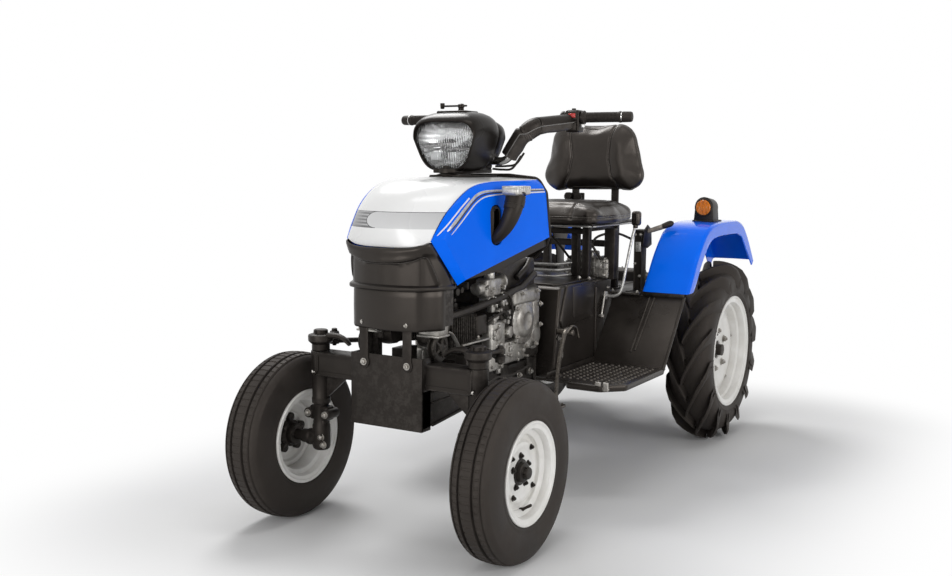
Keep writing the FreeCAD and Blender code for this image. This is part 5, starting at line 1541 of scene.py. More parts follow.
finsLeft = cylinderLeft()
headLeft = joined("engineHeadLeft", [
    boxAt("head", (62, 6, 529), (126, 52, 571), 6, 3),
    boxAt("headLip", (60, 2, 565), (128, 56, 573), 2.5, 2),
    boxAt("headLip", (60, 2, 527), (128, 56, 533), 2.5, 2),
    rod("port", front(92, 52, 550), front(92, 84, 548), 19, 3),
    rod("elbow", front(108, 60, 556), front(108, 60, 588), 11, 3),
    boxAt("clamp", (98, 52, 571), (120, 74, 586), 4, 3)])
pulley = turnedPiece("pulleyLeft", front(96, 30, 501), (1, 0, 0), [
    (0, 0.2), (0, 34), (3, 37), (5, 37), (9, 29), (13, 29), (17, 37), (19, 37), (21, 34), (21, 24),
    (17, 20), (16, 12), (24, 11), (25, 9), (25, 0.2)], 48)
spokes = [pulley]
for k in range(5):
    angle = math.tau * k / 5
    aside = Vector((0, math.cos(angle), math.sin(angle)))
    spokes.append(rod("spoke", front(116, 30, 501) + aside * 0.010,
                      front(115, 30, 501) + aside * 0.030, 4.5, 1, 10, 3))
pulleyLeft = joined("pulleyLeft", spokes)
guardArch = sweptTube("beltGuardLeft",
                      [front(121, 52, 538), front(122, 72, 530), front(123, 92, 508),
                       front(123, 108, 489), front(122, 122, 489.5)], [7, 6.5, 6, 6, 5], 12, 0.55)
frontCase = turnedPiece("fanCaseLeft", front(60, 60, 520), (1, 0, 0), [
    (-20, 0.2), (-20, 26), (0, 30), (16, 30), (20, 26), (22, 12), (30, 11), (30, 0.2)], 36)

# the dark tube that rises from the head to the rear
longTube = tubePiece("intakeTubeLeft",
                     [front(112, 70, 574), front(118, 180, 582), front(120, 300, 594),
                      front(120, 445, 613), front(112, 540, 645)], 10.5, 60, 4)
hose = tubePiece("hoseLeft", [front(106, 445, 640), front(108, 500, 668), front(96, 560, 700)], 8,
                 40, 4)
sideTray = boxAt("engineTrayLeft", (84, 122, 490.5), (126, 262, 496), 2, 2)
sideBox = boxAt("airBoxLeft", (70, 208, 506), (117, 262, 560), 6, 3)

blackLeft = joined("engineDarkLeft", [longTube, hose, sideBox, frontCase])
silverLeft = joined("engineCoversLeft", [
    turnedPiece("magnetoCover", front(118, 455, 520), (1, 0, 0), [
        (-2, 0.2), (-2, 66), (3, 68), (9, 68), (11, 64), (12, 50), (16, 46), (19, 40), (20, 26),
        (17, 22), (17, 0.2)], 48),
    turnedPiece("clutchCover", front(118, 520, 470), (1, 0, 0), [
        (-2, 0.2), (-2, 40), (5, 41), (8, 38), (9, 26), (13, 22), (14, 0.2)], 40),
    boxAt("upperCover", (100, 385, 566), (134, 545, 607), 12, 4),
    boxAt("upperLip", (100, 392, 600), (130, 470, 612), 5, 3),
    boxAt("rearCover", (100, 500, 484), (131, 545, 580), 9, 3),
    boxAt("lowerCover", (96, 470, 436), (128, 528, 478), 8, 3),
    boxAt("bracket", (104, 280, 560), (122, 300, 600), 4, 2),
    sideTray])
castLeft = joined("engineCastLeft", [
    boxAt("case", (92, 270, 440), (126, 350, 534), 9, 3),
    boxAt("case", (100, 346, 408), (124, 470, 470), 8, 3),
    rod("boss", front(92, 300, 500), front(134, 300, 500), 17, 3),
    rod("boss", front(92, 322, 462), front(132, 322, 462), 14, 3),
    rod("boss", front(110, 366, 500), front(134, 366, 500), 15, 3),
    boxAt("sump", (96, 268, 398), (122, 352, 444), 6, 3),
    rod("drain", front(106, 340, 384), front(106, 340, 402), 9, 2)])
carbLeft = joined("carburettorLeft", [
    boxAt("carbBody", (84, 250, 604), (122, 330, 655), 8, 3),
    rod("carbBarrel", front(100, 226, 628), front(100, 366, 640), 17, 3),
    rod("carbDome", front(104, 292, 650), front(104, 292, 676), 15, 4),
    boxAt("floatBowl", (86, 262, 584), (120, 318, 606), 9, 3),
    rod("carbFlange", front(100, 355, 639), front(100, 363, 640), 24, 2)])


def castings(name, low, high, count, seed, coat, small=(5, 15)):
    # little ribs, bosses and pads on a casting's outer face, the same ones each run
    dice = random.Random(seed)
    bits = []
    for k in range(count):
        y = dice.uniform(low[1], high[1])
        z = dice.uniform(low[2], high[2])
        wide, tall = dice.uniform(*small), dice.uniform(*small)
        out = high[0] + dice.uniform(1, 8)
        if dice.random() < 0.5:
            bits.append(boxAt("pad", (low[0], y - wide / 2, z - tall / 2),
                              (out, y + wide / 2, z + tall / 2), 1.8, 2))
        else:
            bits.append(rod("pad", front(low[0], y, z), front(out, y, z), min(wide, tall) / 2 + 1,
                            1.2, 14))
    return joined(name, bits)


bitsLeft = castings("castingBitsLeft", (112, 278, 402), (125, 520, 596), 62, 5, "castAluminium")
carbBits = castings("carbBitsLeft", (100, 246, 592), (120, 350, 652), 24, 8, "castAluminium",
                    (4, 11))
darkBits = castings("darkBitsLeft", (60, 30, 512), (84, 240, 640), 26, 3, "engineBlack", (8, 22))
nutsOn = [(front(135, y, z), (1, 0, 0))
          for y, z in ((398, 560), (430, 600), (520, 600), (538, 560), (398, 480), (452, 448),
                       (512, 446), (538, 500))]
nutsOn += [(front(x, y, z), (0, 0, 1))
           for x, y, z in ((112, 16, 572), (112, 44, 572), (100, 160, 496), (100, 240, 496))]
engineNuts = boltsAt("engineNutsLeft", nutsOn, 0.95)
hosesLeft = []
for path, radius in ((((104, 292, 676), (112, 300, 704), (60, 380, 716), (20, 420, 706)), 4),
                     (((118, 262, 540), (132, 280, 552), (130, 330, 560), (122, 372, 540)), 3.4),
                     (((112, 330, 620), (134, 360, 600), (134, 372, 560), (126, 380, 520)), 3),
                     (((124, 250, 372), (126, 300, 381), (124, 395, 372), (112, 520, 380)), 3.2),
                     (((70, 150, 640), (96, 230, 700), (100, 330, 716), (70, 420, 716)), 5)):
    hosesLeft.append(tubePiece("line", [front(*point) for point in path], radius, 26, 3))
hosePiece = joined("engineHosesLeft", hosesLeft)
engineSet = [(finsLeft, "engineBlack"), (headLeft, "castAluminium"), (pulleyLeft, "engineBlack"),
             (guardArch, "castAluminium"), (blackLeft, "plasticBlack"),
             (silverLeft, "castAluminium"), (castLeft, "castAluminium"),
             (carbLeft, "castAluminium"), (bitsLeft, "castAluminium"), (carbBits, "castAluminium"),
             (darkBits, "engineBlack"), (engineNuts, "boltSteel"), (hosePiece, "fanBelt")]
for piece, coat in engineSet:
    pair(piece, coat, angle=38)
crankcase = joined("crankcase", [
    boxAt("crankcase", (-112, 347, 401), (112, 578, 612), 10, 3),
    boxAt("crankTop", (-96, 352, 600), (96, 578, 689), 10, 3),
    boxAt("columnShelf", (-40, 214, 560), (40, 352, 574), 3, 2)])
done(crankcase, "engineBlack", ["engine_block"])
print("engine")

# steering column, handlebar, shrouds, grips and switches

bar = dict(radius=11, gripRadius=14.5, shroud=24)
barHalf = [(0, 405, 970), (92, 405, 970), (160, 407, 1074), (212, 573, 1094), (372, 593, 1095)]
gripRun = Vector((160, 20, 1)).normalized()
gripStart = Vector(barHalf[3])


def columnAndHead():
    pieces = [turnedPiece("steeringColumn", front(0, 240, 0), (0, 0, 1),
                          [(491, 0.2), (491, 17), (508, 17), (510, 15), (556, 15), (576, 15),
                           (900, 15), (904, 21), (912, 21), (916, 15), (934, 15), (936, 23),
                           (948, 23), (950, 12), (955, 12), (955, 0.2)], 32),
              platePiece("columnArm",
                         [front(x, y, 491)
                          for x, y in ((-20, 222), (20, 222), (31, 300), (32, 322), (24, 333),
                                       (-24, 333), (-32, 322), (-31, 300))], (0, 0, 14), 2, 3),
              boxAt("headPlate", (-34, 222, 936), (34, 425, 948), 3, 3),
              boxAt("headClamp", (-34, 385, 940), (34, 425, 988), 7, 4),
              boxAt("clampStep", (-38, 391, 950), (38, 419, 962), 3, 2)]
    for side in (1, -1):
        pieces.append(turnedPiece("columnPin", front(side * 17, 320, 0), (0, 0, 1), [
            (465, 0.2), (465, 5.5), (500, 5.8), (505, 9), (511, 9), (513, 6), (513, 0.2)], 20))
    return joined("steeringColumn", pieces)


done(columnAndHead(), "chassisBlack", ["steering_column"], body="handlebar")
bolted("headBolts", [(front(x, y, 988), (0, 0, 1)) for x in (-24, 24) for y in (393, 417)]
       + [(front(x, 262, 948), (0, 0, 1)) for x in (-20, 20)], 1.1, body="handlebar")

barLine = [front(*point) for point in barHalf[1:]]
barWhole = [Vector((-point.x, point.y, point.z)) for point in reversed(barLine)] + barLine
done(tubePiece("handlebar", barWhole, bar["radius"], 36, 6), "barChrome", ["handlebar"], 50,
     body="handlebar")


def shroudLeft():
    # a deep moulded gaiter: smooth above, ribbed and paler below
    start = Vector(barHalf[1]).lerp(Vector(barHalf[2]), 0.12)
    stop = Vector(barHalf[3]).lerp(Vector(barHalf[2]), 0.06)
    path = roundedPath([front(*start), front(*barHalf[2]), front(*stop)], 52)
    fine = smoothLine(path, 41)
    fine = [point - Vector((0, 0, 0.013 * min(1, k / 14))) for k, point in enumerate(fine)]
    upper, under, edges = [], [], ([], [])
    for k, point in enumerate(fine):
        run = (fine[min(k + 1, 40)] - fine[max(k - 1, 0)]).normalized()
        side = run.cross(Vector((0, 0, 1))).normalized()
        over = side.cross(run)
        size = bar["shroud"] * (0.86 + 0.14 * math.sin(math.pi * k / 40) ** 0.5) / 1000
        rib = 0.0016 * (k % 2)
        high, low = [], []
        for j in range(21):
            angle = math.radians(2 + 176 * j / 20)
            wide, tall = math.cos(angle), math.sin(angle)
            square = (abs(wide) ** 3 + abs(tall) ** 3) ** (-1 / 3)
            high.append(point + (side * wide * 0.92 + over * tall * 1.08) * square * size)
        for j in range(15):
            angle = math.radians(178 + 184 * j / 14)
            wide, tall = math.cos(angle), math.sin(angle)
            square = (abs(wide) ** 3 + abs(tall) ** 3) ** (-1 / 3)
            low.append(point + (side * wide * 0.86 + over * tall * 1.0) * square
                       * (size - 0.001 - rib))
        upper.append(high)
        under.append(low)
        edges[0].append(high[0] + side * 0.0006)
        edges[1].append(high[-1] - side * 0.0006)
    top = gridPiece("shroudLeft", upper)
    modify(top, "SOLIDIFY", thickness=0.0028, offset=0)
    soften(top, 1.0, 2, 50)
    bottom = gridPiece("shroudUnderLeft", under)
    modify(bottom, "SOLIDIFY", thickness=0.002, offset=0)
    lines = [tubePiece("shroudLine", edge, 1.7, 0, 2) for edge in edges]
    return top, bottom, joined("shroudLineLeft", lines)


shroudTop, shroudUnder, shroudLine = shroudLeft()
pair(shroudTop, "plasticBlack", ["bar_shrouds"], 40, body="handlebar")
pair(shroudUnder, "shroudGrey", angle=25, body="handlebar")
pair(shroudLine, "shroudPale", angle=50, body="handlebar")


def gripLeft():
    r = bar["gripRadius"]
    profile = [(30, 11.2), (30, 17.5), (32, 19.5), (35, 19.5), (37, 16), (40, r)]
    for k in range(22):
        along = 44 + k * 4.0
        profile += [(along, r), (along + 0.7, r - 1.1), (along + 1.6, r - 1.1), (along + 2.3, r)]
    profile += [(134, r + 0.4), (138, r + 1.6), (141, r + 1.6), (143, r - 1.4), (146, r - 1.4),
                (147, r + 0.6), (168, r + 0.2), (172, r - 1.2), (173.5, r - 5), (173.5, 0.2),
                (168, 0.2), (168, 11.2)]
    return turnedPiece("gripLeft", front(*gripStart), gripRun, profile, 36)


grip = gripLeft()
pair(grip, "gripRubber", ["grips"], 30, body="handlebar")
ringPiece = turnedPiece("gripRingLeft", front(*gripStart), gripRun, [
    (143.4, r0) for r0 in (12.5, 15.2)] + [(145.6, r0) for r0 in (15.2, 12.5)], 36)
pair(ringPiece, "barChrome", angle=50, body="handlebar")


def switchLeft():
    centre = front(*(gripStart + gripRun * 6))
    pieces = [block("switchLeft", centre + Vector((-0.022, -0.021, -0.041)),
                    centre + Vector((0.020, 0.019, 0.021)), 6, 4),
              block("switchNose", centre + Vector((-0.014, -0.026, -0.008)),
                    centre + Vector((0.016, -0.016, 0.017)), 3, 3),
              block("switchFoot", centre + Vector((-0.016, -0.024, -0.038)),
                    centre + Vector((0.014, -0.015, -0.013)), 3, 3),
              block("switchCheek", centre + Vector((-0.033, -0.017, -0.030)),
                    centre + Vector((-0.020, 0.016, 0.014)), 4, 3),
              rod("switchButton", centre + Vector((-0.002, -0.004, 0.018)),
                  centre + Vector((-0.002, -0.004, 0.026)), 6, 1.5, 20),
              turnedPiece("switchCollar", front(*gripStart), gripRun,
                          [(-34, 11.4), (-34, 17), (-30, 19), (-26, 19), (-24, 15), (26, 15),
                           (28, 19), (33, 19), (35, 16), (35, 11.4)], 32)]
    pressed(pieces[0], lambda middle, normal: normal.y < -0.9, 0.003, -0.0015)
    rocker = block("switchRockerLeft", centre + Vector((-0.008, -0.0295, -0.001)),
                   centre + Vector((0.013, -0.0225, 0.011)), 2.2, 3)
    return joined("switchLeft", pieces), rocker


switch, rocker = switchLeft()
pair(switch, "plasticBlack", ["switch_boxes"], 40, body="handlebar")
pair(rocker, "switchRed", angle=40, body="handlebar")
screws = boltsAt("switchScrews", [
    (front(*(gripStart + gripRun * 16)) + Vector(shift), (0, -1, 0))
    for shift in ((-0.023, -0.004, -0.014), (0.018, -0.008, -0.024))], 0.7)
pair(screws, "barChrome", angle=40, body="handlebar")
# cables leave the shroud's lower end and run in under the pod
cables = []
for path in (((132, 430, 992), (104, 436, 962), (70, 440, 956), (40, 432, 955)),
             ((126, 424, 984), (98, 426, 950), (64, 430, 946), (36, 424, 948))):
    points = smoothLine([front(*point) for point in path], 24)
    cables.append(tubePiece("cable", points, 3.2, 0, 3))
cableLeft = joined("cablesLeft", cables)
pair(cableLeft, "fanBelt", angle=50, body="handlebar")
sleeveLeft = tubePiece("cableSleeveLeft", smoothLine([front(44, 436, 958), front(84, 428, 972),
                                                     front(118, 424, 992)], 14), 4.4, 0, 3)
pair(sleeveLeft, "trimSilver", angle=50, body="handlebar")
print("handlebar")


# headlamp: pod with its visor, reflector, lamps and glass

def ringPoints(y, topHalf, lowHalf, low, top, lean=0.0, corner=4.0, count=72):
    points = []
    for k in range(count + 1):
        angle = math.tau * k / count
        rise, side = math.sin(angle), math.cos(angle)
        square = (abs(rise) ** corner + abs(side) ** corner) ** (-1 / corner)
        level = rise * square
        wide = lowHalf + (topHalf - lowHalf) * min(1, (level + 1) / 1.3)
        points.append(front(side * square * wide, y - lean * level, (low + top) / 2
                            + level * (top - low) / 2))
    return points


podSections = [  # behind the axle, half widths above and below, low, top, lean of the visor
    (262, 84, 50, 954, 1062, 2), (236, 90.5, 56, 949.5, 1067, 4), (224, 92.5, 58.5, 947, 1070, 6),
    (219.5, 93.6, 60, 945.5, 1072, 7), (219, 95.2, 61.5, 943.5, 1074.5, 7),
    (221, 96.6, 63, 942, 1078, 7), (229, 98.2, 64.5, 940.5, 1086, 6),
    (242, 99.4, 66, 939.5, 1093, 4), (262, 100, 67, 938.5, 1098.5, 2),
    (288, 100, 67, 938, 1101, 0), (316, 98, 66, 939, 1101, 0), (340, 95, 64, 941, 1098, 0),
    (358, 91.5, 61.5, 944, 1093, 0), (365, 88.5, 59, 947, 1088, 0), (367, 85, 56.5, 950, 1082, 0),
    (369, 83, 55.5, 951, 1079, 0), (374, 84.5, 56, 950, 1082, 0), (396, 84, 55, 952, 1082, 0),
    (416, 80, 52, 957, 1077, 0), (432, 72, 46, 966, 1067, 0), (441, 60, 38, 978, 1054, 0),
    (445, 40, 26, 992, 1038, 0), (446.5, 12, 9, 1010, 1022, 0)]
shell = gridPiece("headlampPod", [ringPoints(*row) for row in podSections], around=True,
                  capped=True)
podPieces = [shell]
# the throttle on top: post, flat lever and its knob
podPieces += [
    turnedPiece("throttlePost", front(6, 300, 0), (0, 0, 1),
                [(1096, 0.2), (1096, 18), (1102, 17), (1104, 11), (1106, 8), (1112, 7.5),
                 (1113.5, 9), (1121, 9), (1123, 6), (1124, 0.2)], 24),
    boxAt("throttleLever", (-56, 296, 1115), (24, 304, 1120), 2, 2),
    rod("throttleKnob", front(-54, 300, 1110), front(-54, 300, 1126), 5.5, 2, 20, 6.5),
    boxAt("podBridge", (-50, 262, 1094), (44, 330, 1103.5), 4, 3)]
# brackets under the pod
for side in (1, -1):
    podPieces.append(platePiece("podBracket", [front(side * 37, y, z) for y, z in (
        (262, 944), (262, 962), (300, 990), (372, 990), (382, 944))], (side * 4, 0, 0), 1))
pod = joined("headlampPod", podPieces)
done(pod, "podBlack", ["headlamp_pod"], 40, body="handlebar")
bolted("podBolts", [(front(side * 41.5, y, 962), (side, 0, 0)) for side in (1, -1)
                    for y in (290, 352)], 1.5, body="handlebar")

# reflector: a bowl of upright facets with a shelf across its middle
rows = []
for y, shrink, lift in ((236, 0, 0), (242, 3, 1), (250, 14, 5), (257, 30, 11), (261, 50, 19),
                        (263, 66, 29)):
    ringRow = ringPoints(y, 91 - shrink, 56.5 - shrink * 0.6, 949.5 + lift * 1.4,
                         1068 - lift * 1.4, 3, 3.2, 96)
    heart = sum(ringRow[:-1], Vector()) / 96
    rows.append([heart + (point - heart) * (1 - 0.035 * (k % 4 in (1, 2)) * (0 < shrink < 60))
                 for k, point in enumerate(ringRow)])
reflector = gridPiece("lampReflector", rows, around=True, capped=False)
edit("EDGE")
bpy.ops.mesh.region_to_loop()
quiet()
modify(reflector, "SOLIDIFY", thickness=0.0012, offset=0)
done(reflector, "reflector", angle=12, body="handlebar")
shelfPieces = [boxAt("lampShelf", (-74, 239, 1006), (20, 256, 1017), 2, 2),
               boxAt("lampShelf", (-66, 244, 998), (60, 258, 1004), 2, 2)]
done(joined("lampShelf", shelfPieces), "lampShade", angle=40, body="handlebar")
bulbs = [boxAt("lampCell", (-52, 238, 972), (-20, 250, 994), 3, 3),
         boxAt("lampCell", (6, 238, 974), (32, 250, 993), 3, 3),
         platePiece("lampCell",
                    [front(x, 238, z) for x, z in ((12, 1003), (18, 1014), (60, 1036), (72, 1036),
                (66, 1026), (30, 1006))], (0, 5, 0), 1.5)]
done(joined("lampCells", bulbs), "trimWhite", angle=40, body="handlebar")

# glass: bulged, fluted on its inner face
glassRows = [ringPoints(229, 91.5, 57.5, 948.5, 1069, 6)]
for share in (0.97, 0.9, 0.78, 0.6, 0.4, 0.2, 0.02):
    base = ringPoints(229, 91.5, 57.5, 948.5, 1069, 6)
    heart = sum(base[:-1], Vector()) / 72
    bulge = 0.009 * (1 - share ** 2.2)
    glassRows.append([heart + (point - heart) * share + Vector((0, -bulge, 0)) for point in base])
glass = gridPiece("headlampLens", glassRows, around=True, capped=True)
done(glass, "lampGlass", ["headlamp_lens"], 60, body="handlebar")
print("headlamp")

# plate round the column on the hood, with a rubber boot
plateOutline = [front(x, y, 926.3) for cx, cy, first in (
    (40, 414, 0), (-40, 414, 90), (-40, 240, 180), (40, 240, 270))
    for x, y in roundEnd(cx, cy, 14, first, first + 90, 6)]
hoodPlate = platePiece("columnPlate", plateOutline, (0, 0, 4.5), 1.2, 2)
boot = turnedPiece("columnBoot", front(0, 240, 0), (0, 0, 1),
                   [(930.5, 15.8), (930.5, 27), (931.5, 28), (933, 26), (933.8, 22), (934.6, 19),
                    (935.2, 16), (935.2, 15.8)], 32)
done(joined("columnPlate", [hoodPlate, boot]), "chassisBlack", ["column_plate"], 40)
bolted("plateBolts", [(front(x, y, 930.8), (0, 0, 1)) for x in (-44, 44) for y in (296, 408)],
       0.42, coat="chassisBlack")

# seat: cushion and backrest swollen under pressure, then sewn and piped

seat = dict(pressure=4.0, steps=20, voxel=5.0, cushionCap=20, backCap=18, piping=2.2, backEase=24,
            cushionEase=34, seam=[(1094, 83), (1040, 72), (988, 67), (938, 76), (884, 99)],
            cushion=((-190, 800, 782.3), (190, 1150, 847)),
            back=((-184, 1150, 872), (184, 1212, 1101)))


def roundedLoop(points, bend):
    # a closed outline with rounded corners, its first point repeated at the end
    loop = []
    for k, corner in enumerate(points):
        before, after = points[k - 1], points[(k + 1) % len(points)]
        loop += roundedPath([(before + corner) / 2, corner, (corner + after) / 2], bend)[1:-1]
    return loop + [loop[0]]


def swollen(name, start, low, high, held, cap, ease):
    # voxel remesh, cloth under pressure, each point's move capped, then fitted to its room
    piece = copied(start, name)
    bpy.data.objects.remove(start)
    modify(piece, "REMESH", mode="VOXEL", voxel_size=seat["voxel"] / 1000)
    before = [corner.co.copy() for corner in piece.data.vertices]
    group = piece.vertex_groups.new(name="held")
    group.add([k for k, spot in enumerate(before) if held(spot)], 1.0, "REPLACE")
    take(piece)
    bpy.ops.object.modifier_add(type="CLOTH")
    cloth = piece.modifiers[-1]
    cloth.settings.use_pressure = True
    cloth.settings.uniform_pressure_force = seat["pressure"]
    cloth.settings.effector_weights.gravity = 0
    cloth.settings.vertex_group_mass = "held"
    for k in range(1, seat["steps"] + 1):
        bpy.context.scene.frame_set(k)
    bpy.ops.object.modifier_apply(modifier=cloth.name)
    bpy.context.scene.frame_set(1)
    for corner, spot in zip(piece.data.vertices, before):
        move = corner.co - spot
        if move.length > cap / 1000:
            corner.co = spot + move * (cap / 1000 / move.length)
    modify(piece, "SMOOTH", factor=0.5, iterations=ease)
    spots = [corner.co for corner in piece.data.vertices]
    least = Vector([min(spot[k] for spot in spots) for k in range(3)])
    most = Vector([max(spot[k] for spot in spots) for k in range(3)])
    for spot in spots:
        for k in range(3):
            spot[k] = low[k] + (spot[k] - least[k]) / (most[k] - least[k]) * (high[k] - low[k])
    return modify(piece, "SUBSURF", levels=1, render_levels=1)


def sewn(piece, away, depth, width):
    # points near a seam pulled in along their normals, by away's distance in millimetres
    moves = [(corner, corner.normal.copy()) for corner in piece.data.vertices]
    for corner, normal in moves:
        near = away(corner.co, normal)
        if near < 4 * width:
            corner.co = corner.co - normal * (depth / 1000 * math.exp(-(near / width) ** 2))
    piece.data.update()


def bolsterHalf(z):
    rows = seat["seam"]
    for (topZ, topX), (lowZ, lowX) in zip(rows, rows[1:]):
        if z >= lowZ:
            share = min(1, max(0, (z - lowZ) / (topZ - lowZ)))
            share = share * share * (3 - 2 * share) * 0.5 + share * 0.5
            return lowX + (topX - lowX) * share
    return rows[-1][1]


def heldRing(piece, centre, first, second, reach, count=96):
    # points on the piece's skin all round its centre
    bpy.context.view_layer.update()
    ringRow = []
    for k in range(count):
        out = first * math.cos(math.tau * k / count) + second * math.sin(math.tau * k / count)
        hit, spot, normal, face = piece.ray_cast(centre + out * reach, -out)
        if hit:
            ringRow.append(spot)
    return ringRow + [ringRow[0]]


def seatCushion():
    low, high = (front(*corner) for corner in seat["cushion"])
    corners = [front(x, y, 782) for x, y in ((-180, 806), (180, 806), (187, 960), (166, 1146),
                                             (-166, 1146), (-187, 960))]
    loop = roundedLoop(corners, 62)
    heart = front(0, 975, 782)
    rows = [[heart + (spot - heart) * share + Vector((0, 0, up / 1000)) for spot in loop]
            for up, share in ((6, 0.1), (6, 0.5), (6, 0.9), (8, 0.955), (16, 0.968), (44, 0.968),
                              (54, 0.95), (58, 0.9), (59, 0.5), (59, 0.1))]
    start = gridPiece("seatCushionStart", rows, around=True, capped=True)
    cushion = swollen("seatCushion", start, low, high, lambda spot: spot.z < heart.z + 0.0075,
                      seat["cushionCap"], seat["cushionEase"])
    for corner in cushion.data.vertices:  # its skirt hangs a little over the pan
        out = max((abs(corner.co.x) - 0.168) / 0.012, (front(0, 822, 0).y - corner.co.y) / 0.012)
        under = (0.800 - corner.co.z) / 0.018
        if out > 0 and under > 0:
            corner.co.z -= 0.008 * min(1, out) * min(1, under)
    top = front(0, 0, 834).z
    sewn(cushion, lambda spot, normal: abs(spot.z - top - 0.004 * normal.z) * 1000
         + (12 if abs(normal.z) > 0.93 else 0), 2.6, 4.0)
    sewn(cushion, lambda spot, normal: abs(spot.z - front(0, 0, 799).z) * 1000, 2.2, 4.0)
    sewn(cushion, lambda spot, normal: abs(abs(spot.x) * 1000 - 104 + 40 * (
        (spot.y - heart.y) * 2.2) ** 2) + (50 if normal.z < 0.2 else 0), 3.4, 5.0)
    sewn(cushion,
         lambda spot, normal: abs(abs(spot.x) * 1000 - 168 + 0.25 * (spot.y - low.y) * 1000)
         + (60 if normal.y > -0.3 or spot.z < low.z + 0.02 else 0), 1.6, 9.0)
    return cushion


cushion = seatCushion()
rings = [tubePiece("cushionPiping", heldRing(cushion, front(0, 975, 799), Vector((1, 0, 0)),
                                             Vector((0, 1, 0)), 0.5), seat["piping"], 0, 3)]
done(cushion, "seatVinyl", ["seat_cushion"], 80)
done(joined("cushionPiping", rings), "pipingGloss", angle=60)


def seatBack():
    low, high = (front(*corner) for corner in seat["back"])
    corners = [front(x, 1150, z) for x, z in ((-198, 876), (-143, 1101), (143, 1101), (198, 876))]
    loop = roundedLoop(corners, 66)
    heart = front(0, 1150, 985)
    for spot in loop:  # sides and lower edge bow out a little
        spot.x *= 1 + 0.055 * math.sin(math.pi * min(1, max(0, (spot.z - 0.876) / 0.225)))
        if spot.z < heart.z:
            spot.z -= 0.014 * (1 - (spot.x / 0.198) ** 2) * min(1, (heart.z - spot.z) / 0.1)
    rows = [[heart + (spot - heart) * share + Vector((0, along / 1000, 0)) for spot in loop]
            for along, share in ((10, 0.1), (9, 0.5), (10, 0.86), (16, 0.94), (26, 0.962),
                                 (40, 0.955), (47, 0.92), (50, 0.86), (51, 0.5), (51, 0.1))]
    start = gridPiece("seatBackStart", rows, around=True, capped=True)
    back = swollen("seatBack", start, low, high, lambda spot: spot.y > heart.y + 0.0495,
                   seat["backCap"], seat["backEase"])
    moves = [(corner, corner.normal.copy()) for corner in back.data.vertices]
    for corner, normal in moves:  # side bolsters stand forward of the middle panel
        z = corner.co.z * 1000
        out = (abs(corner.co.x) * 1000 - bolsterHalf(z)) / 30
        if normal.y < 0:
            lift = 4.5 * math.exp(-(out - 1.1) ** 2 * 1.6) - 3.0 / (1 + math.exp(out * 6))
            corner.co.y += lift / 1000 * normal.y
    sewn(back, lambda spot, normal: abs(abs(spot.x) * 1000 - bolsterHalf(spot.z * 1000))
         + (60 if normal.y > 0.3 else 0), 5.5, 4.2)
    sewn(back, lambda spot, normal: abs((spot.y - heart.y) * 1000 - 34), 2.2, 3.6)
    return back


back = seatBack()
bpy.context.view_layer.update()
welts = [tubePiece("backPiping", heldRing(back, front(0, 1184, 985), Vector((1, 0, 0)),
                                          Vector((0, 0, 1)), 0.5), seat["piping"], 0, 3)]
for side in (1, -1):
    line = []
    for k in range(25):
        z = 888 + (1086 - 888) * k / 24
        hit, spot, normal, face = back.ray_cast(front(side * bolsterHalf(z), 1000, z),
            Vector((0, 1, 0)))
        if hit:
            line.append(spot + normal * 0.0008)
    welts.append(tubePiece("backPiping", line, seat["piping"] + 0.3, 0, 3))
done(back, "seatVinyl", ["seat_back"], 80)
done(joined("backPiping", welts), "pipingGloss", angle=60)
print("seat cushions")


# seat pan, posts, legs, deck and what stands under the seat

def seatPan():
    pan = boxAt("seatPan", (-168, 820, 770), (168, 1198, 781.5), 3, 3)
    pick(pan, "FACE", lambda middle, normal: normal.z < -0.9)
    bpy.ops.mesh.inset(thickness=0.003, depth=0)
    bpy.ops.mesh.extrude_region_move(TRANSFORM_OT_translate={"value": (0, 0, 0.008)})
    quiet()
    pieces = [pan]
    for x in (-72, 76):
        pieces += [
            boxAt("backPost", (x - 13, 1196, 779), (x + 13, 1205, 890), 2.5, 3),
            boxAt("backPostRib", (x - 3, 1200, 776), (x + 3, 1211, 884), 1.5, 2),
            boxAt("postFoot", (x - 20, 1172, 774), (x + 20, 1210, 786), 2.5, 2)]
    pieces.append(boxAt("knobBracket", (-108, 1189, 842), (-36, 1198, 866), 3, 3))
    return joined("seatPan", pieces)


done(seatPan(), "chassisBlack", ["seat_frame"])
rim = tubePiece("panRim", roundedLoop([front(x, y, 771.5) for x, y in (
    (-171, 817), (171, 817), (171, 1196), (-171, 1196))], 24), 3.0, 0, 3)
done(rim, "trimSilver", angle=60)


def ribbedKnob(x, z):
    outline = []
    for k in range(36):
        angle, reach = math.tau * k / 36, 14.5 - 1.5 * (k % 3 == 0)
        outline.append(front(x + reach * math.cos(angle), 1189.5, z + reach * math.sin(angle)))
    knob = platePiece("seatKnob", outline, (0, -16, 0), 1.0, 2)
    pressed(knob, lambda middle, normal: normal.y < -0.9 and middle.y < front(0, 1175, 0).y, 0.005,
            -0.002)
    return knob


done(joined("seatKnobs", [ribbedKnob(-91, 853), ribbedKnob(-53, 852)]), "plasticBlack", angle=40)


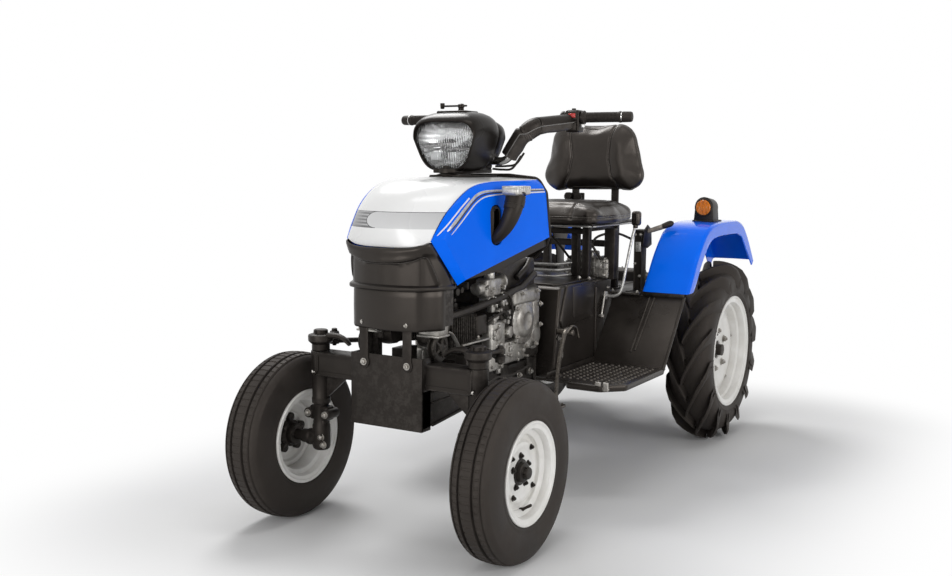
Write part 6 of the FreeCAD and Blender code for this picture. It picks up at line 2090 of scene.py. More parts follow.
def seatStand():
    pieces = []
    for side in (1, -1):
        pieces += [
            boxAt("seatLeg", (side * 125 - 12, 862, 598), (side * 125 + 12, 884, 771), 2.5, 3),
            boxAt("seatLeg", (side * 125 - 12, 1082, 551), (side * 125 + 12, 1104, 771), 2.5, 3),
            boxAt("legFoot", (side * 125 - 22, 852, 599), (side * 125 + 22, 896, 605), 2),
            boxAt("legFoot", (side * 125 - 22, 1070, 551), (side * 125 + 22, 1116, 557), 2),
            boxAt("legTie", (side * 125 - 5, 880, 752), (side * 125 + 5, 1086, 771), 2)]
    pieces += [
        boxAt("standBar", (-116, 866, 744), (116, 880, 762), 3, 3),
        boxAt("standBar", (-116, 1086, 690), (116, 1100, 712), 3, 3),
        boxAt("standUpright", (60, 894, 598), (84, 918, 764), 3, 3),
        boxAt("standUpright", (150, 950, 598), (186, 978, 760), 3, 3)]
    # deck between the fenders, with pressed ribs
    deck = boxAt("deck", (-252, 1005, 545.3), (252, 1339, 552), 1.5)
    pieces.append(deck)
    for x in (-200, -100, 0, 100, 200):
        pieces.append(boxAt("deckRib", (x - 7, 1030, 550), (x + 7, 1320, 555), 2, 3))
    return joined("seatStand", pieces)


done(seatStand(), "chassisBlack")
bolted("deckBolts", [(front(x, y, 552), (0, 0, 1)) for x in (-236, -150, 150, 236)
                     for y in (1026, 1318)]
       + [(front(side * 125 + dx, y, 605 if y < 1000 else 557), (0, 0, 1)) for side in (1, -1)
          for dx in (-17, 17) for y in (858, 1110)], 0.9)


def quadrantPieces():
    case = boxAt("quadrant", (196, 1086, 551), (224, 1130, 750), 3, 3)
    pressed(case, lambda middle, normal: normal.y < -0.9, 0.004, -0.002)
    guide = platePiece("quadrantGuide",
                       [front(228, y, z)
                        for y, z in ((1080, 700), (1090, 752), (1120, 768), (1152, 752),
                                     (1158, 700), (1120, 690))], (3, 0, 0), 1)
    return joined("quadrant",
                  [case, guide, boxAt("quadrantTop", (193, 1083, 744), (231, 1140, 752), 3, 3)])


done(quadrantPieces(), "plasticBlack")
patch = boxAt("quadrantPlate", (203, 1084, 680), (221, 1088, 712), 1.2)
done(patch, "trimSilver", angle=40)
bolted("quadrantBolts",
       [(front(x, 1086, z), (0, -1, 0))
        for x, z in ((201, 736), (218, 736), (201, 640), (218, 600))], 0.6)


def hydraulicValve():
    # a ribbed light casting on the cover, with its two pipes
    pieces = [boxAt("valveBody", (24, 940, 599), (168, 1016, 664), 8, 4),
              boxAt("valveCap", (36, 950, 658), (112, 1008, 684), 6, 3)]
    for k in range(8):
        x = 30 + k * 18
        pieces.append(boxAt("valveRib", (x, 934, 606), (x + 5, 1020, 668), 1.5, 2))
    for k in range(3):
        z = 612 + k * 18
        pieces.append(boxAt("valveRib", (20, 935, z), (172, 944, z + 4), 1.2, 2))
    pieces += [
        rod("valvePlug", front(140, 932, 640), front(140, 944, 640), 12, 2, 24),
        rod("valvePlug", front(66, 926, 674), front(66, 952, 674), 9, 2, 24)]
    return joined("hydraulicValve", pieces)


done(hydraulicValve(), "castAluminium")
pipes = []
for z, y, radius in ((624, 880, 6), (644, 872, 5), (606, 868, 4)):
    path = [front(-110, y - 30, z), front(20, y - 10, z), front(60, y + 20, z + 6),
            front(70, 945, z + 6)]
    pipes.append(tubePiece("valvePipe", path, radius, 24, 4))
done(joined("valvePipes", pipes), "trimSilver", angle=50)
leads = []
for points in (((150, 930, 660), (120, 910, 716), (90, 925, 748), (40, 950, 768)),
               ((100, 944, 676), (130, 930, 730), (170, 990, 744), (190, 1084, 720)),
               ((40, 944, 650), (20, 900, 700), (-20, 905, 735), (-60, 930, 768))):
    leads.append(tubePiece("valveLead", smoothLine([front(*point) for point in points], 20), 4, 0,
                           3))
done(joined("valveLeads", leads), "fanBelt", angle=50)
bolted("valveBolts",
       [(front(x, 936, z), (0, -1, 0)) for x, z in ((34, 656), (158, 656), (34, 612), (158, 612),
            (96, 634))], 1.0)
print("seat stand")

# moulded cover over the gearbox

def centreCover():
    shell = boxAt("centreCover", (-157, 586, 331), (157, 1000, 600), 8, 5)
    pick(shell, "FACE", lambda middle, normal: normal.z < -0.9)
    bpy.ops.mesh.delete(type="FACE")
    quiet()
    # the front slopes back at its top
    for corner in shell.data.vertices:
        lift = corner.co.z - front(0, 0, 552).z
        if corner.co.y < front(0, 610, 0).y and lift > 0:
            corner.co.y += lift * 0.95
    modify(shell, "SOLIDIFY", thickness=0.004, offset=-1)
    pieces = [shell]
    for side in (1, -1):
        # raised panel on each side, and the low step that runs forward from it
        outline = [(690, 604), (826, 604), (856, 556), (842, 502), (824, 488), (700, 480),
                   (630, 478), (618, 500), (640, 560), (660, 604)]
        panel = platePiece("coverPanel", [front(side * 154, y, z) for y, z in outline],
                           (side * 9, 0, 0), 6, 4)
        pieces += [
            panel,
            platePiece("coverPanel",
                       [front(side * 160, y, z)
                        for y, z in ((696, 596), (812, 594), (838, 552), (824, 504), (704, 500))],
                       (side * 5, 0, 0), 4, 3),
            boxAt("coverRib", (side * 158 - 4, 870, 352), (side * 158 + 4, 880, 580), 3, 3),
            platePiece("coverFoot",
                       [front(side * 156, y, z)
                        for y, z in ((590, 334), (990, 334), (990, 352), (590, 352))],
                       (side * 6, 0, 0), 2)]
    pieces.append(platePiece("coverCrown",
                             [front(x, y, 597)
                              for x, y in ((-120, 650), (120, 650), (132, 700), (132, 985),
                                           (-132, 985), (-132, 700))], (0, 0, 9), 5, 4))
    return joined("centreCover", pieces)


done(centreCover(), "coverGloss", ["centre_cover"])
bolted("coverScrews", [(front(side * 161, y, z), (side, 0, 0)) for side in (1, -1)
                       for y, z in ((610, 450), (960, 570), (960, 400), (610, 360))], 0.75)
linkPin = rod("coverLink", front(164, 934, 560), front(168, 900, 486), 3.5, 0.8, 16)
pinHead = rod("coverLink", front(160, 898, 484), front(178, 898, 484), 6, 1, 20)
done(joined("coverLink", [linkPin, pinHead]), "boltSteel", angle=50)


# footboards

board = dict(inner=160.5, outer=402, floor=345, studs=(10, 12), pitch=(22, 23))


def footboardLeft():
    b = board
    plan = [(245, 500), (342, 500), (402, 560), (402, 862), (160.5, 862), (160.5, 530), (245, 530)]
    pieces = [platePiece("footboardLeft", [front(x, y, 341) for x, y in plan], (0, 0, 4), 1.2, 2)]
    pieces.append(platePiece("footboardLeft", [front(160.5, y, z) for y, z in (
        (846, 341), (852, 336), (1024, 545), (1018, 551))], (241.5, 0, 0), 1.4, 3))
    # rolled edges: a deep lip round the outside and up the slope
    lip = roundedPath([front(245, 503, 0), front(343, 503, 0), front(399, 560, 0),
                       front(399, 850, 0)], 22)
    rows = []
    for depth, out in ((345.5, -7), (347, -3), (345.5, 1), (342, 3), (335, 3), (329, 1), (327, -2),
                       (329, -4), (334, -2), (340, -3)):
        row = []
        for k, point in enumerate(lip):
            run = (lip[min(k + 1, len(lip) - 1)] - lip[max(k - 1, 0)]).normalized()
            side = run.cross(Vector((0, 0, 1)))
            row.append(Vector((point.x, point.y, depth / 1000)) + side * out / 1000)
        rows.append(row)
    rows.append(rows[0])
    pieces.append(gridPiece("boardLip", rows))
    slopeLine = [front(399, 846, 343), front(399, 868, 366), front(399, 1014, 544)]
    pieces += [
        tubePiece("boardLip", slopeLine, 4.6, 20, 3),
        tubePiece("boardLip", [front(399, 1016, 546), front(163, 1016, 546)], 3.6, 0, 3),
        boxAt("boardWall", (160.8, 530, 340), (164.5, 858, 360), 1.5, 2)]
    # two upright ribs pressed in the slope
    out = Vector((0, -0.7724, 0.6350)) * 0.0035
    for top, low in (((303, 1010, 540), (291, 884, 386)), ((287, 1010, 540), (279, 880, 381))):
        pieces.append(tubePiece("boardRib", [front(*low) + out * 0.4, front(*top) + out * 0.4],
                                3.4, 0, 4))
    pieces += [
        boxAt("boardBracket", (190, 596, 330), (370, 612, 342), 2),
        boxAt("boardBracket", (190, 780, 330), (370, 796, 342), 2)]
    return joined("footboardLeft", pieces)


def studsLeft():
    stud = rod("studsLeft", front(178, 566, 344), front(178, 566, 348.4), 6.2, 0, 10, 4.4)
    across, along = board["studs"]
    modify(stud, "ARRAY", count=across, use_relative_offset=False, use_constant_offset=True,
           constant_offset_displace=(board["pitch"][0] / 1000, 0, 0))
    modify(stud, "ARRAY", count=along, use_relative_offset=False, use_constant_offset=True,
           constant_offset_displace=(0, board["pitch"][1] / 1000, 0))
    return stud


pair(footboardLeft(), "coverGloss", ["footboard_"])
pair(studsLeft(), "studGrey", angle=40)
clip = joined("boardClipLeft", [
    boxAt("boardClip", (327, 503, 331), (345, 510, 356), 2, 3),
    boxAt("boardClip", (351, 505, 331), (367, 513, 356), 2, 3),
    boxAt("boardClip", (323, 506, 334), (369, 512, 341), 1.5, 2)])
pair(clip, "boltSteel", angle=40)
print("cover and footboards")


# pedals: a flat tapered arm with a hooked foot

def pedalLeft():
    arm = gridPiece("pedalLeft",
                    [[front(x + dx, y + dy * wide, z + dz * wide)
                      for dx, dy, dz in ((-3, -1, 0.2), (3, -1, 0.2), (4, 0, 0), (3, 1, -0.2),
                                         (-3, 1, -0.2), (-4, 0, 0), (-3, -1, 0.2))]
                     for x, y, z, wide in ((200, 612, 484, 4), (202, 596, 489, 8),
                                           (204, 574, 486, 9), (206, 556, 474, 8.5),
                                           (207, 540, 450, 8), (208, 524, 416, 7.5),
                                           (210, 510, 380, 7), (212, 500, 346, 6.5),
                                           (213, 494, 316, 6.5), (214, 489, 294, 7),
                                           (214, 484, 280, 8), (214, 474, 272, 6),
                                           (214, 462, 272, 5))], around=True, capped=True)
    pieces = [arm,
        rod("pedalHub", front(160, 604, 472), front(212, 604, 472), 9, 2, 24),
        boxAt("pedalPlate", (186, 453, 276), (246, 491, 285), 3, 3)]
    for k in range(5):
        pieces.append(boxAt("pedalTread", (190 + k * 11, 455, 284), (195 + k * 11, 489, 288), 1.2,
                            2))
    pieces.append(tubePiece("pedalHook",
                            [front(206, 560, 474), front(206, 606, 492), front(206, 634, 484),
                             front(206, 650, 452)], 3.6, 14, 3))
    return joined("pedalLeft", pieces)


pedal = pedalLeft()
done(otherSide(pedal), "bronzePedal", angle=40)
done(pedal, "bronzePedal", ["pedals"], 40)
spring = []
for k in range(97):
    angle = k / 8 * math.tau
    spring.append(front(176 + 5.5 * math.cos(angle), 596 + 5.5 * math.sin(angle), 396 + k * 0.62))
done(tubePiece("pedalSpring", spring, 1.3, 0, 2), "boltSteel", angle=60)


# gear lever with its square knob, lift lever with its black end

shaft = [front(159, 945, 546), front(192, 945, 546), front(213, 949, 566), front(223, 962, 640),
         front(231, 978, 716), front(239, 993, 774)]
lever = tubePiece("gearLever", smoothLine(shaft, 36), 4.8, 0, 4)
base = rod("gearLever", front(156, 945, 546), front(166, 945, 546), 13, 2, 24)
done(joined("gearLever", [lever, base]), "trimSilver", ["hand_levers"], 50)
knob = boxAt("gearKnob", (226, 982, 770), (254, 1010, 817), 9, 5)
pressed(knob, lambda middle, normal: normal.z > 0.9, 0.003, -0.0012)
done(joined("gearKnob",
            [knob, rod("gearKnob", front(238.5, 992, 762), front(239, 993, 776), 8, 2, 20)]),
     "knobBlack", angle=50)
handle = gridPiece("liftLever",
                   [[front(x, y, z) + Vector((0, -dy * wide, dz * tall)) / 1000
                     for dy, dz in ((1, 1), (1.15, 0), (1, -1), (-1, -1), (-1.15, 0), (-1, 1),
                                    (1, 1))]
                    for x, y, z, wide, tall in ((214, 1110, 741, 3, 5), (228, 1121, 745, 3.5, 7),
            (246, 1136, 752, 4, 8.5), (266, 1154, 760, 4, 9), (278, 1165, 766, 4, 8))],
                   around=True, capped=True)
soften(handle, 1.5, 2, 40)
done(handle, "bronzePedal", angle=40)
grip = sweptTube("liftGrip",
                 [front(268, 1156, 761.5), front(280, 1166, 767), front(290, 1175, 771.5),
                  front(296, 1180, 774)], [9, 10.5, 10, 5], 18)
done(grip, "plasticBlack", angle=45)
print("pedals and levers")


# fenders, their stays and the lamps on them

fender = dict(inner=262, outer=418, flange=44, skirt=58, sheet=3, round=9)
archLow = [(-461, 560), (-426, 607), (-385, 662), (-340, 708), (-300, 742)]
archTop = [(-268, 757), (-235, 767), (-180, 772.5), (-120, 774), (-40, 774), (20, 773)]
archRear = [(40, 772), (76, 764), (110, 750), (146, 722), (180, 690), (212, 656), (242, 622)]


def fenderLeft():
    f = fender
    low = smoothLine([Vector((0, y, z)) for y, z in archLow], 13)
    back = smoothLine([Vector((0, y, z)) for y, z in archTop[2:] + archRear], 25)
    line = low + [Vector((0, y, z)) for y, z in archTop[:2]] + back
    rows = []
    for k, point in enumerate(line):
        run = (line[min(k + 1, len(line) - 1)] - line[max(k - 1, 0)]).normalized()
        inward = Vector((0, run.z, -run.y))
        if inward.z > 0:
            inward = -inward
        level = max(0, 1 - k / 4)  # the front end is cut off level
        inward = (inward * (1 - level) + Vector((0, level, 0))).normalized()
        share = k / (len(line) - 1)
        flange = f["flange"] * (1 - 0.35 * max(0, share - 0.86) / 0.14)
        row = []
        for x, deep in ((f["inner"], f["skirt"]), (f["inner"], f["round"]),
                        (f["inner"] + 2.6, 2.6), (f["inner"] + f["round"], 0), (300, -0.6),
                        (340, -1.2), (380, -0.6), (f["outer"] - f["round"], 0),
                        (f["outer"] - 2.6, 2.6), (f["outer"], f["round"]),
                        (f["outer"], flange * 0.6), (f["outer"] - 0.4, flange),
                        (f["outer"] - 4, flange + 2)):
            row.append(rear(x, point.y + inward.y * deep, point.z + inward.z * deep))
        rows.append(row)
    sheet = sheetPiece("fenderLeft", rows, f["sheet"], rear(340, -80, 500))
    return soften(sheet, 0.8, 2, 60)


pair(fenderLeft(), "bodyBlue", ["fender_"], 17)


def stayLeft():
    outline = [(-30, 345), (30, 345), (30, 640), (60, 700), (60, 738), (-60, 738), (-60, 700),
               (-30, 640)]
    pieces = [platePiece("stayLeft", [rear(254.5, y, z) for y, z in outline], (7, 0, 0), 1.5, 2),
        platePiece("stayLeft",
                   [rear(x, -455, z) for x, z in ((255, 566), (270, 566), (400, 560), (400, 548),
                    (255, 548))], (0, 5, 0), 1.2, 2),
        boxAt("stayBar", (250, 1012, 540), (262, 1080, 552), 1.5)]
    return joined("stayLeft", pieces)


stay = stayLeft()
done(otherSide(stay), "chassisBlack")
done(stay, "chassisBlack", ["fender_stays"])
bolted("stayBolts", [(rear(side * 264.5, y, z), (side, 0, 0)) for side in (1, -1)
                     for y, z in ((-44, 722), (44, 722), (0, 690))]
       + [(rear(side * 252, y, z), (-side, 0, 0)) for side in (1, -1)
          for y, z in ((-18, 380), (18, 380), (-18, 520), (18, 520))], 1.0)

signal = dict(x=352, height=822)


def signalCase(x):
    outline = [(x - 35, 774.6)] + roundEnd(x, 825, 32, 192, -12, 12, 33) + [(x + 35, 774.6)]
    case = platePiece("signalCase", [rear(px, -148, z) for px, z in outline], (0, 76, 0), 3.5, 3)
    for corner in case.data.vertices:  # narrower behind
        back = (corner.co.y - rear(0, -148, 0).y) / 0.076
        corner.co.x = x / 1000 + (corner.co.x - x / 1000) * (1 - 0.16 * back)
        corner.co.z = 0.7746 + (corner.co.z - 0.7746) * (1 - 0.10 * back)
    ringPiece = turnedPiece("signalRim", rear(x, -148, signal["height"]), (0, -1, 0), [
        (-3, 26.2), (4, 26.2), (5.4, 27.2), (5.4, 29), (3.6, 30.2), (-3, 30.2)], 48)
    foot = rearBox("signalFoot", (x - 38, -152, 773.5), (x + 38, -66, 779), 2.4, 3)
    return joined("signalCase", [case, ringPiece, foot])


def signalLens(x):
    profile = [(-2, 0.2), (-2, 25.8), (5, 25.8), (7, 24.6)]
    for k in range(7):
        reach = 23.2 - k * 3.1
        profile += [(8.1 + k * 0.22, reach), (7.6 + k * 0.24, reach - 1.4)]
    profile += [(9.8, 0.2)]
    return turnedPiece("signalLens", rear(x, -148, signal["height"]), (0, -1, 0), profile, 48)


for side, word in ((1, "Left"), (-1, "Right")):
    case, lens = signalCase(side * signal["x"]), signalLens(side * signal["x"])
    case.name, lens.name = "signalCase" + word, "signalLens" + word
    done(case, "plasticBlack", ["indicator_cases"] if side > 0 else [])
    done(lens, "amberLens", ["indicator_lenses"] if side > 0 else [], 25)
print("fenders and lamps")

# drive line behind the cover: gearbox, rear axle, lift, links, power take-off

driveLine = dict(casting=7.0, ribWidth=7.0, flangeBolts=8, splines=6)


def bored(piece, start, end, radius, sides=40):
    # a round hole cut right through
    tool = rod("drill", start, end, radius, 0, sides)
    modify(piece, "BOOLEAN", operation="DIFFERENCE", solver="EXACT", object=tool)
    bpy.data.objects.remove(tool)
    return piece


def gearboxCase():
    pieces = [boxAt("gearboxCase", (-88, 583, 333), (88, 1336, 541), driveLine["casting"], 4),
              boxAt("boxFlange", (-95, 580, 330), (95, 596, 545), 2.5, 3),
              boxAt("boxFlange", (-95, 1322, 330), (95, 1340, 545), 2.5, 3),
              boxAt("boardBar", (-335, 645, 309), (335, 685, 331), 3, 3)]
    for y in (700, 860, 1020, 1180):
        pieces.append(boxAt("caseRib", (-94, y, 336), (94, y + driveLine["ribWidth"], 543), 2, 2))
    for side in (1, -1):
        for y in (722, 1042):
            pieces.append(boxAt("caseCover", (side * 86 - 7, y, 366),
                                (side * 86 + 7, y + 118, 498), 3, 3))
        pieces.append(boxAt("caseRail", (side * 88 - 4, 600, 428), (side * 88 + 4, 1320, 436), 1.5,
                            2))
    pieces.append(rod("fillerNeck", front(40, 1252, 540), front(40, 1252, 545), 17, 1, 24))
    return joined("gearboxCase", pieces)


done(gearboxCase(), "castIron", ["gearbox"])
bolted("gearboxBolts", [(front(side * 93, y + dy, z), (side, 0, 0)) for side in (1, -1)
                        for y in (722, 1042) for dy in (12, 106) for z in (376, 488)]
       + [(front(x, 645, 320), (0, -1, 0)) for x in (-300, -240, 240, 300)], 0.7)


def rearAxleCase():
    case = rearBox("rearAxleCase", (-105, -123, 268), (105, 100, 480), 12, 5)
    bored(case, rear(0, 41.5, 400), rear(0, 110, 400), 15.05)
    plate = rearBox("drawbar", (-28, -20, 252), (28, 218, 268.5), 3, 3)
    bored(plate, rear(0, 192, 240), rear(0, 192, 280), 11)
    pieces = [case, plate]
    # the drawbar's clamp, and a raised round housing with its retainer for the output shaft
    pieces += [
        rearBox("drawbarClamp", (-44, 60, 256), (44, 92, 272), 3, 3),
        turnedPiece("shaftRetainer", rear(0, 98, 400), (0, 1, 0),
                    [(-6, 44), (-6, 22), (2.6, 22), (2.6, 27), (4.4, 29), (4.4, 40), (2, 43),
                     (0, 44)], 48)]
    for side in (1, -1):
        # trumpets from the case to the brake flange, then the round end of the tube
        profile = [(0, 8), (0, 78), (10, 80), (16, 78), (18, 64), (60, 52), (96, 46), (138, 45.6),
                   (142, 49), (160, 49), (163, 46), (167, 44), (167, 8)]
        pieces += [
            turnedPiece("axleTrumpet", rear(side * 104, 0, 315), (side, 0, 0), profile, 48),
            turnedPiece("stubShaft", rear(side * 268, 0, 315), (side, 0, 0),
                        [(0, 2), (0, 30), (6, 30), (10, 27), (12, 20), (119, 20), (119.4, 19.4),
                         (119.4, 2)], 40)]
        for k in range(6):
            angle = math.tau * (k + 0.5) / 6
            rib = rearBox("trumpetRib", (side * 122, -3, 361), (side * 196, 3, 374), 1.5, 2)
            pick(rib, "VERT", lambda spot, normal: side * spot.x > 0.16 and spot.z > 0.368)
            bpy.ops.transform.translate(value=(0, 0, -0.012))
            quiet()
            rib.data.transform(turn(angle, (1, 0, 0), rear(0, 0, 315)))
            pieces.append(rib)
        # link pivot: a boss on the case and the pin
        pieces += [
            rod("pivotBoss", rear(side * 100, 80, 300), rear(side * 146, 80, 300), 24, 3, 32),
            rod("pivotPin", rear(side * 140, 80, 300), rear(side * 163, 80, 300), 8.9, 1.5, 24)]
    for x in (-84, -42, 42, 84):
        pieces.append(rearBox("backRib", (x - 3.5, 92, 290), (x + 3.5, 99.5, 470), 1.5, 2))
    pieces.append(rearBox("caseSeam", (-107, -128, 372), (107, -117, 384), 2, 2))
    return joined("rearAxleCase", pieces)


done(rearAxleCase(), "castIron", ["rear_axle"])
axleBolts = []
for side in (1, -1):
    for k in range(driveLine["flangeBolts"]):
        angle = math.tau * (k + 0.5) / driveLine["flangeBolts"]
        axleBolts.append((rear(side * 119, 70 * math.cos(angle), 315 + 70 * math.sin(angle)),
                          (side, 0, 0)))
for k in range(6):
    angle = math.tau * k / 6
    axleBolts.append((rear(34.5 * math.cos(angle), 102.3, 400 + 34.5 * math.sin(angle)),
                      (0, 1, 0)))
for x in (-92, 92):
    for z in (330, 400, 462):
        axleBolts.append((rear(x, 99.5, z), (0, 1, 0)))
axleBolts.append((rear(0, 99.5, 300), (0, 1, 0)))
bolted("rearAxleBolts", axleBolts, 0.75)


def outputShaft():
    # the journal, a neck, then six splines with a locking groove near the end
    rows = []
    count = driveLine["splines"]
    for along, high, low in ((101, 15.2, 15.2), (103, 15.2, 15.2), (104, 17.45, 14.6),
                             (138, 17.45, 14.6), (139.5, 14.8, 14.4), (145, 14.8, 14.4),
                             (146.5, 17.45, 14.6), (161, 17.45, 14.6), (163, 16, 13.8)):
        row = []
        for k in range(count):
            for share, tall in ((0.03, 0), (0.20, 0), (0.25, 1), (0.45, 1), (0.65, 1), (0.90, 1),
                                (0.97, 0)):
                angle = math.tau * (k + share) / count
                radius = high if tall else low
                row.append(rear(radius * math.cos(angle), along, 400 + radius * math.sin(angle)))
        rows.append(row + [row[0]])
    spline = gridPiece("outputShaft", rows, True, True)
    soften(spline, 0.5, 2, 30)
    journal = rod("journal", rear(0, 42, 400), rear(0, 102, 400), 14.95, 0.8, 32)
    cap = turnedPiece("shaftCentre", rear(0, 163, 400), (0, 1, 0),
                      [(-1, 5), (-1, 1), (0.05, 1), (0.05, 5)], 16)
    return joined("outputShaft", [spline, journal, cap])


done(outputShaft(), "machinedSteel", ["pto_shaft"], 30, body="pto_shaft")


def liftCase():
    case = rearBox("liftCase", (-90, -95, 480), (90, 15, 587), 9, 4)
    bored(case, rear(-120, -33, 545), rear(120, -33, 545), 22.05, 48)
    pieces = [case]
    outline = [(8, 481), (8, 531), (48, 531)] + roundEnd(67, 509, 22, 90, -60, 10) + [(60, 481)]
    for side in (1, -1):
        low, high = (22, 32) if side > 0 else (-32, -22)
        ear = platePiece("linkEar", [rear(low, y, z) for y, z in outline], (10, 0, 0), 1.6, 2)
        bored(ear, rear(low - 20, 67, 507), rear(high + 20, 67, 507), 9.6, 32)
        pieces.append(ear)
        # bearing rings round the shaft's bore, open at the middle
        pieces.append(turnedPiece("shaftRing", rear(side * 88, -33, 545), (side, 0, 0), [
            (0, 23), (0, 38), (12, 38), (15, 35), (15, 24), (14, 23)], 48))
    pieces += [
        rearBox("liftCover", (-76, -84, 584), (76, 5, 586.9), 1.2, 2),
        rearBox("liftSeam", (-95, -98, 481), (95, 19, 491), 2.5, 3)]
    for x in (-60, -20, 20, 60):
        pieces.append(rearBox("liftRib", (x - 3, 12, 492), (x + 3, 18, 570), 1.5, 2))
    return joined("liftCase", pieces)


done(liftCase(), "castIron", ["lift_housing"])
bolted("liftBolts", [(rear(x, y, 586.6), (0, 0, 1)) for x in (-66, 0, 66) for y in (-76, -3)]
       + [(rear(side * 95, y, 486), (side, 0, 0)) for side in (1, -1) for y in (-80, 0)], 0.6)


def forgedArm(side):
    # thick round the shaft, thinner toward a round eye at the end
    outline = (roundEnd(-33, 545, 24, 60, 300, 12, 22) + [(60, 529), (170, 532)]
               + roundEnd(197, 545, 16, -70, 70, 7) + [(170, 558), (60, 561)])
    low = 110.5 if side > 0 else -122.5
    arm = platePiece("forgedArm", [rear(low, y, z) for y, z in outline], (12, 0, 0), 2.2, 3)
    hub = turnedPiece("armHub", rear(side * 108, -33, 545), (side, 0, 0), [
        (2.5, 18), (2.5, 32), (4, 33.5), (14, 33.5), (16, 31), (16, 18)], 40)
    rib = platePiece("armRib",
                     [rear(low + 4, y, z)
                      for y, z in ((-4, 541), (150, 543), (150, 549), (-4, 552))], (4, 0, 0), 0.8)
    rib.data.transform(Matrix.Translation((side * 0.0055, 0, 0)))
    pin = rod("armPin", rear(side * 118, 197, 545), rear(side * 138, 197, 545), 7.95, 1.2, 24)
    head = turnedPiece("armPinHead", rear(side * 106, 197, 545), (side, 0, 0), [
        (0, 2), (0, 11), (1, 12), (4.4, 12), (4.4, 2)], 6)
    return [arm, hub, rib, pin, head]


shaft = rod("rockShaft", rear(-126, -33, 545), rear(126, -33, 545), 21.9, 1.5, 40)
done(joined("liftArms", forgedArm(1) + forgedArm(-1) + [shaft]), "chassisBlack", ["lift_arms"],
     body="lift_arms")


def liftRod(side):
    top, foot = rear(side * 130, 197, 545), rear(side * 130, 310, 300)
    across = Vector((side, 0, 0))
    pieces = []
    for end, hole in ((top, 8.05), (foot, 8.6)):
        pieces.append(turnedPiece("rodEye", end, across, [
            (-6, hole), (-6, 14.5), (-4.5, 16), (4.5, 16), (6, 14.5), (6, hole)], 40))
    run = (foot - top).normalized()
    pieces.append(rod("rodNeck", top + run * 0.0145, top + run * 0.06, 6, 0.8, 24))
    # a turnbuckle between the two threaded ends, with its lock nuts
    pieces += [
        rod("turnbuckle", top + run * 0.062, top + run * 0.178, 8.4, 1.5, 6),
        rod("rodThread", top + run * 0.05, foot - run * 0.0145, 5.6, 0.8, 24)]
    for at in (0.053, 0.180):
        pieces.append(rod("lockNut", top + run * at, top + run * (at + 0.008), 9.4, 1.0, 6))
    return pieces


done(joined("liftRods", liftRod(1) + liftRod(-1)), "chassisBlack", ["lift_rods"], body="lift_rods")


def lowerLink(side):
    # a flat bar with rounded ends; ball sockets stand a little proud of it
    outline = (roundEnd(80, 300, 20, 90, 270, 12) + [(110, 285), (430, 285)]
               + roundEnd(470, 300, 20, -90, 90, 12) + [(430, 315), (110, 315)])
    low = 150 if side > 0 else -165
    bar = platePiece("linkBar", [rear(low, y, z) for y, z in outline], (15, 0, 0), 2.2, 3)
    bored(bar, rear(low - 20, 80, 300), rear(low + 40, 80, 300), 9.05, 32)
    bored(bar, rear(low - 20, 470, 300), rear(low + 40, 470, 300), 15.5, 40)
    # the ball, cut flat at both faces, round its bore
    ball = turnedPiece("linkBall", rear(side * 157.5, 470, 300), (side, 0, 0), [
        (-7.5, 11.2), (-7.5, 13), (-5, 14.6), (0, 15.6), (5, 14.6), (7.5, 13), (7.5, 11.2)], 40)
    pin = rod("linkPin", rear(side * 122, 310, 300), rear(side * 152, 310, 300), 7.95, 1.2, 24)
    head = turnedPiece("linkPinHead", rear(side * 163, 310, 300), (side, 0, 0), [
        (0, 2), (0, 12), (1.4, 12), (1.9, 11), (1.9, 2)], 24)
    return [bar, ball, pin, head]


done(joined("lowerLinks", lowerLink(1) + lowerLink(-1)), "chassisBlack", ["lower_links"],
     body="lower_links")
print("drive line, lift and output shaft")
# what is left of the CAD nodes gets its finish

carried = {slot: coat for coat, slot in slotOf.items()}
carried.update(chassis_black="chassisBlack", plastic_black="plasticBlack", bar_chrome="barChrome",
               cast_aluminium="engineBlack", seat_vinyl="seatVinyl", lamp_glass="lampGlass")
nodeSlots = {row["node"]: row["material_slot"] for row in frame["record"]["subparts"]}
for name, piece in frame["nodes"].items():
    for place in piece.material_slots:
        place.material = finish[carried[nodeSlots[name]]]
print("CAD nodes finished")


# floor, light and camera

stageValues = dict(floor=28.0, keyPower=60, topPower=11, fillPower=44, nosePower=50,
                   worldLight=0.36, paleFloor=0.88)
quiet()
bpy.ops.mesh.primitive_plane_add(size=stageValues["floor"], location=(0, 0, 0))
floor = called("studioFloor")
tree, shader, place = newMaterial("paleFloor")
pale = stageValues["paleFloor"]
tree.links.new(blended(tree, noise(tree, place, 0.6, 2.0), (pale,) * 3, (pale - 0.02,) * 3),
               shader["Base Color"])
shader["Roughness"].default_value = 0.75
shader["Specular IOR Level"].default_value = 0.0


def beyond(value, half):
    return calc(tree, "MAXIMUM", calc(tree, "SUBTRACT", calc(tree, "ABSOLUTE", value), half), 0.0)


def seenBy(tree):
    # 1 for camera, glossy and transmission rays
    rays = node(tree, "LightPath").outputs
    return calc(tree, "MAXIMUM", rays["Is Camera Ray"],
                calc(tree, "MAXIMUM", rays["Is Glossy Ray"], rays["Is Transmission Ray"]))


# away from the object the floor runs out into plain white for camera and reflections
x, y, z = axes(tree, place)
reach = lengthOf(tree, beyond(x, 0.45), beyond(y, 0.95))
fade = node(tree, "MapRange", {"Value": reach, "From Min": 0.10, "From Max": 0.85},
            interpolation_type="SMOOTHERSTEP").outputs["Result"]
mixed = node(tree, "MixShader", {"Fac": times(tree, fade, seenBy(tree)),
                                 1: tree.nodes["Principled BSDF"].outputs[0],
                                 2: node(tree, "Emission", {"Strength": 1.0}).outputs[0]})
tree.links.new(mixed.outputs[0], tree.nodes["Material Output"].inputs["Surface"])
painted(floor, bpy.data.materials["paleFloor"])

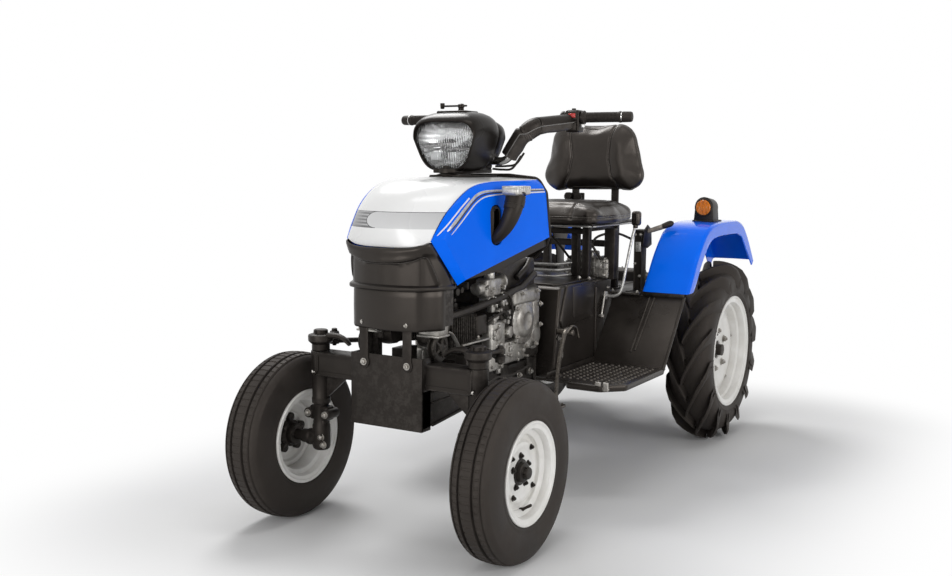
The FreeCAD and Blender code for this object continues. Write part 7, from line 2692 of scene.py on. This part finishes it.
world = bpy.data.worlds.new("studio")
bpy.context.scene.world = world
world.use_nodes = True
tree = world.node_tree
back = tree.nodes["Background"].inputs
tree.links.new(ranged(tree, seenBy(tree), 0.0, 1.0, stageValues["worldLight"], 1.0),
               back["Strength"])
back["Color"].default_value = (1, 1, 1, 1)


middle = Vector((0, -0.1, 0.55))
for name, place, power, wide, high in (
        ("highSoftbox", (-1.7, 0.9, 3.3), "keyPower", 1.5, 1.5),
        ("topSoftbox", (0.5, -0.9, 3.1), "topPower", 1.7, 0.5),
        ("leftSoftbox", (3.7, -0.9, 1.25), "fillPower", 2.0, 1.4),
        ("noseSoftbox", (0.3, -4.3, 1.2), "nosePower", 2.4, 1.3)):
    quiet()
    aim = (middle - Vector(place)).to_track_quat("-Z", "Y").to_euler()
    bpy.ops.object.light_add(type="AREA", location=place, rotation=aim)
    lamp = bpy.context.object
    lamp.name = lamp.data.name = name
    lamp.data.shape = "RECTANGLE"
    lamp.data.size, lamp.data.size_y, lamp.data.energy = wide, high, stageValues[power]

cameraValues = dict(place=(1.558, -3.105, 0.957), yaw=30.554, pitch=6.465, roll=0.507, lens=40.91)
yaw, pitch, roll = (math.radians(cameraValues[k]) for k in ("yaw", "pitch", "roll"))
ahead = Vector((-math.sin(yaw) * math.cos(pitch), math.cos(yaw) * math.cos(pitch),
                -math.sin(pitch)))
aside = ahead.cross(Vector((0, 0, 1))).normalized()
above = aside.cross(ahead)
asideRolled = aside * math.cos(roll) + above * math.sin(roll)
aboveRolled = above * math.cos(roll) - aside * math.sin(roll)
quiet()
bpy.ops.object.camera_add()
camera = bpy.context.object
camera.name = "studioCamera"
camera.matrix_world = Matrix.Translation(Vector(cameraValues["place"])) @ Matrix((
    (asideRolled.x, aboveRolled.x, -ahead.x, 0), (asideRolled.y, aboveRolled.y, -ahead.y, 0),
    (asideRolled.z, aboveRolled.z, -ahead.z, 0), (0, 0, 0, 1)))
camera.data.lens = cameraValues["lens"]
camera.data.sensor_width = 36
camera.data.clip_start = 0.05
camera.data.dof.use_dof = False
bpy.context.scene.camera = camera
bpy.context.scene.view_settings.view_transform = "Standard"

bpy.data.objects.remove(nutModel)
print("stage, light and camera")
